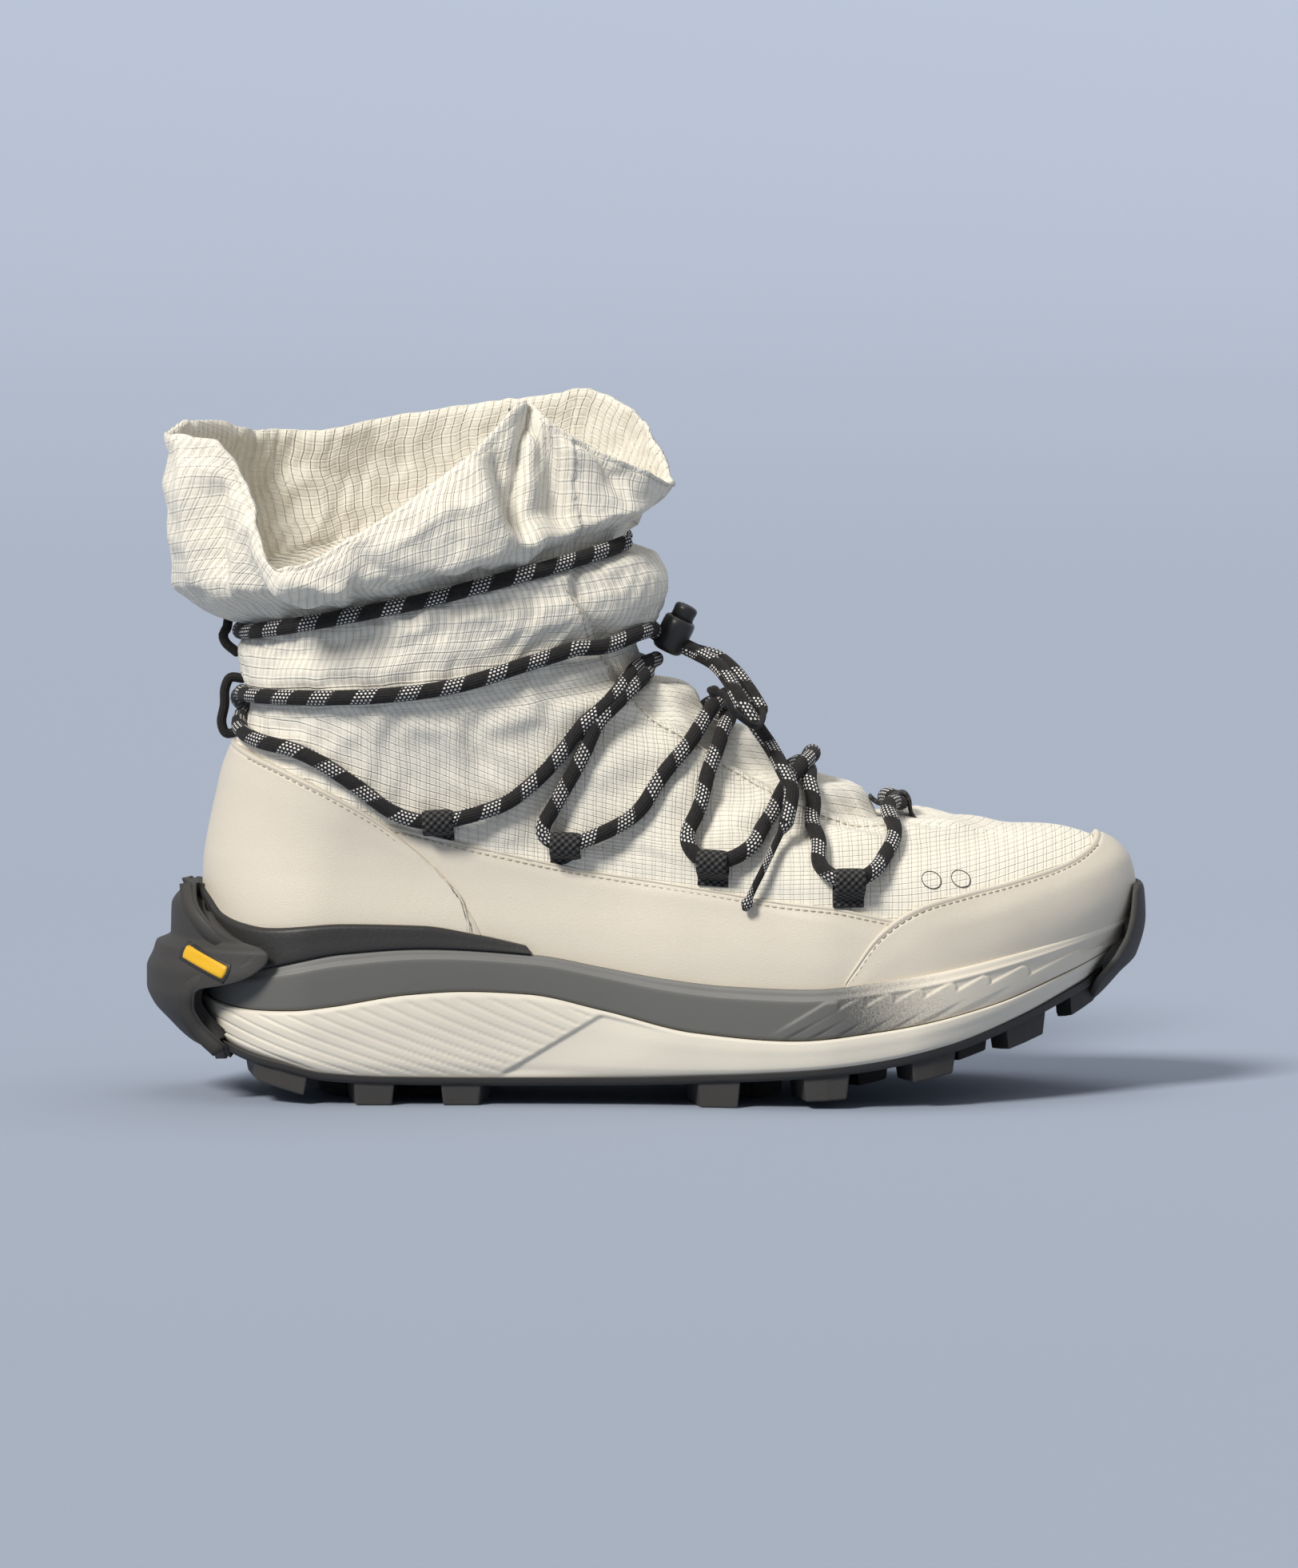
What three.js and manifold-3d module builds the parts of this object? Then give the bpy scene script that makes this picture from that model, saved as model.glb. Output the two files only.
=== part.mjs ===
// A trail sneaker boot for the right foot: lugged outsole with heel clip and toe bumper, three midsole
// layers, a hollow padded upper with a slack gathered collar, overlays, laces and a cord lock.
// Millimetres, +X towards the toe, +Y towards the inner side of the foot, +Z up, floor at Z = 0.
import * as THREE from "three";
import { mergeVertices } from "three/addons/utils/BufferGeometryUtils.js";
import Module from "manifold-3d";

const wasm = await Module();
wasm.setup();

// Driving sizes
const overallLength = 288;
const soleWidth = 107; // midsole at the ball
const soleHeight = 51.5; // floor to the midsole's top line at the heel
const bootHeight = 203; // floor to the tallest fold of the collar
const soleMargin = 6.5; // how far the midsole stands out of the upper at the ball
const ballWidth = soleWidth - 2 * soleMargin; // upper at the ball, without overlays
const shaftWidth = 78; // upper at the ankle
const toeSway = 6; // how far the toe turns inwards
const footWall = 2.6; // padded wall round the foot
const sleeveWall = 1.4; // unpadded wall above the upper cord
const overlayThickness = 1.4;
const outsoleThickness = 2.6;
const treadRim = 0.5; // how far the tread stands up round the carrier's edge
const insoleThickness = 4;
const gap = 0.3; // between neighbouring pieces
const laceDiameter = 4.4;
const laceTipDiameter = 2;
const webbingThickness = 1.5;
const webbingWidth = 8.8;
const pullLoopDiameter = 2.8;
const lockHeight = 10.4;
const lockWidth = 9.4; // along the laces
const lockDepth = 13.4; // across them
const lockTilt = (26 * Math.PI) / 180; // of the lock's top towards the toe
const lockButtonDiameter = 6.8;
const lockButtonRise = 4.2; // of the button above the barrel when released
const lockTravel = 3.2;
const lockStemDiameter = 3.4;
const lockClearance = 0.35;

// Resolution
const aroundSteps = 36;
const soleAroundSteps = 40;
const laceStep = 7;
const laceSides = 6;
const laceEndSides = 8;
const loopSides = 10;
const lockSides = 20;
const sliver = 0.05; // cuts are tidied to this

// Plan breadth of upper and sole, as shares of half the ball width and half the sole width.
const upperBreadth = [
  { x: 0.0, lateral: 0.68, medial: 0.68 },
  { x: 0.15, lateral: 0.715, medial: 0.71 },
  { x: 0.25, lateral: 0.715, medial: 0.7 },
  { x: 0.35, lateral: 0.715, medial: 0.69 },
  { x: 0.45, lateral: 0.745, medial: 0.69 },
  { x: 0.55, lateral: 0.85, medial: 0.78 },
  { x: 0.62, lateral: 0.94, medial: 0.89 },
  { x: 0.69, lateral: 1.0, medial: 0.965 },
  { x: 0.76, lateral: 0.985, medial: 0.99 },
  { x: 0.84, lateral: 0.9, medial: 0.955 },
  { x: 0.91, lateral: 0.79, medial: 0.87 },
  { x: 1.0, lateral: 0.66, medial: 0.74 },
];
const soleBreadth = [
  { x: 0.0, lateral: 0.66, medial: 0.66 },
  { x: 0.08, lateral: 0.715, medial: 0.715 },
  { x: 0.15, lateral: 0.75, medial: 0.745 },
  { x: 0.25, lateral: 0.76, medial: 0.745 },
  { x: 0.35, lateral: 0.755, medial: 0.72 },
  { x: 0.45, lateral: 0.78, medial: 0.715 },
  { x: 0.55, lateral: 0.86, medial: 0.8 },
  { x: 0.62, lateral: 0.935, medial: 0.895 },
  { x: 0.69, lateral: 1.0, medial: 0.97 },
  { x: 0.76, lateral: 0.985, medial: 0.99 },
  { x: 0.84, lateral: 0.9, medial: 0.955 },
  { x: 0.91, lateral: 0.79, medial: 0.88 },
  { x: 1.0, lateral: 0.66, medial: 0.76 },
];

// Side-view lines of the sole: x as a share of the length, z as a share of the sole height.
const bedLine = [
  { x: 0.05, z: 0.78 },
  { x: 0.15, z: 0.77 },
  { x: 0.3, z: 0.7 },
  { x: 0.5, z: 0.57 },
  { x: 0.66, z: 0.525 },
  { x: 0.8, z: 0.57 },
  { x: 0.9, z: 0.73 },
  { x: 0.97, z: 0.87 },
  { x: 1.0, z: 0.92 },
];
const carrierBottomLine = [
  { x: 0.05, z: 0.47 },
  { x: 0.08, z: 0.323 },
  { x: 0.107, z: 0.266 },
  { x: 0.143, z: 0.222 },
  { x: 0.18, z: 0.177 },
  { x: 0.24, z: 0.157 },
  { x: 0.35, z: 0.151 },
  { x: 0.46, z: 0.156 },
  { x: 0.58, z: 0.182 },
  { x: 0.695, z: 0.233 },
  { x: 0.797, z: 0.337 },
  { x: 0.87, z: 0.474 },
  { x: 0.918, z: 0.589 },
  { x: 0.952, z: 0.678 },
  { x: 0.975, z: 0.8 },
];
const carrierTopLine = [
  { x: 0.05, z: 0.6 },
  { x: 0.078, z: 0.545 },
  { x: 0.112, z: 0.525 },
  { x: 0.149, z: 0.53 },
  { x: 0.185, z: 0.552 },
  { x: 0.264, z: 0.622 },
  { x: 0.32, z: 0.64 },
  { x: 0.383, z: 0.625 },
  { x: 0.457, z: 0.538 },
  { x: 0.548, z: 0.421 },
  { x: 0.639, z: 0.385 },
  { x: 0.73, z: 0.436 },
  { x: 0.842, z: 0.564 },
  { x: 0.918, z: 0.711 },
  { x: 0.967, z: 0.815 },
];
const foamTopLine = [
  { x: 0.05, z: 0.65 },
  { x: 0.112, z: 0.744 },
  { x: 0.159, z: 0.809 },
  { x: 0.199, z: 0.849 },
  { x: 0.277, z: 0.877 },
  { x: 0.389, z: 0.842 },
  { x: 0.457, z: 0.775 },
  { x: 0.518, z: 0.716 },
  { x: 0.578, z: 0.682 },
  { x: 0.654, z: 0.67 },
  { x: 0.76, z: 0.733 },
  { x: 0.87, z: 0.846 },
  { x: 0.986, z: 0.984 },
];
const cradleTopLine = [
  { x: 0.048, z: 1.2 },
  { x: 0.061, z: 1.125 },
  { x: 0.075, z: 1.04 },
  { x: 0.095, z: 1.0 },
  { x: 0.12, z: 0.981 },
  { x: 0.201, z: 1.01 },
  { x: 0.277, z: 1.001 },
  { x: 0.335, z: 0.948 },
  { x: 0.389, z: 0.88 },
];
const treadLine = [
  { x: 0.03, z: 0.32 },
  { x: 0.07, z: 0.22 },
  { x: 0.102, z: 0.142 },
  { x: 0.15, z: 0.07 },
  { x: 0.2, z: 0 },
  { x: 0.6, z: 0 },
  { x: 0.651, z: 0.039 },
  { x: 0.692, z: 0.054 },
  { x: 0.76, z: 0.14 },
  { x: 0.797, z: 0.182 },
  { x: 0.85, z: 0.283 },
  { x: 0.89, z: 0.36 },
  { x: 0.933, z: 0.475 },
  { x: 0.957, z: 0.55 },
];

// Rings of the upper from the turned-under margin to the collar's rim. Back and front are the ends of
// each ring in side view, x as a share of the length, z as a share of the height from the bed to the
// boot's top. sag says how far a ring follows the bed, climb how late it rises, width and shaft its
// breadth as foot and as shaft, tube how much it is shaft, and fold how much it shares the rim's folds.
const upperRings = [
  { backX: 0.12, backZ: 0, frontX: 0.915, frontZ: 0, sag: 1, climb: 1, width: 0.76, shaft: 0.8, tube: 0, heelRound: 0.12, toeRound: 0.21, fold: 0 },
  { backX: 0.084, backZ: 0, frontX: 0.953, frontZ: 0, sag: 1, climb: 1, width: 0.93, shaft: 0.8, tube: 0, heelRound: 0.12, toeRound: 0.21, fold: 0 },
  { backX: 0.07, backZ: 0.036, frontX: 0.972, frontZ: 0.029, sag: 1, climb: 1, width: 0.995, shaft: 0.8, tube: 0, heelRound: 0.12, toeRound: 0.205, fold: 0 },
  { backX: 0.0655, backZ: 0.066, frontX: 0.981, frontZ: 0.0835, sag: 0.95, climb: 1.1, width: 1, shaft: 0.8, tube: 0, heelRound: 0.12, toeRound: 0.205, fold: 0 },
  { backX: 0.065, backZ: 0.091, frontX: 0.9765, frontZ: 0.131, sag: 0.85, climb: 1.4, width: 0.99, shaft: 0.8, tube: 0, heelRound: 0.12, toeRound: 0.21, fold: 0 },
  { backX: 0.065, backZ: 0.112, frontX: 0.9645, frontZ: 0.1655, sag: 0.75, climb: 1.8, width: 0.975, shaft: 0.82, tube: 0, heelRound: 0.12, toeRound: 0.225, fold: 0 },
  { backX: 0.0655, backZ: 0.131, frontX: 0.9485, frontZ: 0.192, sag: 0.65, climb: 2.2, width: 0.96, shaft: 0.84, tube: 0, heelRound: 0.12, toeRound: 0.24, fold: 0 },
  { backX: 0.066, backZ: 0.152, frontX: 0.908, frontZ: 0.226, sag: 0.55, climb: 2.5, width: 0.945, shaft: 0.86, tube: 0, heelRound: 0.122, toeRound: 0.26, fold: 0 },
  { backX: 0.067, backZ: 0.174, frontX: 0.861, frontZ: 0.2395, sag: 0.45, climb: 2.5, width: 0.93, shaft: 0.88, tube: 0.05, heelRound: 0.124, toeRound: 0.28, fold: 0 },
  { backX: 0.069, backZ: 0.198, frontX: 0.816, frontZ: 0.257, sag: 0.35, climb: 2.5, width: 0.915, shaft: 0.9, tube: 0.1, heelRound: 0.126, toeRound: 0.295, fold: 0 },
  { backX: 0.072, backZ: 0.229, frontX: 0.752, frontZ: 0.27, sag: 0.25, climb: 2.5, width: 0.9, shaft: 0.91, tube: 0.2, heelRound: 0.13, toeRound: 0.31, fold: 0 },
  { backX: 0.0765, backZ: 0.266, frontX: 0.71, frontZ: 0.31, sag: 0.15, climb: 2.5, width: 0.89, shaft: 0.91, tube: 0.35, heelRound: 0.135, toeRound: 0.315, fold: 0 },
  { backX: 0.081, backZ: 0.306, frontX: 0.66, frontZ: 0.34, sag: 0.08, climb: 2.4, width: 0.88, shaft: 0.92, tube: 0.5, heelRound: 0.14, toeRound: 0.315, fold: 0 },
  { backX: 0.085, backZ: 0.346, frontX: 0.617, frontZ: 0.385, sag: 0, climb: 2.2, width: 0.87, shaft: 0.93, tube: 0.65, heelRound: 0.145, toeRound: 0.305, fold: 0 },
  { backX: 0.088, backZ: 0.386, frontX: 0.572, frontZ: 0.441, sag: 0, climb: 2, width: 0.86, shaft: 0.95, tube: 0.8, heelRound: 0.15, toeRound: 0.29, fold: 0 },
  { backX: 0.091, backZ: 0.4226, frontX: 0.5417, frontZ: 0.4748, sag: 0, climb: 1.8, width: 0.86, shaft: 0.97, tube: 0.9, heelRound: 0.155, toeRound: 0.265, fold: 0 },
  { backX: 0.0934, backZ: 0.4595, frontX: 0.507, frontZ: 0.5147, sag: 0, climb: 1.6, width: 0.86, shaft: 0.99, tube: 1, heelRound: 0.16, toeRound: 0.235, fold: 0 },
  { backX: 0.0927, backZ: 0.496, frontX: 0.4896, frontZ: 0.5516, sag: 0, climb: 1.4, width: 0.86, shaft: 1, tube: 1, heelRound: 0.165, toeRound: 0.21, fold: 0 },
  { backX: 0.093, backZ: 0.533, frontX: 0.507, frontZ: 0.6007, sag: 0, climb: 1.2, width: 0.86, shaft: 1.01, tube: 1, heelRound: 0.17, toeRound: 0.21, fold: 0 },
  { backX: 0.0935, backZ: 0.555, frontX: 0.5163, frontZ: 0.656, sag: 0, climb: 1.1, width: 0.86, shaft: 1.01, tube: 1, heelRound: 0.17, toeRound: 0.21, fold: 0 },
  { backX: 0.094, backZ: 0.571, frontX: 0.507, frontZ: 0.699, sag: 0, climb: 1, width: 0.86, shaft: 0.99, tube: 1, heelRound: 0.17, toeRound: 0.21, fold: 0 },
  { backX: 0.0903, backZ: 0.588, frontX: 0.479, frontZ: 0.735, sag: 0, climb: 1, width: 0.86, shaft: 0.98, tube: 1, heelRound: 0.17, toeRound: 0.21, fold: 0 },
  { backX: 0.065, backZ: 0.612, frontX: 0.493, frontZ: 0.757, sag: 0, climb: 1, width: 0.86, shaft: 1.07, tube: 1, heelRound: 0.18, toeRound: 0.21, fold: 0.05 },
  { backX: 0.034, backZ: 0.668, frontX: 0.498, frontZ: 0.779, sag: 0, climb: 1, width: 0.86, shaft: 1.2, tube: 1, heelRound: 0.19, toeRound: 0.22, fold: 0.22 },
  { backX: 0.034, backZ: 0.742, frontX: 0.51, frontZ: 0.797, sag: 0, climb: 1, width: 0.86, shaft: 1.25, tube: 1, heelRound: 0.2, toeRound: 0.22, fold: 0.48 },
  { backX: 0.0335, backZ: 0.834, frontX: 0.521, frontZ: 0.8188, sag: 0, climb: 1, width: 0.86, shaft: 1.26, tube: 1, heelRound: 0.2, toeRound: 0.22, fold: 0.75 },
  { backX: 0.0417, backZ: 0.9386, frontX: 0.5278, frontZ: 0.834, sag: 0, climb: 1, width: 0.86, shaft: 1.22, tube: 1, heelRound: 0.2, toeRound: 0.22, fold: 1 },
];
const lowestRing = 0;
const featherRing = 1;
const collarFrom = 19;
const cinchRing = 21;
const rimRing = upperRings.length - 1;

// The rim's own line round the collar. at runs from the back (0) round the outer side to the front
// (0.5) and back along the inner side; x is a share of the length, y of the shaft width, z of the height.
const rimLine = [
  { at: 0.0, x: 0.0417, y: 0, z: 0.9386 },
  { at: 0.05, x: 0.029, y: -0.17, z: 0.922 },
  { at: 0.1, x: 0.062, y: -0.36, z: 0.92 },
  { at: 0.15, x: 0.102, y: -0.52, z: 0.83 },
  { at: 0.195, x: 0.145, y: -0.64, z: 0.7 },
  { at: 0.24, x: 0.19, y: -0.65, z: 0.73 },
  { at: 0.28, x: 0.258, y: -0.6, z: 0.81 },
  { at: 0.315, x: 0.32, y: -0.5, z: 0.89 },
  { at: 0.35, x: 0.379, y: -0.4, z: 1.014 },
  { at: 0.385, x: 0.405, y: -0.4, z: 0.945 },
  { at: 0.44, x: 0.468, y: -0.28, z: 0.88 },
  { at: 0.5, x: 0.5278, y: 0, z: 0.834 },
  { at: 0.54, x: 0.511, y: 0.16, z: 0.9 },
  { at: 0.58, x: 0.482, y: 0.29, z: 0.96 },
  { at: 0.63, x: 0.44, y: 0.42, z: 0.985 },
  { at: 0.69, x: 0.375, y: 0.54, z: 0.972 },
  { at: 0.75, x: 0.292, y: 0.61, z: 0.945 },
  { at: 0.81, x: 0.215, y: 0.62, z: 0.926 },
  { at: 0.87, x: 0.146, y: 0.54, z: 0.91 },
  { at: 0.91, x: 0.111, y: 0.44, z: 0.912 },
  { at: 0.95, x: 0.076, y: 0.26, z: 0.932 },
  { at: 1.0, x: 0.0417, y: 0, z: 0.9386 },
];
// Main folds of the collar: at and spread round it, from and to along the rings, depth a share of the shaft width.
const collarFolds = [
  { at: 0.372, spread: 0.028, from: 21.2, to: 27.5, depth: -0.12 },
  { at: 0.3, spread: 0.05, from: 21.5, to: 26.5, depth: 0.06 },
  { at: 0.2, spread: 0.035, from: 22, to: 27.5, depth: 0.05 },
  { at: 0.12, spread: 0.035, from: 22.5, to: 27, depth: -0.05 },
  { at: 0.45, spread: 0.03, from: 22, to: 27.5, depth: 0.04 },
  { at: 0.66, spread: 0.04, from: 21.5, to: 27, depth: -0.06 },
  { at: 0.83, spread: 0.035, from: 21.5, to: 27, depth: -0.05 },
];

// Where the laces press into the padding, at the back and on the ridge of the instep: ring and height
// along the rings, at and spread round them, depth in millimetres.
const laceGrooves = [
  { at: 0, spread: 0.07, ring: 15.4, height: 1.8, depth: 4 },
  { at: 0, spread: 0.07, ring: 20.1, height: 1.2, depth: 3 },
  { at: 0.5, spread: 0.065, ring: 16, height: 0.75, depth: 6.8 },
  { at: 0.5, spread: 0.055, ring: 14, height: 0.7, depth: 5 },
  { at: 0.5, spread: 0.05, ring: 12, height: 0.7, depth: 4.5 },
  { at: 0.5, spread: 0.045, ring: 10, height: 0.7, depth: 2.6 },
];

const footSpan = bootHeight - lineAt(bedLine, 0.05) * soleHeight; // from the bed to the boot's top
const bedHeel = bootHeight - footSpan;

function lerp(a, b, t) {
  return a + (b - a) * t;
}

function smoothstep(low, high, value) {
  const t = Math.min(1, Math.max(0, (value - low) / (high - low)));
  return t * t * (3 - 2 * t);
}

// A smooth value of one column of a table that never overshoots its rows.
function rowsAt(rows, place, column, value) {
  const last = rows.length - 1;
  const at = (i) => (place ? rows[i][place] : i);
  const slope = (i) => (rows[i + 1][column] - rows[i][column]) / (at(i + 1) - at(i));
  const tangent = (i) => {
    if (i === 0) return slope(0);
    if (i === last) return slope(last - 1);
    const before = slope(i - 1);
    const after = slope(i);
    return before * after <= 0 ? 0 : (2 * before * after) / (before + after);
  };
  const clamped = Math.min(at(last), Math.max(at(0), value));
  let i = 0;
  while (i < last - 1 && at(i + 1) < clamped) i++;
  const width = at(i + 1) - at(i);
  const t = (clamped - at(i)) / width;
  const steps = [2 * t ** 3 - 3 * t ** 2 + 1, t ** 3 - 2 * t ** 2 + t, -2 * t ** 3 + 3 * t ** 2, t ** 3 - t ** 2];
  return (
    steps[0] * rows[i][column] +
    steps[1] * width * tangent(i) +
    steps[2] * rows[i + 1][column] +
    steps[3] * width * tangent(i + 1)
  );
}

function lineAt(line, x) {
  return rowsAt(line, "x", "z", x);
}

// 0 at a rounded end, 1 from one rounding length inwards.
function roundEnd(share) {
  return share >= 1 ? 1 : Math.sqrt(Math.max(0, 1 - (1 - share) ** 2));
}

function footCurve(x) {
  return toeSway * smoothstep(0.55, 1, x);
}

function place(xShare, y, z) {
  return new THREE.Vector3((xShare - 0.5) * overallLength, y, z);
}

// A point of the upper's outer face. ring runs up the ring table, around from the back (0) round the
// outer side to the front (0.5) and back to 1 along the inner side.
function upperForm(ring, around) {
  const row = {};
  for (const column of Object.keys(upperRings[0])) row[column] = rowsAt(upperRings, null, column, ring);
  const turn = around - Math.floor(around);
  const side = turn < 0.5 ? -1 : 1;
  const along = (1 - Math.cos(2 * Math.PI * turn)) / 2;
  const x = lerp(row.backX, row.frontX, along);
  const footHalf = (rowsAt(upperBreadth, "x", side < 0 ? "lateral" : "medial", x) * row.width * ballWidth) / 2;
  const half = lerp(footHalf, (row.shaft * shaftWidth) / 2, row.tube);
  const ends = roundEnd((x - row.backX) / row.heelRound) * roundEnd((row.frontX - x) / row.toeRound);
  const ground = lerp(bedHeel, lineAt(bedLine, x) * soleHeight, row.sag);
  const rise = lerp(row.backZ, row.frontZ, along ** row.climb) * footSpan;
  const point = place(x, side * half * ends + footCurve(x) * (1 - row.tube), ground + rise);
  if (row.fold > 0) {
    const rim = upperRings[rimRing];
    const rimAlong = lerp(rim.backX, rim.frontX, along);
    const rimEnds = roundEnd((rimAlong - rim.backX) / rim.heelRound) * roundEnd((rim.frontX - rimAlong) / rim.toeRound);
    const plain = [rimAlong, (side * rimEnds * rim.shaft) / 2, lerp(rim.backZ, rim.frontZ, along)];
    point.x += row.fold * (rowsAt(rimLine, "at", "x", turn) - plain[0]) * overallLength;
    point.y += row.fold * (rowsAt(rimLine, "at", "y", turn) - plain[1]) * shaftWidth;
    point.z += row.fold * (rowsAt(rimLine, "at", "z", turn) - plain[2]) * footSpan;
  }
  return point;
}

// How far folds and lace grooves push the face out at one place.
function foldDepth(ring, around) {
  let depth = 0;
  for (const fold of collarFolds) {
    const away = Math.abs(around - Math.floor(around) - fold.at);
    const near = Math.exp(-((Math.min(away, 1 - away) / fold.spread) ** 2));
    depth += fold.depth * shaftWidth * near * smoothstep(fold.from, fold.from + 2, ring) * (1 - smoothstep(fold.to - 1, fold.to, ring));
  }
  for (const groove of laceGrooves) {
    const away = Math.abs(around - groove.at - Math.round(around - groove.at)) / groove.spread;
    depth -= groove.depth * Math.exp(-(away ** 2) - ((ring - groove.ring) / groove.height) ** 2);
  }
  return depth;
}

// The same point moved outwards, square to the face.
function upperPoint(ring, around, lift = 0) {
  const reach = 0.01;
  const low = Math.max(lowestRing, ring - 0.25);
  const high = Math.min(rimRing, ring + 0.25);
  const up = upperForm(high, around).sub(upperForm(low, around));
  const along = upperForm(ring, around + reach).sub(upperForm(ring, around - reach));
  const normal = along.cross(up).normalize();
  return upperForm(ring, around).addScaledVector(normal, lift + foldDepth(ring, around));
}

// The ring and around whose lifted point is seen at a side-view place, x a share of the length and z of
// the boot's height.
function onUpper(x, z, side, lift = 0, low = featherRing, high = cinchRing) {
  const target = place(x, 0, z * bootHeight);
  const middle = side < 0 ? 0.25 : 0.75;
  const cells = 6;
  let best = { ring: (low + high) / 2, around: middle };
  let nearest = Infinity;
  for (let round = 0; round < 9; round++) {
    const from = best;
    const reach = 0.4 ** round;
    for (let i = -cells; i <= cells; i++)
      for (let j = -cells; j <= cells; j++) {
        const ring = Math.min(high, Math.max(low, from.ring + (reach * (high - low) * i) / (2 * cells)));
        const turn = Math.min(0.25, Math.max(-0.25, from.around - middle + (reach * 0.25 * j) / cells));
        const point = upperPoint(ring, middle + turn, lift);
        const distance = Math.hypot(point.x - target.x, point.z - target.z);
        if (distance < nearest) {
          nearest = distance;
          best = { ring, around: middle + turn };
        }
      }
  }
  return best;
}

function geometryOf(points, faces) {
  const geometry = new THREE.BufferGeometry();
  geometry.setAttribute("position", new THREE.Float32BufferAttribute(points.flatMap((p) => [p.x, p.y, p.z]), 3));
  geometry.setIndex(faces);
  return geometry;
}

function solidOf(geometry) {
  const bare = geometry.clone();
  bare.deleteAttribute("normal");
  bare.deleteAttribute("uv");
  const merged = mergeVertices(bare, 1e-3);
  const solid = new wasm.Manifold(
    new wasm.Mesh({
      numProp: 3,
      vertProperties: new Float32Array(merged.attributes.position.array),
      triVerts: new Uint32Array(merged.index.array),
    }),
  );
  if (solid.volume() <= 0) throw new Error("a piece is inside out");
  return solid;
}

function joined(solids) {
  return solids.reduce((all, solid) => all.add(solid));
}

// A cut solid with every edge shorter than a sliver drawn together into one point.
function withoutShortEdges(solid) {
  const { vertProperties, triVerts, numProp } = solid.getMesh();
  const corner = (i) => new THREE.Vector3().fromArray(vertProperties, i * numProp);
  const kept = Array.from({ length: vertProperties.length / numProp }, (_, i) => i);
  const find = (i) => (kept[i] === i ? i : find(kept[i]));
  for (let i = 0; i < triVerts.length; i++) {
    const next = i % 3 === 2 ? i - 2 : i + 1;
    if (corner(triVerts[i]).distanceTo(corner(triVerts[next])) < sliver) kept[find(triVerts[i])] = find(triVerts[next]);
  }
  const faces = [];
  for (let i = 0; i < triVerts.length; i += 3) {
    const face = [0, 1, 2].map((k) => find(triVerts[i + k]));
    if (new Set(face).size === 3) faces.push(...face);
  }
  return solidOf(geometryOf(kept.map((_, i) => corner(i)), faces));
}

// The bodies of a cut solid, largest first, without the slivers that the cut left.
function bodies(solid) {
  return withoutShortEdges(solid).decompose().sort((a, b) => b.volume() - a.volume());
}

function mainBody(solid) {
  return bodies(solid)[0];
}

// Faces between rings of equal length that go round a form, anticlockwise seen from above.
function wallFaces(ringCount, steps, flipped = false) {
  const faces = [];
  for (let i = 0; i < ringCount - 1; i++)
    for (let j = 0; j < steps; j++) {
      const a = i * steps + j;
      const b = i * steps + ((j + 1) % steps);
      const quad = [a, b, b + steps, a, b + steps, a + steps];
      faces.push(...(flipped ? quad.reverse() : quad));
    }
  return faces;
}

// A flat cover across one ring, in strips from the outer to the inner side.
function coverFaces(first, steps, facesUp) {
  const faces = [];
  const half = steps / 2;
  for (let j = 0; j < half; j++) {
    const a = first + j;
    const b = first + j + 1;
    const c = first + ((steps - j - 1) % steps);
    const d = first + ((steps - j) % steps);
    const quad = j === 0 ? [a, b, c] : j === half - 1 ? [a, b, d] : [a, b, c, a, c, d];
    faces.push(...(facesUp ? quad : quad.reverse()));
  }
  return faces;
}

function closedLoft(rings) {
  const steps = rings[0].length;
  const faces = [
    ...wallFaces(rings.length, steps),
    ...coverFaces(0, steps, false),
    ...coverFaces((rings.length - 1) * steps, steps, true),
  ];
  return solidOf(geometryOf(rings.flat(), faces));
}

function upperRing(ring, lift) {
  return Array.from({ length: aroundSteps }, (_, j) => upperPoint(ring, j / aroundSteps, lift));
}

// The solid that the upper's outer face bounds, up to one ring, grown by lift.
function lastSolid(lift, topRing, drop = 0) {
  const rings = [];
  for (let ring = featherRing; ring <= topRing; ring++) rings.push(upperRing(ring, lift));
  if (drop) rings.unshift(rings[0].map((p) => new THREE.Vector3(p.x, p.y, p.z - drop)));
  return closedLoft(rings);
}

function wallAt(ring) {
  return lerp(footWall, sleeveWall, smoothstep(cinchRing - 2, cinchRing + 1, ring));
}

// The hollow wall of the upper, open at the collar and underneath.
function upperWall() {
  const rings = [];
  for (let ring = lowestRing; ring <= rimRing; ring++) rings.push(upperRing(ring, 0));
  for (let ring = rimRing; ring >= lowestRing; ring--)
    if (ring > collarFrom || ring % 2 === 0) rings.push(upperRing(ring, -wallAt(ring)));
  const points = rings.flat();
  rings.push(rings[0]);
  const faces = wallFaces(rings.length, aroundSteps).map((i) => i % points.length);
  return solidOf(geometryOf(points, faces));
}

// A side-view outline pushed through the whole width of the boot.
function sidePrism(outline) {
  const shape = new THREE.Shape(outline.map(([x, z]) => new THREE.Vector2((x - 0.5) * overallLength, z * bootHeight)));
  const reach = soleWidth + ballWidth;
  const geometry = new THREE.ExtrudeGeometry(shape, { depth: reach, bevelEnabled: false });
  geometry.rotateX(Math.PI / 2);
  geometry.translate(0, reach / 2, 0);
  return solidOf(geometry);
}

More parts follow.
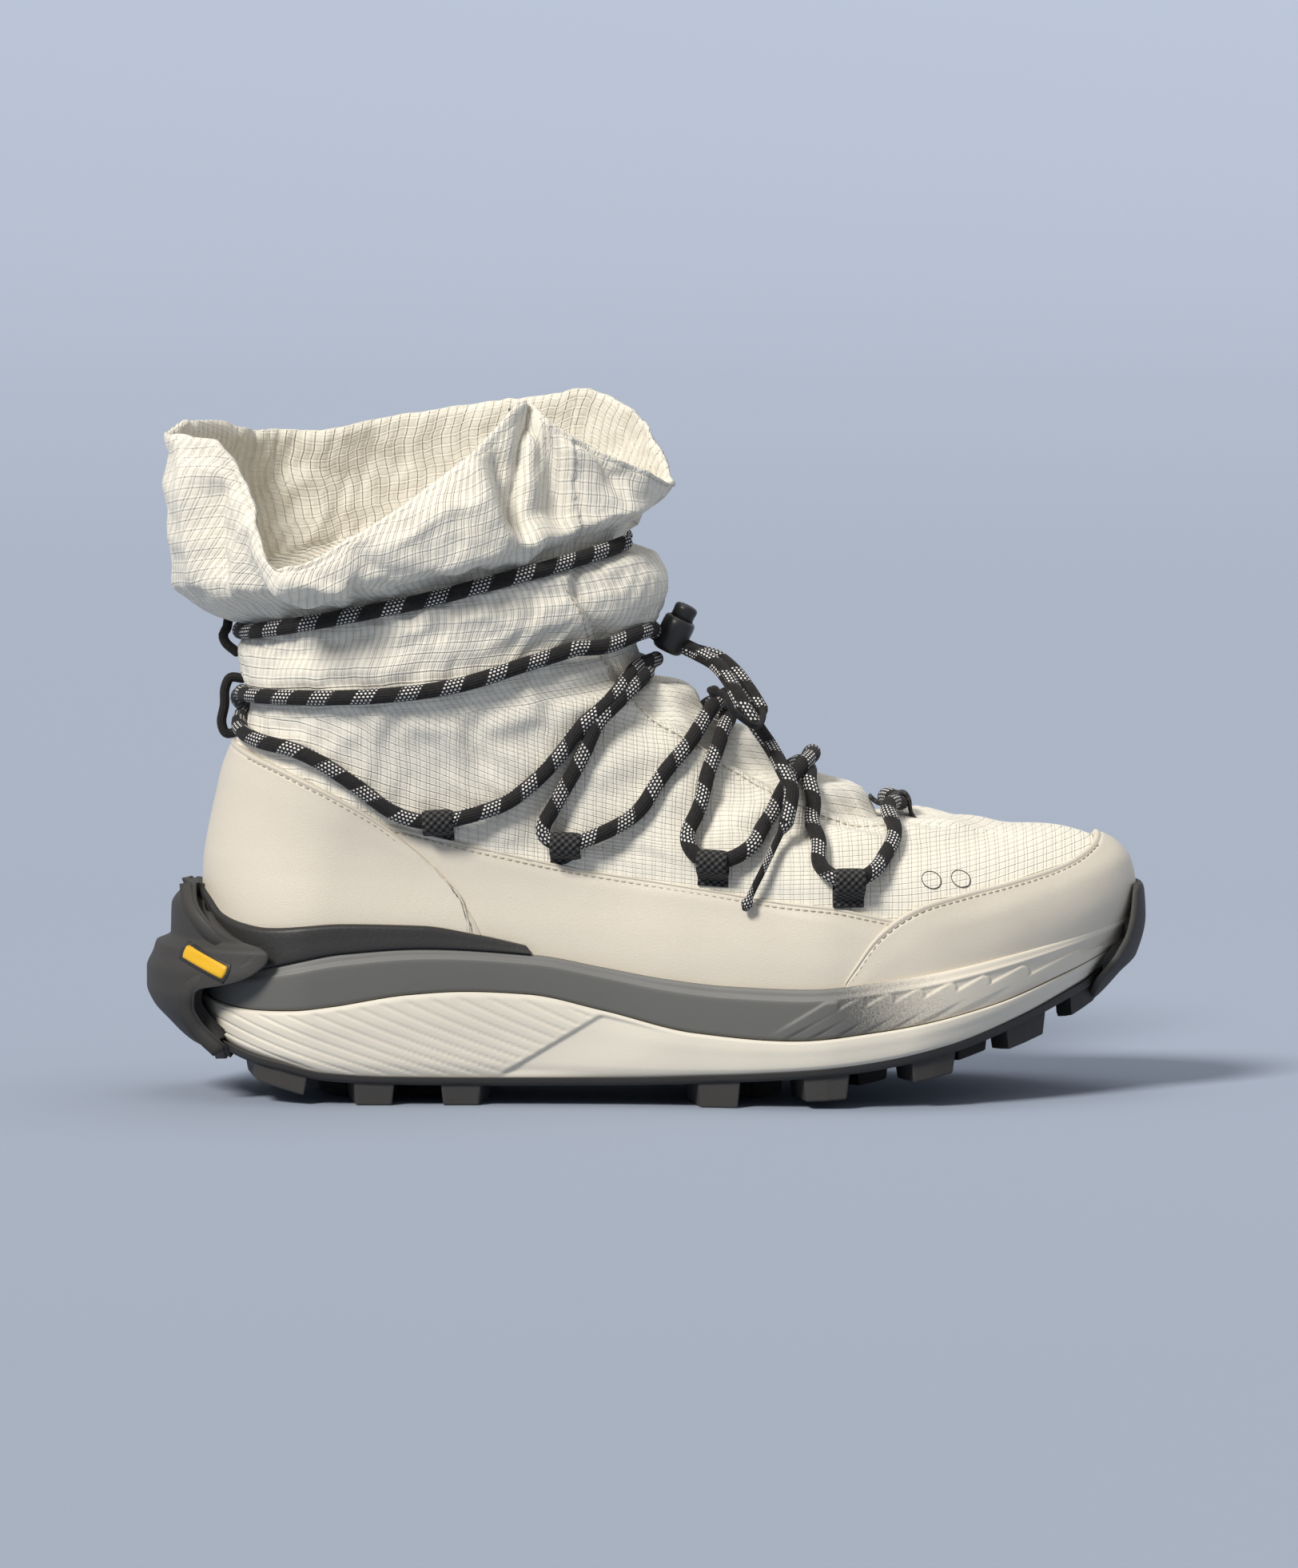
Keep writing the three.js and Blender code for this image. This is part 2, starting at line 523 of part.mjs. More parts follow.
// Sole layers. Each row is one level of a layer: h from its bottom line (0) to its top line (1), its
// ends as shares of the length, and grow, how far its side stands out from the sole's breadth.
function soleRing(layer, level, around, grow) {
  const turn = around - Math.floor(around);
  const side = turn < 0.5 ? -1 : 1;
  const along = (1 - Math.cos(2 * Math.PI * turn)) / 2;
  const back = level.back - grow / overallLength;
  const front = level.front + grow / overallLength;
  const x = lerp(back, front, along);
  const half = (rowsAt(soleBreadth, "x", side < 0 ? "lateral" : "medial", x) * soleWidth) / 2 + level.grow + grow;
  const ends = roundEnd((x - back) / layer.heelRound) * roundEnd((front - x) / layer.toeRound);
  const z = lerp(layer.bottom(x) - grow, layer.top(x) + grow, level.h);
  return place(x, side * half * ends + footCurve(x), z);
}

function soleLayer(layer, grow = 0) {
  const rings = layer.levels.map((level) =>
    Array.from({ length: soleAroundSteps }, (_, j) => soleRing(layer, level, j / soleAroundSteps, grow)),
  );
  return closedLoft(rings);
}

const carrier = {
  bottom: (x) => lineAt(carrierBottomLine, x) * soleHeight,
  top: (x) => lineAt(carrierTopLine, x) * soleHeight - gap / 2,
  heelRound: 0.12,
  toeRound: 0.2,
  levels: [
    { h: 0, back: 0.066, front: 0.945, grow: -2.4 },
    { h: 0.2, back: 0.054, front: 0.953, grow: -0.6 },
    { h: 0.75, back: 0.05, front: 0.963, grow: 0.2 },
    { h: 1, back: 0.053, front: 0.966, grow: -0.5 },
  ],
};
const foam = {
  bottom: (x) => lineAt(carrierTopLine, x) * soleHeight + gap / 2,
  top: (x) => lineAt(foamTopLine, x) * soleHeight,
  heelRound: 0.12,
  toeRound: 0.2,
  levels: [
    { h: 0, back: 0.053, front: 0.966, grow: -1.2 },
    { h: 0.7, back: 0.051, front: 0.978, grow: -0.4 },
    { h: 0.8, back: 0.0515, front: 0.981, grow: -1.1 },
    { h: 1, back: 0.053, front: 0.985, grow: -2 },
  ],
};
const cradle = {
  bottom: (x) => lineAt(foamTopLine, x) * soleHeight + gap,
  top: (x) => lineAt(cradleTopLine, x) * soleHeight,
  heelRound: 0.12,
  toeRound: 0.02,
  levels: [
    { h: 0, back: 0.0485, front: 0.386, grow: -1.6 },
    { h: 0.5, back: 0.0485, front: 0.384, grow: -1.9 },
    { h: 1, back: 0.0505, front: 0.38, grow: -2.4 },
  ],
};
const treadBase = {
  bottom: (x) => lineAt(carrierBottomLine, x) * soleHeight - gap - outsoleThickness,
  top: (x) => lineAt(carrierBottomLine, x) * soleHeight + treadRim,
  heelRound: 0.12,
  toeRound: 0.2,
  levels: [
    { h: 0, back: 0.058, front: 0.957, grow: -2.6 },
    { h: 1, back: 0.052, front: 0.957, grow: -1.6 },
  ],
};

// Heel clip and toe bumper: levels from the floor up, z a share of the sole height.
const heelClip = {
  heelRound: 0.13,
  toeRound: 0.02,
  levels: [
    { z: 0.25, back: 0.07, front: 0.15, grow: 0 },
    { z: 0.295, back: 0.046, front: 0.15, grow: 0.4 },
    { z: 0.42, back: 0.0215, front: 0.15, grow: 1 },
    { z: 0.61, back: 0.0, front: 0.15, grow: 1.4 },
    { z: 0.71, back: 0.0, front: 0.15, grow: 1.4 },
    { z: 0.865, back: 0.009, front: 0.15, grow: 0.9 },
    { z: 0.895, back: 0.0235, front: 0.15, grow: 0.3 },
    { z: 1.06, back: 0.025, front: 0.15, grow: 0.3 },
    { z: 1.2, back: 0.045, front: 0.15, grow: 0.1 },
  ],
};
const clipOutline = [
  [-0.05, 0.05], [0.086, 0.05], [0.084, 0.0725], [0.08, 0.0805], [0.068, 0.0965], [0.0575, 0.113], [0.051, 0.134],
  [0.052, 0.152], [0.06, 0.162], [0.08, 0.168], [0.101, 0.177], [0.116, 0.189], [0.126, 0.203],
  [0.128, 0.214], [0.12, 0.224], [0.101, 0.2305], [0.08, 0.2425], [0.062, 0.263], [0.0525, 0.285], [0.0485, 0.31], [-0.05, 0.31],
];
const toeBumper = {
  heelRound: 0.02,
  toeRound: 0.165,
  levels: [
    { z: 0.56, back: 0.88, front: 0.957, grow: -2 },
    { z: 0.665, back: 0.88, front: 0.974, grow: -1 },
    { z: 0.77, back: 0.88, front: 0.991, grow: 0 },
    { z: 0.985, back: 0.88, front: 1.0, grow: 0.4 },
    { z: 1.13, back: 0.88, front: 0.9985, grow: 0 },
    { z: 1.22, back: 0.88, front: 0.991, grow: -1 },
  ],
};
const bumperOutline = [
  [0.935, 0.1], [0.945, 0.168], [0.953, 0.176], [0.971, 0.209], [0.984, 0.249], [0.9845, 0.33], [1.05, 0.33], [1.05, 0.1],
];

function wrapSolid(wrap) {
  const rings = wrap.levels.map((level) => {
    const layer = { ...wrap, bottom: () => level.z * soleHeight, top: () => level.z * soleHeight };
    return Array.from({ length: soleAroundSteps }, (_, j) => soleRing(layer, { ...level, h: 0 }, j / soleAroundSteps, 0));
  });
  return closedLoft(rings);
}

// Lugs: middle and length as shares of the overall length, from and to as shares of the half breadth.
const lugRows = [
  { x: 0.132, length: 0.058, from: 0.35, to: 0.97, slant: 0.01 },
  { x: 0.226, length: 0.044, from: 0.42, to: 0.97, slant: 0.008 },
  { x: 0.32, length: 0.044, from: 0.42, to: 0.97, slant: -0.008 },
  { x: 0.566, length: 0.046, from: 0.5, to: 0.97, slant: 0.012 },
  { x: 0.672, length: 0.05, from: 0.52, to: 0.97, slant: 0.012 },
  { x: 0.777, length: 0.048, from: 0.52, to: 0.97, slant: 0.014 },
  { x: 0.87, length: 0.044, from: 0.45, to: 0.95, slant: 0.014 },
  { x: 0.93, length: 0.03, from: 0.1, to: 0.8, slant: 0.012 },
  { x: 0.179, length: 0.034, from: 0.06, to: 0.34, slant: 0.016 },
  { x: 0.273, length: 0.034, from: 0.06, to: 0.34, slant: 0.016 },
  { x: 0.61, length: 0.036, from: 0.07, to: 0.42, slant: 0.02 },
  { x: 0.715, length: 0.036, from: 0.07, to: 0.42, slant: 0.02 },
  { x: 0.815, length: 0.034, from: 0.07, to: 0.42, slant: 0.02 },
];
const lugTaper = 0.12; // how much shorter a lug is at the ground

function lugSolid(row, side) {
  const corners = (scale, height) =>
    [[-1, 0], [1, 0], [1, 1], [-1, 1]].map(([end, out]) => {
      const share = lerp(row.from, row.to, out);
      const x = row.x + (end * row.length * scale) / 2 + row.slant * (out - 0.5);
      const half = (rowsAt(soleBreadth, "x", side < 0 ? "lateral" : "medial", x) * soleWidth) / 2 - treadBaseInset;
      const ends = roundEnd((x - treadBase.levels[0].back) / treadBase.heelRound) * roundEnd((treadBase.levels[0].front - x) / treadBase.toeRound);
      return place(x, side * half * ends * share + footCurve(x), height(x));
    });
  const low = corners(1 - lugTaper, (x) => lineAt(treadLine, x) * soleHeight);
  const high = corners(1, (x) => treadBase.bottom(x) + outsoleThickness / 2);
  const faces = [0, 1, 2, 0, 2, 3, 4, 6, 5, 4, 7, 6];
  for (let j = 0; j < 4; j++) {
    const next = (j + 1) % 4;
    faces.push(j, j + 4, next + 4, j, next + 4, next);
  }
  return solidOf(geometryOf([...low, ...high], side < 0 ? faces : faces.reverse()));
}
const treadBaseInset = 2;

function outsoleSolid(midsoles) {
  const lugs = lugRows.flatMap((row) => [lugSolid(row, -1), lugSolid(row, 1)]);
  const clip = wrapSolid(heelClip).intersect(sidePrism(clipOutline));
  const bumper = wrapSolid(toeBumper).intersect(sidePrism(bumperOutline));
  const body = joined([soleLayer(treadBase), clip, bumper, ...lugs]);
  return mainBody(midsoles.reduce((rest, cutter) => rest.subtract(cutter), body));
}

// Side-view outlines of the overlays, x a share of the length and z of the boot's height.
const counterEdge = [
  [0.088, 0.505], [0.107, 0.4905], [0.133, 0.4755], [0.159, 0.4585], [0.1855, 0.4405], [0.2115, 0.42],
  [0.238, 0.397], [0.264, 0.3675], [0.291, 0.334], [0.311, 0.3], [0.327, 0.2665], [0.337, 0.235], [0.342, 0.19], [0.345, 0.1],
];
const guardEdge = [
  [0.2, 0.405], [0.242, 0.3955], [0.275, 0.3845], [0.317, 0.369], [0.369, 0.3525], [0.414, 0.339], [0.452, 0.3295],
  [0.51, 0.317], [0.569, 0.305], [0.628, 0.292], [0.686, 0.284], [0.7155, 0.2755], [0.76, 0.262], [0.8, 0.25],
];
const capEdge = [
  [0.68, 0.09], [0.69, 0.15], [0.695, 0.176], [0.707, 0.2045], [0.724, 0.239], [0.741, 0.2615], [0.768, 0.2835],
  [0.809, 0.299], [0.857, 0.313], [0.906, 0.33], [0.93, 0.344], [0.946, 0.361], [0.9485, 0.385], [0.95, 0.42],
];
const throatEdge = [
  [0.425, 0.741], [0.4247, 0.727], [0.435, 0.7026], [0.4485, 0.6565], [0.4565, 0.6295], [0.467, 0.6048],
  [0.4882, 0.5666], [0.5246, 0.5297], [0.5602, 0.496], [0.5927, 0.4725], [0.6276, 0.4405], [0.642, 0.43],
];

// Moves an edge sideways in side view, towards the toe and the top for a positive distance.
function shifted(edge, distance) {
  return edge.map(([x, z], i) => {
    const [ax, az] = edge[Math.max(0, i - 1)];
    const [bx, bz] = edge[Math.min(edge.length - 1, i + 1)];
    const run = (bx - ax) * overallLength;
    const rise = (bz - az) * bootHeight;
    const length = Math.hypot(run, rise);
    return [x - ((rise / length) * distance) / overallLength, z + ((run / length) * distance) / bootHeight];
  });
}

const overlayTopRing = 18;
const counterSide = sidePrism([[-0.1, 0.1], [-0.1, 0.53], [0.06, 0.53], ...shifted(counterEdge, 0)]);
const beyondCounter = sidePrism([[-0.1, 0.1], [-0.1, 0.53], [0.06, 0.53], ...shifted(counterEdge, gap)]);
const capSide = sidePrism([...capEdge, [1.1, 0.42], [1.1, 0.09]].reverse());
const beyondCap = sidePrism([...shifted(capEdge, gap), [1.1, 0.42], [1.1, 0.09]].reverse());
const guardSide = sidePrism([[0.2, 0.1], ...guardEdge, [0.8, 0.1]].reverse());

const overlayShell = lastSolid(overlayThickness + gap, overlayTopRing).subtract(lastSolid(gap, overlayTopRing + 1, soleHeight));
const toeCapSolid = mainBody(overlayShell.intersect(capSide));
const counterSolid = mainBody(overlayShell.intersect(counterSide));
const guards = bodies(overlayShell.intersect(guardSide).subtract(beyondCounter).subtract(beyondCap))
  .slice(0, 2)
  .sort((a, b) => a.boundingBox().min[1] - b.boundingBox().min[1]);

// Upper and tongue: the throat is cut out of the wall and the tongue fills it.
const throatReach = [[0.9, 0.43], [0.9, 0.741]];
const throatHole = sidePrism([...throatEdge, ...throatReach].reverse());
const throatFill = sidePrism([...shifted(throatEdge, gap), [0.9, 0.43 + (2 * gap) / bootHeight], [0.9, 0.741 - (2 * gap) / bootHeight]].reverse());
const wholeUpper = upperWall();
const upperSolid = mainBody(wholeUpper.subtract(throatHole));
const tongueSolid = mainBody(wholeUpper.intersect(throatFill));

// Midsoles, cut by the lasted upper with its overlays.
const lasted = lastSolid(overlayThickness + 2 * gap, 14, 2 * gap);
const carrierSolid = mainBody(soleLayer(carrier).subtract(lasted));
const foamSolid = mainBody(soleLayer(foam).subtract(lasted));
const cradleSolid = mainBody(soleLayer(cradle).subtract(lasted));
const midsoleCutters = [soleLayer(carrier, gap), soleLayer(foam, gap), soleLayer(cradle, gap), lasted];
const outsole = outsoleSolid(midsoleCutters);

// Insole: lies on the turned-under margin, inside the wall.
function insoleSolid() {
  const inset = footWall + 2 * gap;
  const rim = Array.from({ length: aroundSteps }, (_, j) => upperPoint(2, j / aroundSteps, -inset));
  const level = (rise) => rim.map((p) => {
    const x = p.x / overallLength + 0.5;
    return new THREE.Vector3(p.x, p.y, lineAt(bedLine, x) * soleHeight + footWall + gap + rise);
  });
  return mainBody(closedLoft([level(0), level(insoleThickness)]).subtract(wholeUpper));
}

// Laces. Places are seen from the side, x a share of the length and z of the boot's height.
const laceLift = laceDiameter / 2 + 1.05;
const backLift = laceDiameter / 2 + 0.5;
const overLift = laceLift + laceDiameter + 2 * gap;
const loopLift = laceDiameter / 2 + 3 * gap + webbingThickness + 0.5;
const toeLoopRing = 10;
const sideLoops = [
  { before: [0.402, 0.507], right: [0.3265, 0.4102], middle: [0.2924, 0.4002], left: [0.2622, 0.4055], after: [0.1759, 0.4676] },
  { before: [0.4929, 0.4508], right: [0.4453, 0.3785], middle: [0.42, 0.3677], left: [0.397, 0.3787], after: [0.445, 0.472] },
  { before: [0.612, 0.4002], right: [0.584, 0.3514], middle: [0.5658, 0.345], left: [0.5468, 0.3552], after: [0.5563, 0.4452] },
  { before: [0.738, 0.37], right: [0.7187, 0.3289], middle: [0.7005, 0.3206], left: [0.6791, 0.3315], after: [0.673, 0.405] },
];
const crossingRings = [16, 14, 12]; // on the ridge
const lockSeatRing = 17.5; // where the shaft's front carries the lock
const lockForward = 8.7; // from there to the lock's middle
const lockRise = -1.53;
const lockMiddle = upperForm(lockSeatRing, 0.5).add(new THREE.Vector3(lockForward, -2, lockRise));

function lacePlace(ring, around, lift) {
  return { ring, around, lift };
}

function sidePlace([x, z], side, lift, turns = 0) {
  const found = onUpper(x, z, side, lift);
  return lacePlace(found.ring, found.around + turns, lift);
}

// On the way to a crossing, where the lace that passes above is already clear of the other.
function between(low, top, share) {
  return lacePlace(lerp(low.ring, top.ring, share), lerp(low.around, top.around, share), top.lift - 0.6);
}

// One half of the lace, from the toe loop through the side loops and round the back towards the lock.
// first is the side it starts on, over says which ridge crossings it takes above the other half.
function lacePlaces(first, over) {
  const loop = (i, side) =>
    ["before", "right", "middle", "left", "after"].map((part) =>
      sidePlace(sideLoops[i][part], side, part === "before" || part === "after" ? laceLift : loopLift),
    );
  const across = (i, from, to) => {
    const lift = (over[i] ? overLift : laceLift) + 0.4;
    const top = lacePlace(crossingRings[i], 0.5, lift);
    if (!over[i]) return [...from, top, ...to];
    return [...from, between(from.at(-1), top, 0.5), top, between(to[0], top, 0.5), ...to];
  };
  const other = -first;
  const share = other < 0 ? 1 : -1; // around grows on the outer side and falls on the inner one
  const back = other < 0 ? 0 : 1;
  let places = [
    lacePlace(toeLoopRing, 0.5 + first * 0.0015, loopLift),
    lacePlace(toeLoopRing - 0.05, 0.5 + first * 0.05, loopLift),
    ...loop(3, first),
  ];
  places = across(2, places, loop(2, other));
  places = across(1, places, loop(1, first));
  places = across(0, places, loop(0, other));
  return [
    ...places,
    lacePlace(other < 0 ? 14.1 : 15.0, back + share * 0.08, other < 0 ? laceLift : overLift + 0.6),
    lacePlace(other < 0 ? 14.85 : 16.1, back, backLift),
    lacePlace(other < 0 ? 15.1 : 16.2, back - share * 0.08, laceLift),
    sidePlace([0.3027, 0.5913], first, laceLift, first < 0 ? 1 : -1),
    sidePlace([0.43, 0.643], first, laceLift, first < 0 ? 1 : -1),
  ];
}

function laceCurve(places) {
  const scale = 40; // of around, so that a step round the boot counts like its length in rings
  const route = new THREE.CatmullRomCurve3(
    places.map((p) => new THREE.Vector3(p.ring, p.around * scale, p.lift)),
    false,
    "centripetal",
  );
  return through(route.getPoints(places.length * 6).map((p) => upperPoint(p.x, p.y / scale, p.z)));
}

function through(points) {
  return new THREE.CatmullRomCurve3(points, false, "centripetal");
}

function tube(curve, radius, sides, step) {
  const outline = Array.from({ length: sides }, (_, i) => {
    const angle = (2 * Math.PI * (i + 0.5)) / sides;
    return new THREE.Vector2(radius * Math.cos(angle), radius * Math.sin(angle));
  });
  const steps = Math.max(2, Math.round(curve.getLength() / step));
  return solidOf(new THREE.ExtrudeGeometry(new THREE.Shape(outline), { steps, extrudePath: curve, bevelEnabled: false }));
}

function seenAt([x, z], side, lift) {
  const found = onUpper(x, z, side, lift);
  return upperPoint(found.ring, found.around, lift);
}

// The stretch of a curve within half a width of its point nearest to a place.
function stretchAt(curve, point, width) {
  let best = { distance: Infinity };
  for (let i = 0; i <= 1500; i++) {
    const distance = curve.getPointAt(i / 1500).distanceTo(point);
    if (distance < best.distance) best = { distance, share: i / 1500 };
  }
  const reach = width / 2 / curve.getLength();
  return [-1, -0.5, 0, 0.5, 1].map((end) => curve.getPointAt(best.share + end * reach));
}

// A short webbing loop round a stretch of lace.
function webbingLoop(stretch) {
  const inner = laceDiameter / 2 + gap + 0.4;
  const curve = through(stretch);
  const first = stretch[0].clone().addScaledVector(curve.getTangentAt(0), -1);
  const last = stretch.at(-1).clone().addScaledVector(curve.getTangentAt(1), 1);
  const body = tube(curve, inner + webbingThickness, loopSides, webbingWidth / 2);
  return body.subtract(tube(through([first, ...stretch, last]), inner, loopSides, webbingWidth / 2));
}

// The lock's own frame: x along the laces, y across them, z up its axis.
const lockFrame = new THREE.Matrix4()
  .makeBasis(
    new THREE.Vector3(Math.cos(lockTilt), 0, -Math.sin(lockTilt)),
    new THREE.Vector3(0, 1, 0),
    new THREE.Vector3(Math.sin(lockTilt), 0, Math.cos(lockTilt)),
  )
  .setPosition(lockMiddle);
const inLock = (x, y, z) => new THREE.Vector3(x, y, z).applyMatrix4(lockFrame);
const laceInLock = { y: laceDiameter / 2 + 0.15, z: -1.7, end: lockStemDiameter / 2 + 0.6 };

function lockBarrel() {
  const outer = new THREE.Shape(
    Array.from({ length: lockSides }, (_, i) => {
      const angle = (2 * Math.PI * i) / lockSides;
      return new THREE.Vector2((lockWidth / 2) * Math.cos(angle), (lockDepth / 2) * Math.sin(angle));
    }),
  );
  const body = new THREE.ExtrudeGeometry(outer, {
    depth: lockHeight - 2,
    bevelEnabled: true,
    bevelThickness: 1,
    bevelSize: 0.8,
    bevelOffset: -0.8,
    bevelSegments: 2,
  });
  body.translate(0, 0, 1 - lockHeight / 2);
  const bore = new THREE.CylinderGeometry(lockButtonDiameter / 2 + lockClearance, lockButtonDiameter / 2 + lockClearance, 8, lockSides);
  bore.rotateX(Math.PI / 2);
  bore.translate(0, 0, 4 + 0.9);
  const well = new THREE.CylinderGeometry(lockStemDiameter / 2 + lockClearance, lockStemDiameter / 2 + lockClearance, 8, 12);
  well.rotateX(Math.PI / 2);
  well.translate(0, 0, 4 - lockHeight / 2 + 0.9);
  const slot = new THREE.Shape();
  const half = laceInLock.y;
  const radius = laceDiameter / 2 + 0.3;
  slot.absarc(half, 0, radius, -Math.PI / 2, Math.PI / 2);
  slot.absarc(-half, 0, radius, Math.PI / 2, (3 * Math.PI) / 2);
  const crossHole = new THREE.ExtrudeGeometry(slot, { depth: lockWidth * 2, bevelEnabled: false, curveSegments: 8 });
  crossHole.translate(0, 0, -lockWidth);
  crossHole.rotateX(Math.PI / 2);
  crossHole.rotateZ(Math.PI / 2);
  crossHole.translate(0, 0, laceInLock.z);
  const solid = solidOf(body).subtract(solidOf(bore)).subtract(solidOf(well)).subtract(solidOf(crossHole));
  return moved(mainBody(solid), lockFrame);
}

function lockPlunger() {
  const top = lockHeight / 2;
  const radius = lockButtonDiameter / 2;
  const stem = lockStemDiameter / 2;
  const profile = [
    [0, lockTravel - lockHeight / 2 + 1.3],
    [stem, lockTravel - lockHeight / 2 + 1.3],
    [stem, 0.9 + lockTravel + 0.3],
    [radius, 0.9 + lockTravel + 0.3],
    [radius, top + lockButtonRise - 1.6],
    [radius - 0.5, top + lockButtonRise - 0.5],
    [radius - 1.5, top + lockButtonRise],
    [0, top + lockButtonRise],
  ].map(([r, z]) => new THREE.Vector2(r, z));
  const geometry = new THREE.LatheGeometry(profile, lockSides);
  geometry.rotateX(Math.PI / 2);
  return moved(solidOf(geometry), lockFrame);
}

function moved(solid, matrix) {
  return solid.transform(matrix.elements);
}

// The last stretch of one half of the lace: off the instep, round into the lock and up to its stem.
function leadIn(curve, side) {
  const end = curve.getPointAt(1);
  const z = laceInLock.z;
  return tube(
    through([
      curve.getPointAt(1 - 3 / curve.getLength()),
      end,
      ...leadInPlaces.map(({ ring, away }) => upperPoint(ring, 0.5 + side * away, laceLift + 0.4)),
      inLock(-lockWidth / 2 - 1.6, side * (laceInLock.y + 3.2), z + 0.4),
      inLock(-lockWidth / 2 + 0.3, side * (laceInLock.y + 0.1), z),
      inLock(-laceInLock.end, side * laceInLock.y, z),
    ]),
    laceDiameter / 2 - 0.05,
    laceEndSides,
    2.8,
  );
}
const leadInPlaces = [
  { ring: 17.5, away: 0.11 },
  { ring: 17.8, away: 0.07 },
];

const laceOuter = laceCurve(lacePlaces(1, [true, false, true]));
const laceInner = laceCurve(lacePlaces(-1, [false, true, false]));
const cinchCurve = laceCurve([
  lacePlace(20.6, 0.44, laceLift),
  lacePlace(20.5, 0.35, laceLift),
  lacePlace(20.4, 0.25, laceLift),
  lacePlace(20.2, 0.12, laceLift),
  lacePlace(20.1, 0.0, laceLift - 0.2),
  lacePlace(20.2, -0.12, laceLift),
  lacePlace(20.4, -0.25, laceLift),
  lacePlace(20.5, -0.35, laceLift),
  lacePlace(20.6, -0.44, laceLift),
]);

// Free lace ends below the lock: thick lace, then a thin tail, lying over the outer side of the instep.
const endRoutes = {
  outer: [
    { x: 0.5683, z: 0.6128, y: -9 },
    { x: 0.5811, z: 0.5935, y: -14.5 },
    { x: 0.5939, z: 0.5632, lift: 13.2 },
    { x: 0.6078, z: 0.5328, lift: 11.8 },
    { x: 0.6236, z: 0.4991, lift: 8 },
    { x: 0.6355, z: 0.4699, lift: 9 },
    { x: 0.6434, z: 0.4451, lift: 9.4 },
    { x: 0.6418, z: 0.4227, lift: 9.2 },
    { x: 0.6379, z: 0.4002, lift: 7.6 },
  ],
  outerTail: [
    { x: 0.6315, z: 0.3833, lift: 5.5 },
    { x: 0.6157, z: 0.3384, lift: 5 },
    { x: 0.6038, z: 0.3046, lift: 4.5 },
    { x: 0.5975, z: 0.2822, lift: 4.2 },
  ],
  inner: [
    { x: 0.5723, z: 0.6208, y: 0 },
    { x: 0.5921, z: 0.6035, y: -4 },
    { x: 0.6069, z: 0.5812, y: -9 },
    { x: 0.6194, z: 0.5568, y: -14 },
  ],
  innerTail: [
    { x: 0.6215, z: 0.5505, y: -19.5 },
    { x: 0.617, z: 0.538, y: -28 },
    { x: 0.6034, z: 0.5369, y: -34.5 },
    { x: 0.5844, z: 0.5589, y: -36 },
    { x: 0.5777, z: 0.5764, y: -33 },
    { x: 0.5626, z: 0.5837, y: -29.5 },
  ],
};
const backLoopLower = [
  { ring: 14.25, lift: 1.8 },
  { ring: 14.05, lift: 4.6 },
  { ring: 14.5, lift: 7.2 },
  { ring: 15.4, lift: 8.0 },
  { ring: 16.3, lift: 7.2 },
  { ring: 16.8, lift: 4.6 },
  { ring: 16.75, lift: 1.8 },
];
const backLoopUpper = [
  { ring: 18.0, lift: 1.8 },
  { ring: 18.7, lift: 4.8 },
  { ring: 19.4, lift: 6.9 },
  { ring: 20.1, lift: 7.3 },
  { ring: 20.9, lift: 6.9 },
  { ring: 21.25, lift: 4.8 },
  { ring: 21.4, lift: 1.8 },
];

function endPoints(route) {
  return route.map(({ x, z, y, lift }) => {
    return y === undefined ? seenAt([x, z], -1, lift) : place(x, y, z * bootHeight);
  });
}

function lockExit(side) {
  return [laceInLock.end, lockWidth / 2, lockWidth / 2 + 3.2].map((x) => inLock(x, side * laceInLock.y, laceInLock.z));
}

const outerEnd = tube(through([...lockExit(-1), ...endPoints(endRoutes.outer)]), laceDiameter / 2, laceEndSides, laceDiameter * 2);
const innerEnd = tube(through([...lockExit(1), ...endPoints(endRoutes.inner)]), laceDiameter / 2, laceEndSides, laceDiameter * 2);
const outerTail = tube(through([...endPoints(endRoutes.outer).slice(-1), ...endPoints(endRoutes.outerTail)]), laceTipDiameter / 2, laceEndSides, laceTipDiameter * 2.5);
const innerTail = tube(through([...endPoints(endRoutes.inner).slice(-1), ...endPoints(endRoutes.innerTail)]), laceTipDiameter / 2, laceEndSides, laceTipDiameter * 2.5);

// A loop of thin cord that stands off the back and holds the laces.
function backLoop(rings) {
  const points = rings.map(({ ring, lift }) => upperPoint(ring, 0, lift));
  return tube(through(points), pullLoopDiameter / 2, laceEndSides, 2.6);
}

const loopPlaces = [
  ...sideLoops.flatMap(({ middle }, i) => [
    { name: `loop_lateral_${i + 1}`, at: middle, side: -1, curve: i % 2 ? laceInner : laceOuter },
    { name: `loop_medial_${i + 1}`, at: middle, side: 1, curve: i % 2 ? laceOuter : laceInner },
  ]),
];

const boot = new THREE.Group();
function addPiece(name, solid, colour, roughness, metalness = 0) {
  const { vertProperties, triVerts, numProp } = solid.getMesh();
  const geometry = new THREE.BufferGeometry();
  const positions = new Float32Array((vertProperties.length / numProp) * 3);
  for (let i = 0; i < positions.length / 3; i++) positions.set(vertProperties.subarray(i * numProp, i * numProp + 3), i * 3);
  geometry.setAttribute("position", new THREE.BufferAttribute(positions, 3));
  geometry.setIndex(new THREE.BufferAttribute(new Uint32Array(triVerts), 1));
  const mesh = new THREE.Mesh(geometry, new THREE.MeshStandardMaterial({ color: colour, roughness, metalness }));
  mesh.name = name;
  boot.add(mesh);
}
addPiece("outsole", outsole, 0x2a2a2c, 0.85);
addPiece("midsole_carrier", carrierSolid, 0xe9e3d6, 0.7);
addPiece("midsole_foam", foamSolid, 0x6b6b68, 0.75);
addPiece("heel_cradle", cradleSolid, 0x333336, 0.6);
addPiece("upper", upperSolid, 0xeee6d6, 0.8);
addPiece("tongue", tongueSolid, 0xeee6d6, 0.8);
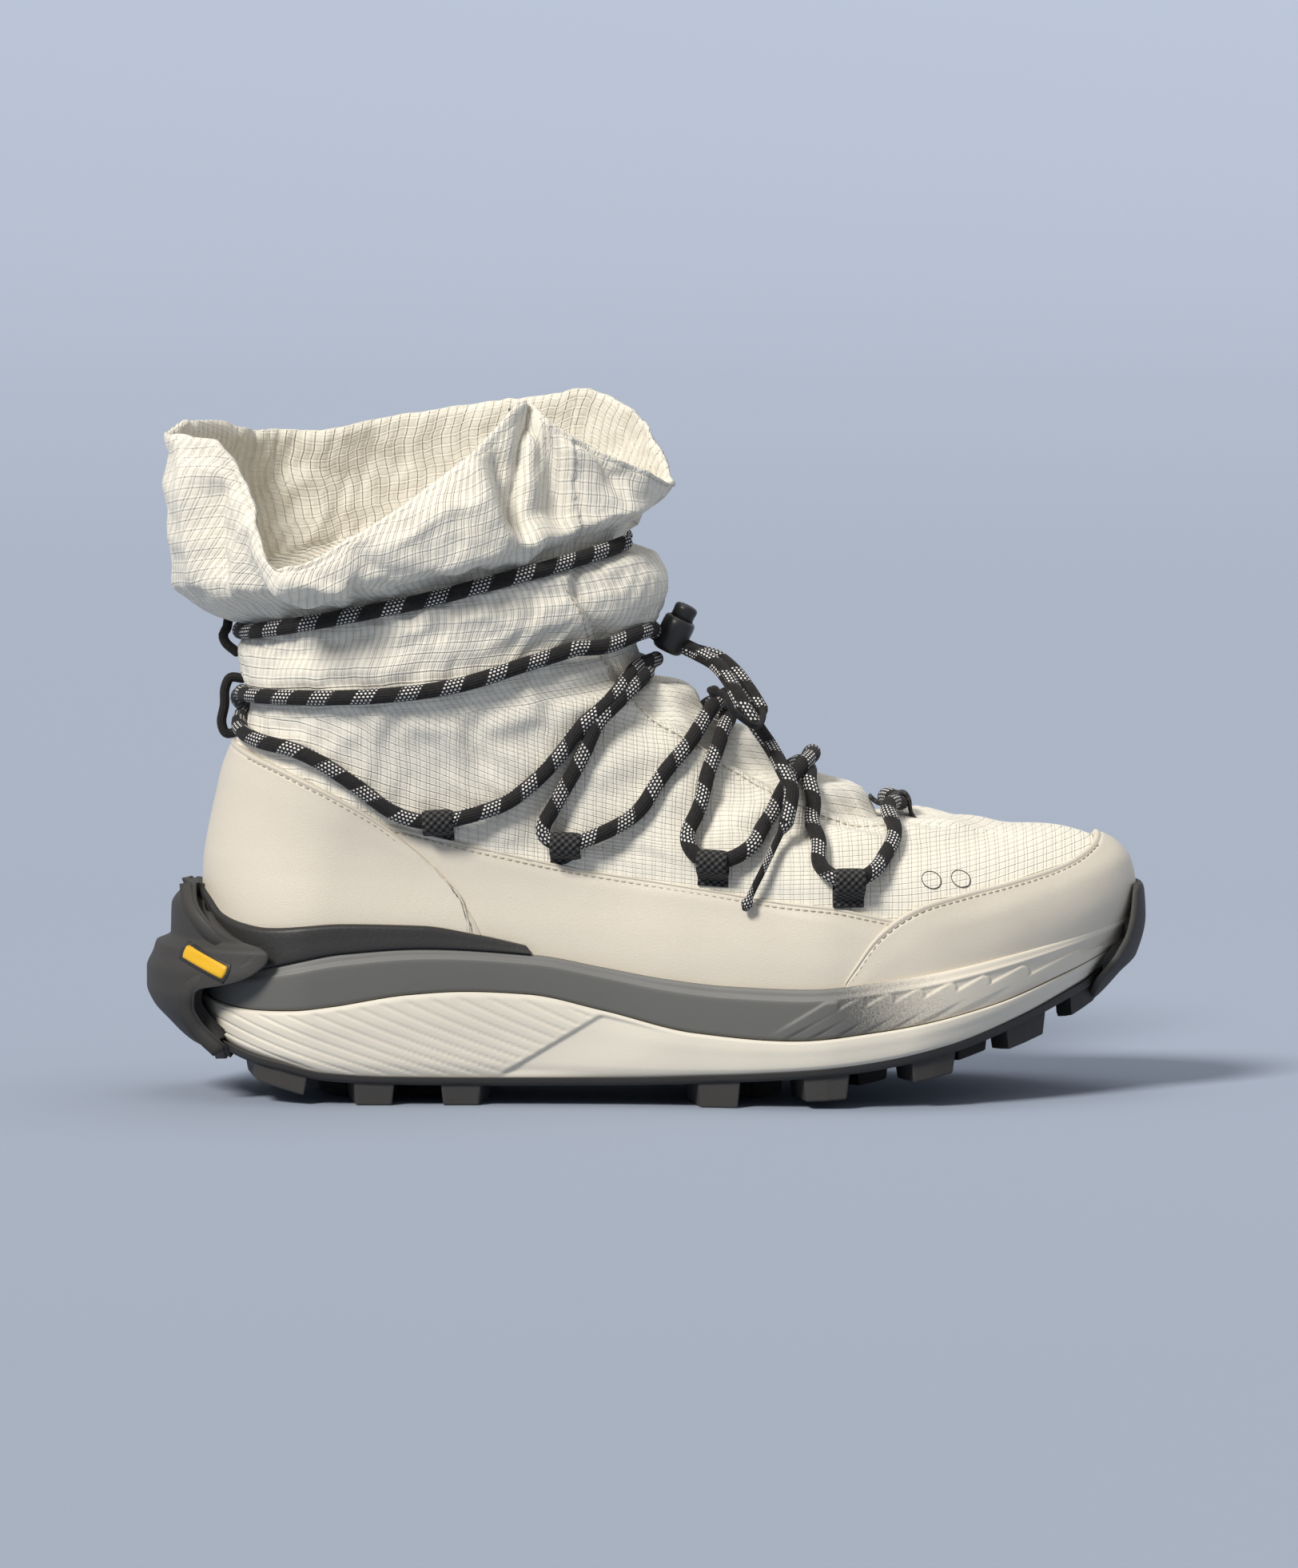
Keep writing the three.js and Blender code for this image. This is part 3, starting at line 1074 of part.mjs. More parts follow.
addPiece("toe_cap", toeCapSolid, 0xe2dacb, 0.5);
addPiece("heel_counter", counterSolid, 0xe2dacb, 0.5);
addPiece("mudguard_lateral", guards[0], 0xe2dacb, 0.5);
addPiece("mudguard_medial", guards[1], 0xe2dacb, 0.5);
addPiece("insole", insoleSolid(), 0xd8d2c6, 0.9);
addPiece("lace_outer", tube(laceOuter, laceDiameter / 2, laceSides, laceStep).add(leadIn(laceOuter, 1)), 0x333232, 0.85);
addPiece("lace_inner", tube(laceInner, laceDiameter / 2, laceSides, laceStep).add(leadIn(laceInner, -1)), 0x333232, 0.85);
addPiece("lace_cinch", tube(cinchCurve, laceDiameter / 2, laceSides, laceStep), 0x333232, 0.85);
addPiece("lock_barrel", lockBarrel(), 0x141416, 0.45);
addPiece("lock_plunger", lockPlunger(), 0x141416, 0.4);
for (const { name, at, side, curve } of loopPlaces)
  addPiece(name, webbingLoop(stretchAt(curve, seenAt(at, side, loopLift), webbingWidth)), 0x1d1d1f, 0.8);
const toeStretch = [laceOuter, laceInner].map((curve) => curve.getPointAt(webbingWidth / 2 / curve.getLength()));
addPiece("loop_toe", webbingLoop([toeStretch[0], laceInner.getPointAt(0), toeStretch[1]]), 0x1d1d1f, 0.8);
addPiece("loop_back_lower", backLoop(backLoopLower), 0x1d1d1f, 0.7);
addPiece("loop_back_upper", backLoop(backLoopUpper), 0x1d1d1f, 0.7);
addPiece("lace_end_outer", outerEnd.add(outerTail), 0x333232, 0.85);
addPiece("lace_end_inner", innerEnd.add(innerTail), 0x333232, 0.85);
const extent = new THREE.Box3().setFromObject(boot);
boot.position.set(-(extent.min.x + extent.max.x) / 2, -(extent.min.y + extent.max.y) / 2, -extent.min.z);
boot.updateMatrixWorld(true);
export default boot;
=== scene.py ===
import math

import bmesh
import bpy
import numpy as np
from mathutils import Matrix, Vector
from mathutils.kdtree import KDTree


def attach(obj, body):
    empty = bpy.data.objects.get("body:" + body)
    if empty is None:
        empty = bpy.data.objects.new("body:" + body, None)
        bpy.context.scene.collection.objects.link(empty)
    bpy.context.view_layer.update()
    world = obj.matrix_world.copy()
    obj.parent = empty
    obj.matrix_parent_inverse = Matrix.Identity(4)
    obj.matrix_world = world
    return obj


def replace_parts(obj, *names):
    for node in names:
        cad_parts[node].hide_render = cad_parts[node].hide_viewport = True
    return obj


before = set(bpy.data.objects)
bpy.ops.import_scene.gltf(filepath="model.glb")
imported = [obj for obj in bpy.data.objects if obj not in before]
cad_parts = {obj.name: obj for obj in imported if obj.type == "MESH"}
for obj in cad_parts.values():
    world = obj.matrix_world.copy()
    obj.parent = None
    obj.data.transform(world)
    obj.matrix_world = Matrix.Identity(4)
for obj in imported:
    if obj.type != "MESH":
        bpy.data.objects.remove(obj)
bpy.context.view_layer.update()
print("frame loaded")

# Sizes in millimetres, as the solids have them. x shares run from the heel (0) to the toe (1).
boot = {
    "length": 288,
    "soleWidth": 107,
    "soleHeight": 51.5,
    "height": 203,
    "ballWidth": 94,
    "shaftWidth": 78,
    "toeSway": 6,
    "sideShift": -0.8,  # centres the boot's box on the frame
    "wall": 2.6,
    "sleeve": 1.4,
}

upperBreadth = np.array([
    (0.0, 0.68, 0.68), (0.15, 0.715, 0.71), (0.25, 0.715, 0.7), (0.35, 0.715, 0.69), (0.45, 0.745, 0.69), (0.55, 0.85, 0.78),
    (0.62, 0.94, 0.89), (0.69, 1.0, 0.965), (0.76, 0.985, 0.99), (0.84, 0.9, 0.955), (0.91, 0.79, 0.87), (1.0, 0.66, 0.74),
])
soleBreadth = np.array([
    (0.0, 0.66, 0.66), (0.08, 0.715, 0.715), (0.15, 0.75, 0.745), (0.25, 0.76, 0.745), (0.35, 0.755, 0.72), (0.45, 0.78, 0.715),
    (0.55, 0.86, 0.8), (0.62, 0.935, 0.895), (0.69, 1.0, 0.97), (0.76, 0.985, 0.99), (0.84, 0.9, 0.955), (0.91, 0.79, 0.88),
    (1.0, 0.66, 0.76),
])
bedLine = np.array([(0.05, 0.78), (0.15, 0.77), (0.3, 0.7), (0.5, 0.57), (0.66, 0.525), (0.8, 0.57), (0.9, 0.73), (0.97, 0.87), (1.0, 0.92)])
carrierBottomLine = np.array([
    (0.05, 0.47), (0.08, 0.323), (0.107, 0.266), (0.143, 0.222), (0.18, 0.177), (0.24, 0.157), (0.35, 0.151), (0.46, 0.156),
    (0.58, 0.182), (0.695, 0.233), (0.797, 0.337), (0.87, 0.474), (0.918, 0.589), (0.952, 0.678), (0.975, 0.8),
])
carrierTopLine = np.array([
    (0.05, 0.6), (0.078, 0.545), (0.112, 0.525), (0.149, 0.53), (0.185, 0.552), (0.264, 0.622), (0.32, 0.64), (0.383, 0.625),
    (0.457, 0.538), (0.548, 0.421), (0.639, 0.385), (0.73, 0.436), (0.842, 0.564), (0.918, 0.711), (0.967, 0.815),
])
foamTopLine = np.array([
    (0.05, 0.65), (0.112, 0.744), (0.159, 0.809), (0.199, 0.849), (0.277, 0.877), (0.389, 0.842), (0.457, 0.775), (0.518, 0.716),
    (0.578, 0.682), (0.654, 0.67), (0.76, 0.733), (0.87, 0.846), (0.986, 0.984),
])
cradleTopLine = np.array([
    (0.048, 1.2), (0.061, 1.125), (0.075, 1.04), (0.095, 1.0), (0.12, 0.981), (0.201, 1.01), (0.277, 1.001), (0.335, 0.948), (0.389, 0.88),
])
treadLine = np.array([
    (0.03, 0.32), (0.07, 0.22), (0.102, 0.142), (0.15, 0.07), (0.2, 0), (0.6, 0), (0.651, 0.039), (0.692, 0.054), (0.76, 0.14),
    (0.797, 0.182), (0.85, 0.283), (0.89, 0.36), (0.933, 0.475), (0.957, 0.55),
])

ringColumns = ["backX", "backZ", "frontX", "frontZ", "sag", "climb", "width", "shaft", "tube", "heelRound", "toeRound", "fold"]
upperRings = np.array([
    (0.12, 0, 0.915, 0, 1, 1, 0.76, 0.8, 0, 0.12, 0.21, 0),
    (0.084, 0, 0.953, 0, 1, 1, 0.93, 0.8, 0, 0.12, 0.21, 0),
    (0.07, 0.036, 0.972, 0.029, 1, 1, 0.995, 0.8, 0, 0.12, 0.205, 0),
    (0.0655, 0.066, 0.981, 0.0835, 0.95, 1.1, 1, 0.8, 0, 0.12, 0.205, 0),
    (0.065, 0.091, 0.9765, 0.131, 0.85, 1.4, 0.99, 0.8, 0, 0.12, 0.21, 0),
    (0.065, 0.112, 0.9645, 0.1655, 0.75, 1.8, 0.975, 0.82, 0, 0.12, 0.225, 0),
    (0.0655, 0.131, 0.9485, 0.192, 0.65, 2.2, 0.96, 0.84, 0, 0.12, 0.24, 0),
    (0.066, 0.152, 0.908, 0.226, 0.55, 2.5, 0.945, 0.86, 0, 0.122, 0.26, 0),
    (0.067, 0.174, 0.861, 0.2395, 0.45, 2.5, 0.93, 0.88, 0.05, 0.124, 0.28, 0),
    (0.069, 0.198, 0.816, 0.257, 0.35, 2.5, 0.915, 0.9, 0.1, 0.126, 0.295, 0),
    (0.072, 0.229, 0.752, 0.27, 0.25, 2.5, 0.9, 0.91, 0.2, 0.13, 0.31, 0),
    (0.0765, 0.266, 0.71, 0.31, 0.15, 2.5, 0.89, 0.91, 0.35, 0.135, 0.315, 0),
    (0.081, 0.306, 0.66, 0.34, 0.08, 2.4, 0.88, 0.92, 0.5, 0.14, 0.315, 0),
    (0.085, 0.346, 0.617, 0.385, 0, 2.2, 0.87, 0.93, 0.65, 0.145, 0.305, 0),
    (0.088, 0.386, 0.572, 0.441, 0, 2, 0.86, 0.95, 0.8, 0.15, 0.29, 0),
    (0.091, 0.4226, 0.5417, 0.4748, 0, 1.8, 0.86, 0.97, 0.9, 0.155, 0.265, 0),
    (0.0934, 0.4595, 0.507, 0.5147, 0, 1.6, 0.86, 0.99, 1, 0.16, 0.235, 0),
    (0.0927, 0.496, 0.4896, 0.5516, 0, 1.4, 0.86, 1, 1, 0.165, 0.21, 0),
    (0.093, 0.533, 0.507, 0.6007, 0, 1.2, 0.86, 1.01, 1, 0.17, 0.21, 0),
    (0.0935, 0.555, 0.5163, 0.656, 0, 1.1, 0.86, 1.01, 1, 0.17, 0.21, 0),
    (0.094, 0.571, 0.507, 0.699, 0, 1, 0.86, 0.99, 1, 0.17, 0.21, 0),
    (0.0903, 0.588, 0.479, 0.735, 0, 1, 0.86, 0.98, 1, 0.17, 0.21, 0),
    (0.065, 0.612, 0.493, 0.757, 0, 1, 0.86, 1.07, 1, 0.18, 0.21, 0.05),
    (0.034, 0.668, 0.498, 0.779, 0, 1, 0.86, 1.2, 1, 0.19, 0.22, 0.22),
    (0.034, 0.742, 0.51, 0.797, 0, 1, 0.86, 1.25, 1, 0.2, 0.22, 0.48),
    (0.0335, 0.834, 0.521, 0.8188, 0, 1, 0.86, 1.26, 1, 0.2, 0.22, 0.75),
    (0.0417, 0.9386, 0.5278, 0.834, 0, 1, 0.86, 1.22, 1, 0.2, 0.22, 1),
])
rimRing = len(upperRings) - 1
rimLine = np.array([
    (0.0, 0.0417, 0, 0.9386), (0.05, 0.029, -0.17, 0.922), (0.1, 0.062, -0.36, 0.92), (0.15, 0.102, -0.52, 0.83),
    (0.195, 0.145, -0.64, 0.7), (0.24, 0.19, -0.65, 0.73), (0.28, 0.258, -0.6, 0.81), (0.315, 0.32, -0.5, 0.89),
    (0.35, 0.379, -0.4, 1.014), (0.385, 0.405, -0.4, 0.945), (0.44, 0.468, -0.28, 0.88), (0.5, 0.5278, 0, 0.834),
    (0.54, 0.511, 0.16, 0.9), (0.58, 0.482, 0.29, 0.96), (0.63, 0.44, 0.42, 0.985), (0.69, 0.375, 0.54, 0.972),
    (0.75, 0.292, 0.61, 0.945), (0.81, 0.215, 0.62, 0.926), (0.87, 0.146, 0.54, 0.91), (0.91, 0.111, 0.44, 0.912),
    (0.95, 0.076, 0.26, 0.932), (1.0, 0.0417, 0, 0.9386),
])
collarFolds = [  # at, spread, from, to, depth
    (0.372, 0.028, 21.2, 27.5, -0.12), (0.3, 0.05, 21.5, 26.5, 0.06), (0.2, 0.035, 22, 27.5, 0.05), (0.12, 0.035, 22.5, 27, -0.05),
    (0.45, 0.03, 22, 27.5, 0.04), (0.66, 0.04, 21.5, 27, -0.06), (0.83, 0.035, 21.5, 27, -0.05),
]
laceGrooves = [  # at, spread, ring, height, depth
    (0, 0.07, 15.4, 1.8, 4), (0, 0.07, 20.1, 1.2, 3), (0.5, 0.065, 16, 0.75, 6.8), (0.5, 0.055, 14, 0.7, 5),
    (0.5, 0.05, 12, 0.7, 4.5), (0.5, 0.045, 10, 0.7, 2.6),
]


# A smooth value of a table that never overshoots its rows
def rowsAt(at, values, x):
    x = np.clip(np.asarray(x, float), at[0], at[-1])
    slope = np.diff(values) / np.diff(at)
    tangent = np.empty(len(at))
    tangent[0], tangent[-1] = slope[0], slope[-1]
    product = slope[:-1] * slope[1:]
    total = slope[:-1] + slope[1:]
    tangent[1:-1] = np.where(product <= 0, 0, 2 * product / np.where(np.abs(total) < 1e-12, 1, total))
    i = np.clip(np.searchsorted(at, x, side="left") - 1, 0, len(at) - 2)
    width = at[i + 1] - at[i]
    t = (x - at[i]) / width
    return (
        (2 * t**3 - 3 * t**2 + 1) * values[i]
        + (t**3 - 2 * t**2 + t) * width * tangent[i]
        + (-2 * t**3 + 3 * t**2) * values[i + 1]
        + (t**3 - t**2) * width * tangent[i + 1]
    )


def lineAt(line, x):
    return rowsAt(line[:, 0], line[:, 1], x)


def smoothstep(low, high, value):
    t = np.clip((value - low) / (high - low), 0, 1)
    return t * t * (3 - 2 * t)


def roundEnd(share):
    return np.where(share >= 1, 1, np.sqrt(np.maximum(0, 1 - (1 - np.minimum(share, 1)) ** 2)))


def footCurve(x):
    return boot["toeSway"] * smoothstep(0.55, 1, x)


def place(x, y, z):
    return np.stack(np.broadcast_arrays((x - 0.5) * boot["length"], y, z), axis=-1).astype(float)


bedHeel = float(lineAt(bedLine, 0.05)) * boot["soleHeight"]
footSpan = boot["height"] - bedHeel
ringNumbers = np.arange(len(upperRings), dtype=float)


# The upper's outer face: ring runs up the table, around from the back round the outer side to the front (0.5) and on
def upperForm(ring, around):
    ring, around = np.broadcast_arrays(np.asarray(ring, float), np.asarray(around, float))
    row = {name: rowsAt(ringNumbers, upperRings[:, i], ring) for i, name in enumerate(ringColumns)}
    turn = around - np.floor(around)
    side = np.where(turn < 0.5, -1, 1)
    along = (1 - np.cos(2 * np.pi * turn)) / 2
    x = row["backX"] + (row["frontX"] - row["backX"]) * along
    breadth = np.where(side < 0, rowsAt(upperBreadth[:, 0], upperBreadth[:, 1], x), rowsAt(upperBreadth[:, 0], upperBreadth[:, 2], x))
    footHalf = breadth * row["width"] * boot["ballWidth"] / 2
    half = footHalf + (row["shaft"] * boot["shaftWidth"] / 2 - footHalf) * row["tube"]
    ends = roundEnd((x - row["backX"]) / row["heelRound"]) * roundEnd((row["frontX"] - x) / row["toeRound"])
    ground = bedHeel + (lineAt(bedLine, x) * boot["soleHeight"] - bedHeel) * row["sag"]
    rise = (row["backZ"] + (row["frontZ"] - row["backZ"]) * along ** row["climb"]) * footSpan
    point = place(x, side * half * ends + footCurve(x) * (1 - row["tube"]), ground + rise)
    rim = dict(zip(ringColumns, upperRings[rimRing]))
    rimAlong = rim["backX"] + (rim["frontX"] - rim["backX"]) * along
    rimEnds = roundEnd((rimAlong - rim["backX"]) / rim["heelRound"]) * roundEnd((rim["frontX"] - rimAlong) / rim["toeRound"])
    point[..., 0] += row["fold"] * (rowsAt(rimLine[:, 0], rimLine[:, 1], turn) - rimAlong) * boot["length"]
    point[..., 1] += row["fold"] * (rowsAt(rimLine[:, 0], rimLine[:, 2], turn) - side * rimEnds * rim["shaft"] / 2) * boot["shaftWidth"]
    plainZ = rim["backZ"] + (rim["frontZ"] - rim["backZ"]) * along
    point[..., 2] += row["fold"] * (rowsAt(rimLine[:, 0], rimLine[:, 3], turn) - plainZ) * footSpan
    return point


def foldDepth(ring, around):
    turn = around - np.floor(around)
    depth = np.zeros(np.broadcast(ring, around).shape)
    for at, spread, low, high, much in collarFolds:
        away = np.abs(turn - at)
        near = np.exp(-((np.minimum(away, 1 - away) / spread) ** 2))
        depth += much * boot["shaftWidth"] * near * smoothstep(low, low + 2, ring) * (1 - smoothstep(high - 1, high, ring))
    for at, spread, middle, height, much in laceGrooves:
        away = np.abs(around - at - np.round(around - at)) / spread
        depth -= much * np.exp(-(away**2) - ((ring - middle) / height) ** 2)
    return depth


def unit(vectors):
    return vectors / np.maximum(np.linalg.norm(vectors, axis=-1, keepdims=True), 1e-12)


def upperNormal(ring, around):
    low, high = np.maximum(0, ring - 0.25), np.minimum(rimRing, ring + 0.25)
    up = upperForm(high, around) - upperForm(low, around)
    along = upperForm(ring, around + 0.01) - upperForm(ring, around - 0.01)
    return unit(np.cross(along, up))


def upperPoint(ring, around, lift=0.0):
    ring, around, lift = (np.asarray(v, float) for v in np.broadcast_arrays(ring, around, lift))
    return upperForm(ring, around) + upperNormal(ring, around) * (lift + foldDepth(ring, around))[..., None]


sideViews = {}


# The rings and arounds whose lifted points are seen at side-view places, x and z shares
def placesOnUpper(targets, side, lift=0.0, low=1.0, high=21.0):
    goal = np.asarray(targets, float).reshape(-1, 2)
    goal = np.stack([(goal[:, 0] - 0.5) * boot["length"], goal[:, 1] * boot["height"]], axis=1)
    middle = 0.25 if side < 0 else 0.75
    key = (side, round(float(lift), 3), low, high)
    if key not in sideViews:
        rings, turns = np.meshgrid(np.linspace(low, high, 130), middle + np.linspace(-0.25, 0.25, 130), indexing="ij")
        points = upperPoint(rings, turns, lift)
        sideViews[key] = rings.ravel(), turns.ravel(), points[..., 0].ravel(), points[..., 2].ravel()
    rings, turns, px, pz = sideViews[key]
    best = np.array([np.hypot(px - gx, pz - gz).argmin() for gx, gz in goal])
    ring, turn = rings[best], turns[best]
    steps = np.linspace(-1, 1, 7)
    a, b = (v.ravel() for v in np.meshgrid(steps, steps, indexing="ij"))
    reach = np.array([(high - low) / 129, 0.5 / 129])
    for _ in range(5):
        r = np.clip(ring[:, None] + a * reach[0], low, high)
        t = np.clip(turn[:, None] + b * reach[1] - middle, -0.25, 0.25) + middle
        points = upperPoint(r, t, lift)
        found = np.hypot(points[..., 0] - goal[:, :1], points[..., 2] - goal[:, 1:]).argmin(axis=1)
        ring, turn = r[np.arange(len(goal)), found], t[np.arange(len(goal)), found]
        reach = reach * 0.4
    return np.stack([ring, turn], axis=1)


def onUpper(x, z, side, lift=0.0):
    ring, turn = placesOnUpper([(x, z)], side, lift)[0]
    return float(ring), float(turn)


# A centripetal Catmull-Rom curve through the points
def smoothPath(points, perSegment=8):
    p = np.asarray(points, float)
    p = np.vstack([2 * p[0] - p[1], p, 2 * p[-1] - p[-2]])
    out = []
    t = np.linspace(0, 1, perSegment, endpoint=False)[:, None]
    for i in range(1, len(p) - 2):
        a, b, c, d = p[i - 1 : i + 3]
        d0, d1, d2 = (max(np.linalg.norm(v) ** 0.5, 1e-4) for v in (b - a, c - b, d - c))
        m1 = ((b - a) / d0 - (c - a) / (d0 + d1) + (c - b) / d1) * d1
        m2 = ((c - b) / d1 - (d - b) / (d1 + d2) + (d - c) / d2) * d1
        out.append((2 * t**3 - 3 * t**2 + 1) * b + (t**3 - 2 * t**2 + t) * m1 + (-2 * t**3 + 3 * t**2) * c + (t**3 - t**2) * m2)
    return np.vstack([*out, p[-2][None]])


def arcLength(path):
    return np.concatenate([[0], np.cumsum(np.linalg.norm(np.diff(path, axis=0), axis=1))])


def evenly(path, step):
    s = arcLength(path)
    n = max(2, int(round(s[-1] / step)) + 1)
    at = np.linspace(0, s[-1], n)
    return np.stack([np.interp(at, s, path[:, i]) for i in range(path.shape[1])], axis=1)


# Boot millimetres to the frame's metres
def inFrame(points):
    p = np.array(points, float)
    p[..., 1] += boot["sideShift"]
    return p / 1000


# A mesh object at the origin. points in boot millimetres, uv one pair for each face corner, in metres
def meshObject(name, points, faces, uv=None, materials=(), faceMaterial=None, smooth=True, tidy=True):
    mesh = bpy.data.meshes.new(name)
    mesh.from_pydata(inFrame(np.asarray(points).reshape(-1, 3)).tolist(), [], [list(map(int, f)) for f in faces])
    if uv is not None:
        layer = mesh.uv_layers.new(name="cloth")
        layer.data.foreach_set("uv", np.asarray(uv, np.float32).ravel())
    for m in materials:
        mesh.materials.append(m)
    if faceMaterial is not None:
        mesh.polygons.foreach_set("material_index", np.asarray(faceMaterial, np.int32))
    if tidy:
        bm = bmesh.new()
        bm.from_mesh(mesh)
        bmesh.ops.remove_doubles(bm, verts=bm.verts, dist=2e-6)
        bmesh.ops.dissolve_degenerate(bm, dist=1e-7, edges=bm.edges)
        bmesh.ops.recalc_face_normals(bm, faces=bm.faces)
        bm.to_mesh(mesh)
        bm.free()
    mesh.polygons.foreach_set("use_smooth", np.full(len(mesh.polygons), smooth))
    obj = bpy.data.objects.new(name, mesh)
    bpy.context.scene.collection.objects.link(obj)
    return obj


def gridFaces(rows, columns, wrap=False, start=0):
    i, j = np.meshgrid(np.arange(rows - 1), np.arange(columns if wrap else columns - 1), indexing="ij")
    k = (j + 1) % columns
    a, b = start + i * columns + j, start + i * columns + k
    return np.stack([a, b, b + columns, a + columns], axis=-1).reshape(-1, 4)


# Values on a grid taken to face corners. On a closed grid they hold one column more than the points
def gridCorners(values):
    v = np.asarray(values)
    return np.stack([v[:-1, :-1], v[:-1, 1:], v[1:, 1:], v[1:, :-1]], axis=2).reshape(-1, 4, v.shape[-1])


def gridNormals(grid, wrap=True):
    up = np.gradient(grid, axis=0)
    if wrap:
        along = np.roll(grid, -1, axis=1) - np.roll(grid, 1, axis=1)
    else:
        along = np.gradient(grid, axis=1)
    return unit(np.cross(along, up))


# A closed piece between two grids of the same size
def slab(name, outer, inner, wrap=False, uv=None, **more):
    rows, columns = outer.shape[:2]
    total = rows * columns
    faces = [gridFaces(rows, columns, wrap), gridFaces(rows, columns, wrap, total)[:, ::-1]]
    index = np.arange(total).reshape(rows, columns)
    edges = [(index[0], True), (index[-1], False)]
    if not wrap:
        edges += [(index[:, 0], False), (index[:, -1], True)]
    for line, flip in edges:
        a, b = (line, np.roll(line, -1)) if wrap else (line[:-1], line[1:])
        quads = np.stack([a, a + total, b + total, b], axis=1)
        faces.append(quads if flip else quads[:, ::-1])
    if uv is not None:
        corners = gridCorners(uv)
        rest = [np.zeros((len(f), 4, 2)) for f in faces[2:]]
        flat = uv[:, :columns].reshape(-1, 2)
        for r, f in zip(rest, faces[2:]):
            r[:] = flat[f % total]
        uv = np.concatenate([corners, corners[:, ::-1], *rest])
    return meshObject(name, np.concatenate([outer.reshape(-1, 3), inner.reshape(-1, 3)]), np.concatenate(faces), uv, **more)


# Tangent, side and up vectors carried along a path without twist
def frames(path):
    tangent = unit(np.gradient(path, axis=0))
    side = np.cross(tangent[0], [0, 0, 1.0])
    if np.linalg.norm(side) < 0.1:
        side = np.cross(tangent[0], [0, 1.0, 0])
    sides = [side / np.linalg.norm(side)]
    for t in tangent[1:]:
        s = sides[-1] - t * np.dot(sides[-1], t)
        sides.append(s / np.linalg.norm(s))
    sides = np.array(sides)
    return tangent, sides, np.cross(tangent, sides)


# A closed tube along a path, with its length and girth as its map
def tubeObject(name, path, radius, sides, material):
    path = np.asarray(path, float)
    radius = np.broadcast_to(np.asarray(radius, float), len(path)).copy()
    tangent, side, up = frames(path)
    turn = np.array([0.15, 0.5, 0.8])  # three rings round off each end
    first = [(path[0] - tangent[0] * radius[0] * (1 - k) * 0.8, radius[0] * math.sqrt(1 - (1 - k) ** 2)) for k in turn]
    last = [(path[-1] + tangent[-1] * radius[-1] * (1 - k) * 0.8, radius[-1] * math.sqrt(1 - (1 - k) ** 2)) for k in turn[::-1]]
    path = np.vstack([[p for p, r in first], path, [p for p, r in last]])
    radius = np.concatenate([[r for p, r in first], radius, [r for p, r in last]])
    side = np.vstack([np.repeat(side[:1], 3, 0), side, np.repeat(side[-1:], 3, 0)])
    up = np.vstack([np.repeat(up[:1], 3, 0), up, np.repeat(up[-1:], 3, 0)])
    angle = 2 * np.pi * np.arange(sides) / sides
    c, s = np.cos(angle)[None, :, None], np.sin(angle)[None, :, None]
    ring = path[:, None] + radius[:, None, None] * (side[:, None] * c + up[:, None] * s)
    faces = [list(f) for f in gridFaces(len(path), sides, True)]
    n = len(path) * sides
    s = arcLength(path) / 1000
    girth = np.linspace(0, 2 * np.pi * radius.max() / 1000, sides + 1)
    uv = gridCorners(np.stack(np.meshgrid(s, girth, indexing="ij"), axis=-1)).reshape(-1, 2).tolist()
    for centre, base in ((path[0], 0), (path[-1], n - sides)):
        for j in range(sides):
            faces.append([base + j, base + (j + 1) % sides, n + (1 if base else 0)])
            uv += [(s[-1] if base else 0, girth[j])] * 3
    points = np.vstack([ring.reshape(-1, 3), path[:1], path[-1:]])
    return meshObject(name, points, faces, uv, materials=[material])


def ride(piece, body="boot"):
    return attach(piece, body)


# Camera at the photograph's angle.
view = {"distance": 3.6, "elevation": 5.0, "centre": (0.0007, -0.030, 0.0915), "frameHeight": 0.4477}
cameraData = bpy.data.cameras.new("camera")
camera = bpy.data.objects.new("camera", cameraData)
bpy.context.scene.collection.objects.link(camera)
lean = math.radians(view["elevation"])
back = Vector((0, -math.cos(lean), math.sin(lean)))
camera.location = Vector(view["centre"]) + back * view["distance"]
camera.rotation_mode = "QUATERNION"
camera.rotation_quaternion = (-back).to_track_quat("-Z", "Y")
cameraData.sensor_width = 36
cameraData.lens = 36 * view["distance"] / view["frameHeight"]
cameraData.clip_start, cameraData.clip_end = 0.05, 20
bpy.context.scene.camera = camera
bpy.context.scene.view_settings.view_transform = "Standard"  # the photograph has deep blacks and clean whites


def nodeIn(tree, kind, inputs=None, **settings):
    made = tree.nodes.new(kind)
    for key, value in settings.items():
        setattr(made, key, value)
    for key, value in (inputs or {}).items():
        socket = made.inputs[key]
        if isinstance(value, bpy.types.NodeSocket):
            tree.links.new(value, socket)
        else:
            socket.default_value = value
    return made


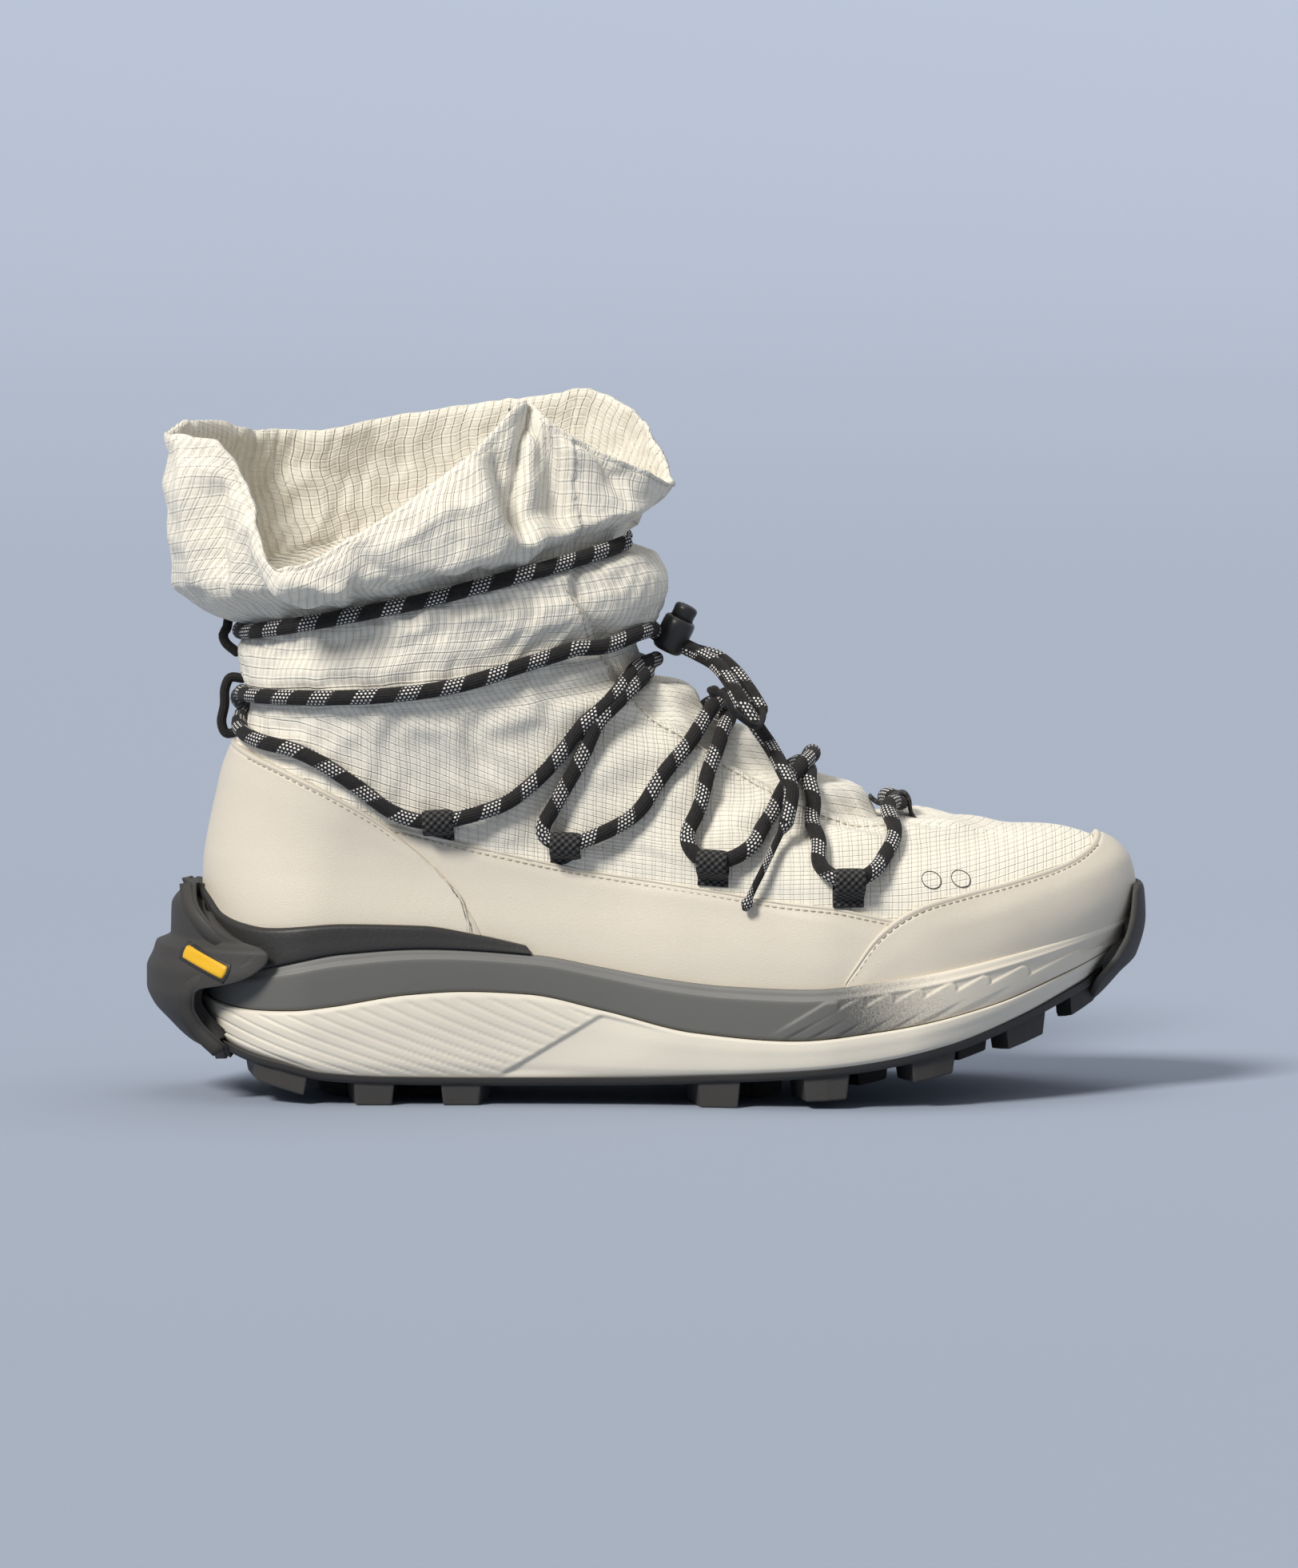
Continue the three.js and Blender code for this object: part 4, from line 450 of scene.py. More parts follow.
# A material's tree with short calls for the nodes it needs
class Shader:
    def __init__(self, name, colour, roughness, **sockets):
        self.material = bpy.data.materials.new(name)
        self.material.use_nodes = True
        self.tree = self.material.node_tree
        self.surface = self.tree.nodes["Principled BSDF"]
        self.surface.inputs["Base Color"].default_value = (*colour, 1)
        self.surface.inputs["Roughness"].default_value = roughness
        for key, value in sockets.items():
            self.surface.inputs[key.replace("_", " ")].default_value = value
        self.height = None

    def node(self, kind, inputs=None, **settings):
        return nodeIn(self.tree, kind, inputs, **settings)

    def math(self, operation, a, b=0.0, c=0.0):
        return self.node("ShaderNodeMath", {0: a, 1: b, 2: c}, operation=operation).outputs[0]

    def place(self):
        at = self.node("ShaderNodeTexCoord").outputs["Object"]
        return self.node("ShaderNodeMapping", {"Vector": at}).outputs["Vector"]

    def noise(self, vector, scale, detail=3.0, roughness=0.5):
        return self.node("ShaderNodeTexNoise", {"Vector": vector, "Scale": scale, "Detail": detail, "Roughness": roughness}).outputs["Fac"]

    def ramp(self, value, low, high, start=0.0, end=1.0):
        return self.node("ShaderNodeMapRange", {"Value": value, "From Min": low, "From Max": high, "To Min": start, "To Max": end}).outputs["Result"]

    def mix(self, factor, a, b):
        made = self.node("ShaderNodeMix", data_type="RGBA")
        for socket, value in ((made.inputs[0], factor), (made.inputs[6], a), (made.inputs[7], b)):
            if isinstance(value, bpy.types.NodeSocket):
                self.tree.links.new(value, socket)
            else:
                socket.default_value = value if isinstance(value, float) else (*value, 1)
        return made.outputs[2]

    def bump(self, height, distance, strength=1.0):
        inputs = {"Height": height, "Distance": distance, "Strength": strength}
        if self.height is not None:
            inputs["Normal"] = self.height
        self.height = self.node("ShaderNodeBump", inputs).outputs["Normal"]

    def done(self, colour=None, roughness=None):
        if colour is not None:
            self.tree.links.new(colour, self.surface.inputs["Base Color"])
        if roughness is not None:
            self.tree.links.new(roughness, self.surface.inputs["Roughness"])
        if self.height is not None:
            self.tree.links.new(self.height, self.surface.inputs["Normal"])
        return self.material


# the shade colour is painted shade in the groove beside each rib, the line colour a painted highlight on the raised
# ribs
ripstop = {"grid": 0.0028, "cream": (0.825, 0.775, 0.66), "line": (0.86, 0.815, 0.71), "shade": (0.74, 0.67, 0.53)}


# ribs are the heights of the lines along each map direction, crumple is the depth of the fine creases, in metres
def ripstopFabric(name, ribs, crumple):
    s = Shader(name, ripstop["cream"], 0.7, Sheen_Weight=0.2, Sheen_Roughness=0.4)
    uv = s.node("ShaderNodeUVMap", uv_map="cloth").outputs["UV"]
    obj = s.place()
    wander = s.node("ShaderNodeTexNoise", {"Vector": uv, "Scale": 55.0, "Detail": 2.0}).outputs["Color"]
    moved = s.node("ShaderNodeVectorMath", {0: wander, 1: (0.0009, 0.0009, 0)}, operation="MULTIPLY").outputs["Vector"]
    moved = s.node("ShaderNodeVectorMath", {0: uv, 1: moved}, operation="ADD").outputs["Vector"]
    split = s.node("ShaderNodeSeparateXYZ", {"Vector": moved})
    colour = s.mix(s.ramp(s.noise(obj, 60.0, 4.0), 0.3, 0.7), ripstop["cream"], tuple(0.955 * c for c in ripstop["cream"]))
    creased = s.node("ShaderNodeTexNoise", {"Vector": obj, "Scale": 150.0, "Detail": 3.0, "Roughness": 0.5, "Distortion": 0.8}).outputs["Fac"]
    s.bump(creased, crumple, 0.8)
    for axis, height in enumerate(ribs):
        share = s.math("FRACT", s.math("MULTIPLY", split.outputs[axis], 1 / ripstop["grid"]))
        away = s.math("ABSOLUTE", s.math("SUBTRACT", share, 0.5))
        line = s.ramp(away, 0.36, 0.46)
        behind = s.math("FRACT", s.math("ADD", share, 0.17))
        groove = s.ramp(s.math("ABSOLUTE", s.math("SUBTRACT", behind, 0.5)), 0.4, 0.48)
        puff = s.math("MULTIPLY", s.math("MULTIPLY", away, away), -2.0)
        s.bump(s.math("ADD", s.math("SUBTRACT", line, s.math("MULTIPLY", groove, 0.5)), puff), height, 1.0)
        # painted shade: the groove on one side of each rib is painted darker, as if in the rib's shadow
        colour = s.mix(s.math("MULTIPLY", groove, min(0.4, height * 520)), colour, ripstop["shade"])
        # painted highlight: the raised rib itself is painted lighter
        colour = s.mix(s.math("MULTIPLY", line, 0.5), colour, ripstop["line"])
    weave = s.node("ShaderNodeTexWave", {"Vector": uv, "Scale": 420.0, "Distortion": 1.0, "Detail": 1.0}, bands_direction="DIAGONAL").outputs["Fac"]
    s.bump(weave, 0.00003, 0.5)
    return s.done(colour)


def leather(name="overlay_leather", colour=(0.69, 0.624, 0.515)):
    s = Shader(name, colour, 0.42, Specular_IOR_Level=0.45, Coat_Weight=0.08, Coat_Roughness=0.35)
    at = s.place()
    cells = s.node("ShaderNodeTexVoronoi", {"Vector": at, "Scale": 1500.0, "Randomness": 1.0}, feature="DISTANCE_TO_EDGE").outputs["Distance"]
    drift = s.noise(at, 22.0, 3.0)
    soft = s.noise(at, 40.0, 2.0)
    shade = s.mix(s.ramp(drift, 0.35, 0.65), colour, tuple(0.955 * c for c in colour))
    s.bump(soft, 0.0009, 0.35)
    s.bump(s.ramp(cells, 0.0, 0.12), 0.00005, 0.6)
    return s.done(shade, s.ramp(drift, 0.3, 0.7, 0.4, 0.5))


def moulded(name, colour, roughness, grain=0.00006, scale=1800.0, shine=0.4):
    s = Shader(name, colour, roughness, Specular_IOR_Level=shine)
    at = s.place()
    fine = s.noise(at, scale, 2.0)
    broad = s.noise(at, 30.0, 3.0)
    shade = s.mix(s.ramp(broad, 0.3, 0.7), colour, tuple(0.94 * c for c in colour))
    s.bump(fine, grain, 0.7)
    s.bump(broad, 0.0006, 0.2)
    return s.done(shade, s.ramp(broad, 0.3, 0.7, roughness - 0.05, roughness + 0.05))


# the paler grey for faces that turn up, such as the foam's ledge, is a painted highlight from the light above
sprayed = {"grey": (0.122, 0.12, 0.111), "cream": (0.73, 0.665, 0.55), "from": 0.05, "to": 0.098, "litLedge": (0.168, 0.166, 0.156)}


# Grey foam that fades to cream towards the toe in a speckled spray
def sprayedFoam():
    s = Shader("sprayed_foam", sprayed["grey"], 0.6)
    at = s.place()
    split = s.node("ShaderNodeSeparateXYZ", {"Vector": s.node("ShaderNodeTexCoord").outputs["Object"]})
    slanted = s.math("MULTIPLY_ADD", split.outputs["Z"], 0.45, split.outputs["X"])
    fade = s.ramp(slanted, sprayed["from"] + 0.012, sprayed["to"] + 0.012)
    spots = s.noise(at, 2200.0, 2.0, 0.7)
    sprayEdge = s.ramp(s.math("ADD", fade, s.math("MULTIPLY", s.math("SUBTRACT", spots, 0.5), 0.7)), 0.2, 0.8)
    # painted highlight: faces that turn up get the lighter grey, as if lit from above
    upward = s.node("ShaderNodeSeparateXYZ", {"Vector": s.node("ShaderNodeNewGeometry").outputs["Normal"]}).outputs["Z"]
    grey = s.mix(s.ramp(upward, 0.25, 0.5), sprayed["grey"], sprayed["litLedge"])
    shade = s.mix(sprayEdge, grey, sprayed["cream"])
    s.bump(s.noise(at, 1800.0, 2.0), 0.00006, 0.7)
    return s.done(shade, s.ramp(s.noise(at, 30.0), 0.3, 0.7, 0.55, 0.65))


laceLook = {"pitch": 0.0127, "patch": 0.46, "slant": 0.62, "dot": 0.00104, "dark": (0.016, 0.0145, 0.014), "light": (0.8, 0.78, 0.75)}


def laceBraid(name="lace_braid", dots=True, colour=laceLook["dark"]):
    s = Shader(name, colour, 0.85, Sheen_Weight=0.04, Specular_IOR_Level=0.25)
    uv = s.node("ShaderNodeUVMap", uv_map="cloth").outputs["UV"]
    split = s.node("ShaderNodeSeparateXYZ", {"Vector": uv})
    u, v = split.outputs[0], split.outputs[1]
    ribs = s.math("SINE", s.math("MULTIPLY", v, 2 * math.pi / 0.00077))
    knit = s.math("SINE", s.math("MULTIPLY", u, 2 * math.pi / 0.0009))
    weave = s.math("MULTIPLY", ribs, s.math("MULTIPLY_ADD", knit, 0.35, 0.65))
    s.bump(weave, 0.00012, 0.9)
    fuzz = s.noise(s.node("ShaderNodeTexCoord").outputs["Object"], 900.0, 2.0)
    shade = s.mix(s.ramp(fuzz, 0.3, 0.7), tuple(0.8 * c for c in colour), tuple(1.35 * c for c in colour))
    if not dots:
        return s.done(shade)
    turn = s.math("FRACT", s.math("DIVIDE", s.math("MULTIPLY_ADD", v, laceLook["slant"], u), laceLook["pitch"]))
    patch = s.ramp(s.math("ABSOLUTE", s.math("SUBTRACT", turn, 0.5)), laceLook["patch"] / 2 + 0.01, laceLook["patch"] / 2 - 0.01)
    row = s.math("DIVIDE", v, laceLook["dot"])
    shift = s.math("FRACT", s.math("MULTIPLY", s.math("FLOOR", row), 0.5))
    across = s.math("SUBTRACT", s.math("FRACT", row), 0.5)
    along = s.math("SUBTRACT", s.math("FRACT", s.math("ADD", s.math("DIVIDE", u, laceLook["dot"] * 1.15), shift)), 0.5)
    away = s.math("SQRT", s.math("ADD", s.math("MULTIPLY", across, across), s.math("MULTIPLY", along, along)))
    spot = s.math("MULTIPLY", s.ramp(away, 0.34, 0.24), patch)
    s.bump(spot, 0.00008, 0.6)
    return s.done(s.mix(spot, shade, laceLook["light"]))


def wovenTape():
    s = Shader("webbing_tape", (0.018, 0.017, 0.018), 0.85, Sheen_Weight=0.05, Specular_IOR_Level=0.25)
    uv = s.node("ShaderNodeUVMap", uv_map="cloth").outputs["UV"]
    split = s.node("ShaderNodeSeparateXYZ", {"Vector": uv})
    a = s.math("SINE", s.math("MULTIPLY", split.outputs[0], 2 * math.pi / 0.0019))
    b = s.math("SINE", s.math("MULTIPLY", split.outputs[1], 2 * math.pi / 0.0022))
    knots = s.math("MULTIPLY", a, b)
    s.bump(knots, 0.0004, 1.0)
    # painted light: the weave's raised knots are painted lighter and its hollows darker
    return s.done(s.mix(s.ramp(knots, -0.6, 0.9), (0.008, 0.008, 0.008), (0.085, 0.082, 0.079)))


def thread(name, colour):
    s = Shader(name, colour, 0.6)
    s.bump(s.noise(s.place(), 3000.0, 1.0), 0.00004, 0.6)
    return s.done(s.mix(s.ramp(s.noise(s.place(), 800.0), 0.3, 0.7), colour, tuple(0.8 * c for c in colour)))


fabric = ripstopFabric("ripstop", (0.00017, 0.00015), 0.0004)
gathered = ripstopFabric("ripstop_gathered", (0.00023, 0.0001), 0.0007)
panelLeather = leather()
carrierFoam = moulded("carrier_cream", (0.73, 0.675, 0.57), 0.6)
cradleRubber = moulded("cradle_black", (0.03, 0.029, 0.028), 0.45, grain=0.0001, scale=900.0, shine=0.35)
treadRubber = moulded("tread_rubber", (0.05, 0.047, 0.044), 0.62, grain=0.00012, scale=1100.0, shine=0.3)
plastic = moulded("lock_black", (0.02, 0.02, 0.021), 0.38, grain=0.00003)
insoleCloth = moulded("insole_cloth", (0.62, 0.57, 0.48), 0.85, grain=0.0003, scale=700.0)
foamLook = sprayedFoam()
braid = laceBraid()
plainCord = laceBraid("plain_cord", dots=False)
tape = wovenTape()
creamThread = thread("cream_thread", (0.5, 0.44, 0.34))
yellow = moulded("yellow_bar", (0.75, 0.42, 0.02), 0.4)
ink = moulded("dark_ink", (0.03, 0.03, 0.032), 0.6)
print("materials made")


# Laces. Places are seen from the side, x a share of the length and z of the boot's height.
lace = {"diameter": 4.4, "tail": 2.0, "lift": 3.25, "backLift": 2.7, "overLift": 8.25, "loopLift": 5.1, "sides": 20, "step": 0.9, "taut": 14}
sideLoops = [  # each from its toe side down to the webbing (three places) and up its heel side
    (
        [(0.4881, 0.6081), (0.4572, 0.5598), (0.4136, 0.4924), (0.3661, 0.4305)],
        [(0.3265, 0.4102), (0.2924, 0.4002), (0.2622, 0.4055)],
        [(0.2076, 0.4564), (0.1601, 0.4957)],
    ),
    (
        [(0.5563, 0.5373), (0.5206, 0.4733), (0.4849, 0.4058)],
        [(0.4453, 0.3785), (0.42, 0.3677), (0.397, 0.3787)],
        [(0.4136, 0.4339), (0.4414, 0.507), (0.4731, 0.5688), (0.4985, 0.6)],
    ),
    (
        [(0.6355, 0.4418), (0.6157, 0.3946)],
        [(0.584, 0.3514), (0.5658, 0.345), (0.5468, 0.3552)],
        [(0.5499, 0.4114), (0.5626, 0.4733), (0.5761, 0.5238), (0.584, 0.545)],
    ),
    (
        [(0.7464, 0.3889), (0.7369, 0.3552)],
        [(0.7187, 0.3289), (0.7005, 0.3206), (0.6791, 0.3315)],
        [(0.6712, 0.3721), (0.6664, 0.4283), (0.661, 0.452)],
    ),
]
crossingRings = [16, 14, 12]


def sidePlace(at, side, lift, turns=0):
    ring, around = onUpper(at[0], at[1], side, lift)
    return (ring, around + turns, lift)


def lacePlaces(first, over):
    def loop(i, side):
        before, held, after = sideLoops[i]
        places = [sidePlace(at, side, lace["lift"]) for at in before]
        places += [sidePlace(at, side, lace["loopLift"]) for at in held]
        return places + [sidePlace(at, side, lace["lift"]) for at in after]

    def across(i, before, after):
        return [*before, (crossingRings[i], 0.5, (lace["overLift"] if over[i] else lace["lift"]) + 0.4), *after]

    other = -first
    share, atBack = (1, 0) if other < 0 else (-1, 1)
    turns = 1 if first < 0 else -1
    places = [(10, 0.5 + first * 0.0015, lace["loopLift"]), (9.95, 0.5 + first * 0.05, lace["loopLift"]), *loop(3, first)]
    places = across(2, places, loop(2, other))
    places = across(1, places, loop(1, first))
    places = across(0, places, loop(0, other))
    return [
        *places,
        (14.1 if other < 0 else 15.0, atBack + share * 0.08, lace["lift"] if other < 0 else lace["overLift"] + 0.6),
        (14.85 if other < 0 else 16.1, atBack, lace["backLift"]),
        (15.1 if other < 0 else 16.2, atBack - share * 0.08, lace["lift"]),
        sidePlace((0.3027, 0.5913), first, lace["lift"], turns),
        sidePlace((0.43, 0.643), first, lace["lift"], turns),
    ]


def laceCurve(places):
    route = smoothPath([(r, a * 40, lift) for r, a, lift in places], 6)
    curve = evenly(smoothPath(upperPoint(route[:, 0], route[:, 1] / 40, route[:, 2]), 6), lace["step"])
    for _ in range(lace["taut"]):
        curve[1:-1] = (curve[:-2] + 2 * curve[1:-1] + curve[2:]) / 4
    return curve


lock = {"tilt": math.radians(26), "height": 10.4, "width": 9.4, "depth": 13.4, "button": 6.8, "rise": 4.2, "travel": 3.2, "stem": 3.4}
lockTurn = np.array([
    [math.cos(lock["tilt"]), 0, math.sin(lock["tilt"])],
    [0, 1, 0],
    [-math.sin(lock["tilt"]), 0, math.cos(lock["tilt"])],
])
lockMiddle = upperForm(17.5, 0.5) + np.array([8.7, -2, -1.53])


def inLock(points):
    return np.asarray(points, float) @ lockTurn.T + lockMiddle


def seenAt(at, side, lift):
    ring, around = onUpper(at[0], at[1], side, lift)
    return upperPoint(ring, around, lift)


def lockExit(side):
    return [inLock((x, side * 2.35, -1.7)) for x in (2.3, lock["width"] / 2, lock["width"] / 2 + 3.2)]


freeEnds = {  # x and z shares, then how far off the upper, or y in millimetres
    "outer": [
        (0.5683, 0.6128, None, -9), (0.5811, 0.5935, None, -14.5), (0.5939, 0.5632, 13.2), (0.6078, 0.5328, 11.8), (0.6236, 0.4991, 8),
        (0.6355, 0.4699, 9), (0.6434, 0.4451, 9.4), (0.6418, 0.4227, 9.2), (0.6379, 0.4002, 7.6),
    ],
    "outerTail": [(0.6315, 0.3833, 5.5), (0.6157, 0.3384, 5), (0.6038, 0.3046, 4.5), (0.5975, 0.2822, 4.2)],
    "inner": [(0.5712, 0.6175, None, 0), (0.5885, 0.5985, None, -4), (0.602, 0.575, None, -9), (0.6135, 0.5505, None, -14)],
    "innerTail": [
        (0.6155, 0.5435, None, -19.5), (0.6115, 0.5335, None, -27.5), (0.6034, 0.5369, None, -34.5), (0.5844, 0.5589, None, -36),
        (0.5777, 0.5764, None, -33), (0.5626, 0.5837, None, -29.5),
    ],
}


def endPoints(name):
    return [
        seenAt(p[:2], -1, p[2]) if p[2] is not None else place(p[0], p[3], p[1] * boot["height"]) for p in freeEnds[name]
    ]


for name, side in (("outer", -1), ("inner", 1)):
    thick = endPoints(name)
    route = evenly(smoothPath([*lockExit(side), *thick], 12), lace["step"])
    end = tubeObject(f"lace_end_{name}_braid", route, lace["diameter"] / 2, lace["sides"], material=braid)
    tailRoute = evenly(smoothPath([*thick[-2:], *endPoints(name + "Tail")], 12), 0.6)
    tailRoute = tailRoute[np.argmin(np.linalg.norm(tailRoute - thick[-1], axis=1)) :]
    s = arcLength(tailRoute)
    girth = np.where(s < 4, 2.1 - 1.1 * smoothstep(0, 4, s), lace["tail"] / 2)
    left = s[-1] - s
    girth = girth * np.where(left < 3.2, 1 + 0.75 * np.sin(np.pi * np.clip(left / 3.2, 0, 1)), 1)  # the sealed knot at the tip
    tail = tubeObject(f"lace_tail_{name}", tailRoute, girth, 14, material=braid if name == "outer" else plainCord)
    for piece in (end, tail):
        ride(piece)
    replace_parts(end, f"lace_end_{name}")
    inFrame(route[0]).tolist()
    inFrame(route).tolist()
print("free lace ends made")

laceOuter = laceCurve(lacePlaces(1, [True, False, True]))
laceInner = laceCurve(lacePlaces(-1, [False, True, False]))
cinch = laceCurve([(r, a, lace["lift"] - (0.2 if a == 0 else 0)) for r, a in (
    (20.6, 0.44), (20.5, 0.35), (20.4, 0.25), (20.2, 0.12), (20.1, 0.0), (20.2, -0.12), (20.4, -0.25), (20.5, -0.35), (20.6, -0.44),
)])


def leadIn(side):
    z = -1.7
    return [
        *[upperPoint(ring, 0.5 + side * away, lace["lift"] + 0.4) for ring, away in ((17.5, 0.11), (17.8, 0.07))],
        inLock((-lock["width"] / 2 - 1.6, side * 5.55, z + 0.4)),
        inLock((-lock["width"] / 2 + 0.3, side * 2.45, z)),
        inLock((-2.3, side * 2.35, z)),
    ]


for name, curve, side in (("outer", laceOuter, 1), ("inner", laceInner, -1)):
    whole = np.vstack([curve, smoothPath([curve[-1], *leadIn(side)], 8)[1:]])
    piece = tubeObject(f"lace_{name}_braid", evenly(whole, lace["step"]), lace["diameter"] / 2, lace["sides"], material=braid)
    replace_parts(ride(piece), f"lace_{name}")
piece = tubeObject("lace_cinch_braid", evenly(cinch, lace["step"]), lace["diameter"] / 2, lace["sides"], material=braid)
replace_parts(ride(piece), "lace_cinch")
pressing = [laceOuter, laceInner, cinch, *[evenly(smoothPath(endPoints(name), 12), lace["step"]) for name in ("outer", "inner")]]
print("laces made")

# The upper: one padded skin outside and in, from the turned-under margin up to the rolled rim.
upper = {"columns": 420, "foot": 84, "shaft": 76, "lining": 46}
throatEdge = np.array([
    (0.425, 0.741), (0.4247, 0.727), (0.435, 0.7026), (0.4485, 0.6565), (0.4565, 0.6295), (0.467, 0.6048),
    (0.4882, 0.5666), (0.5246, 0.5297), (0.5602, 0.496), (0.5927, 0.4725), (0.6276, 0.4405), (0.66, 0.42), (0.7, 0.402), (0.745, 0.392),
])
creases = [  # x and z of both ends in millimetres from the heel and the floor, width, depth
    (84, 141, 128, 146, 3.0, -1.6), (74, 136, 131, 152, 4.0, 1.2), (96, 128, 140, 136, 3.0, -1.0), (116, 118, 143, 127, 3.5, 1.0),
    (112, 112, 140, 121, 3.0, -1.1), (96, 107, 130, 114, 4.0, 0.8), (40, 128, 78, 133, 3.5, -0.9), (36, 121, 80, 126, 4.0, 0.9),
    (118, 102, 150, 110, 3.5, -0.9), (128, 94, 160, 100, 4.0, 0.8), (150, 84, 178, 88, 3.5, -0.8), (160, 78, 192, 82, 4.0, 0.7),
    (60, 112, 96, 104, 5.0, 0.6), (150, 100, 166, 104, 2.6, -0.9), (176, 92, 190, 86, 3.0, 0.8), (206, 84, 222, 76, 3.5, 0.7),
]


# Distance in side view from the throat's seam, positive on the tongue's side
def throatAway(points):
    edge = evenly(np.stack([throatEdge[:, 0] * boot["length"], throatEdge[:, 1] * boot["height"]], axis=1), 2.0)
    x, z = points[..., 0] + boot["length"] / 2, points[..., 2]
    best = np.full(x.shape, 1e9)
    signed = np.zeros(x.shape)
    for a, b in zip(edge[:-1], edge[1:]):
        run = b - a
        t = np.clip(((x - a[0]) * run[0] + (z - a[1]) * run[1]) / (run @ run), 0, 1)
        dx, dz = x - a[0] - t * run[0], z - a[1] - t * run[1]
        d = np.hypot(dx, dz)
        cross = run[0] * dz - run[1] * dx
        signed = np.where(d < best, np.sign(cross) * d, signed)
        best = np.minimum(best, d)
    return signed


# Folds, creases and puckers of the padded fabric, in millimetres outwards
def clothDepth(points):
    x, y, z = points[..., 0] + boot["length"] / 2, points[..., 1], points[..., 2]
    depth = np.zeros(x.shape)
    for x0, z0, x1, z1, width, much in creases:
        for side in (-1, 1):
            shift = 0 if side < 0 else 4
            a, b = np.array([x0 + shift, z0]), np.array([x1 + shift, z1])
            run = b - a
            t = ((x - a[0]) * run[0] + (z - a[1]) * run[1]) / (run @ run)
            off = ((x - a[0]) * run[1] - (z - a[1]) * run[0]) / np.hypot(*run)
            bow = 1.6 * np.sin(np.pi * np.clip(t, 0, 1))
            ends = smoothstep(-0.1, 0.25, t) * (1 - smoothstep(0.75, 1.1, t))
            depth += np.where(np.sign(y) == side, much * ends * np.exp(-(((off + bow) / width) ** 2)), 0)
    return depth


def noiseField(points, scale, seed):
    p = points.reshape(-1, 3) * scale + seed
    cell = np.floor(p).astype(np.int64)
    t = p - cell
    fade = t * t * t * (t * (t * 6 - 15) + 10)
    total = np.zeros(len(p))
    for corner in np.ndindex(2, 2, 2):
        c = cell + corner
        mixed = (c[:, 0] * 374761393 + c[:, 1] * 668265263 + c[:, 2] * 2147483647) & 0xFFFFFFFF
        mixed = ((mixed ^ (mixed >> 13)) * 1274126177) & 0xFFFFFFFF
        mixed = mixed ^ (mixed >> 16)
        angle = (mixed & 1023) / 1024 * 2 * np.pi
        height = ((mixed >> 10) & 1023) / 512 - 1
        flat = np.sqrt(np.maximum(0, 1 - height**2))
        pull = np.stack([flat * np.cos(angle), flat * np.sin(angle), height], axis=1)
        share = np.prod(np.where(np.array(corner) == 1, fade, 1 - fade), axis=1)
        total += share * np.sum(pull * (t - corner), axis=1)
    return (total * 1.5).reshape(points.shape[:-1])


around = np.arange(upper["columns"]) / upper["columns"]
outerRings = np.concatenate([np.linspace(0, 18, upper["foot"], endpoint=False), np.linspace(18, rimRing, upper["shaft"])])
innerRings = np.concatenate([np.linspace(rimRing, 19, upper["lining"] - 12, endpoint=False), np.linspace(19, 0, 12)])


nearFolds = [  # the collar's folds on the outer side: both ends in millimetres, width, depth
    (109, 200, 106.5, 161, 2.6, -5.0), (101.5, 196, 105.5, 166, 4.6, -3.4), (114, 198, 112, 161, 4.5, 3.0),
    (94, 188, 105, 162, 3.2, 4.0), (40, 152, 60, 147.5, 3.6, 3.4), (60, 147.5, 104, 160, 4.2, 3.0),
    (44, 146, 104, 154, 3.0, -3.0), (106, 161, 144, 171, 3.2, 3.2), (112, 156, 147, 165, 3.0, -3.6),
    (13, 186, 16, 150, 5.0, 2.6), (26, 186, 36, 162, 3.0, -3.0), (22, 178, 24, 148, 3.6, -2.2), (31, 168, 27, 146, 3.2, 2.4),
    (101, 190, 106, 164, 3.5, -3.2), (48, 168, 88, 182, 3.4, -2.0), (120, 196, 138, 176, 3.4, -2.6),
    (128, 198, 146, 180, 3.2, 2.4), (66, 160, 98, 176, 4.5, 1.8),
]


def foldLines(points, folds):
    x, z = points[..., 0] + boot["length"] / 2, points[..., 2]
    depth = np.zeros(x.shape)
    for x0, z0, x1, z1, width, much in folds:
        run = np.array([x1 - x0, z1 - z0], float)
        t = ((x - x0) * run[0] + (z - z0) * run[1]) / (run @ run)
        off = ((x - x0) * run[1] - (z - z0) * run[0]) / np.hypot(*run)
        ends = smoothstep(-0.12, 0.15, t) * (1 - smoothstep(0.85, 1.12, t))
        depth += much * ends * np.exp(-np.sqrt(0.15 + (off / width) ** 2) * 1.4 + 0.54)
    return depth


nearRim = [  # the collar's edge on the outer side, millimetres from the heel and the floor
    (49.3, 158.6), (63.2, 165.2), (73.5, 171.6), (87.2, 181.4), (95.2, 187.6), (102.0, 194.6), (106.0, 199.4),
    (109.0, 201.2), (112.0, 199.6), (116.0, 195.6), (128.3, 187.6), (141.0, 181.8), (150.0, 176.6),
]
drape = {"rowStep": 2, "columnStep": 3, "spare": 0.075, "frames": 18, "cap": 4.0, "hold": 0.5}


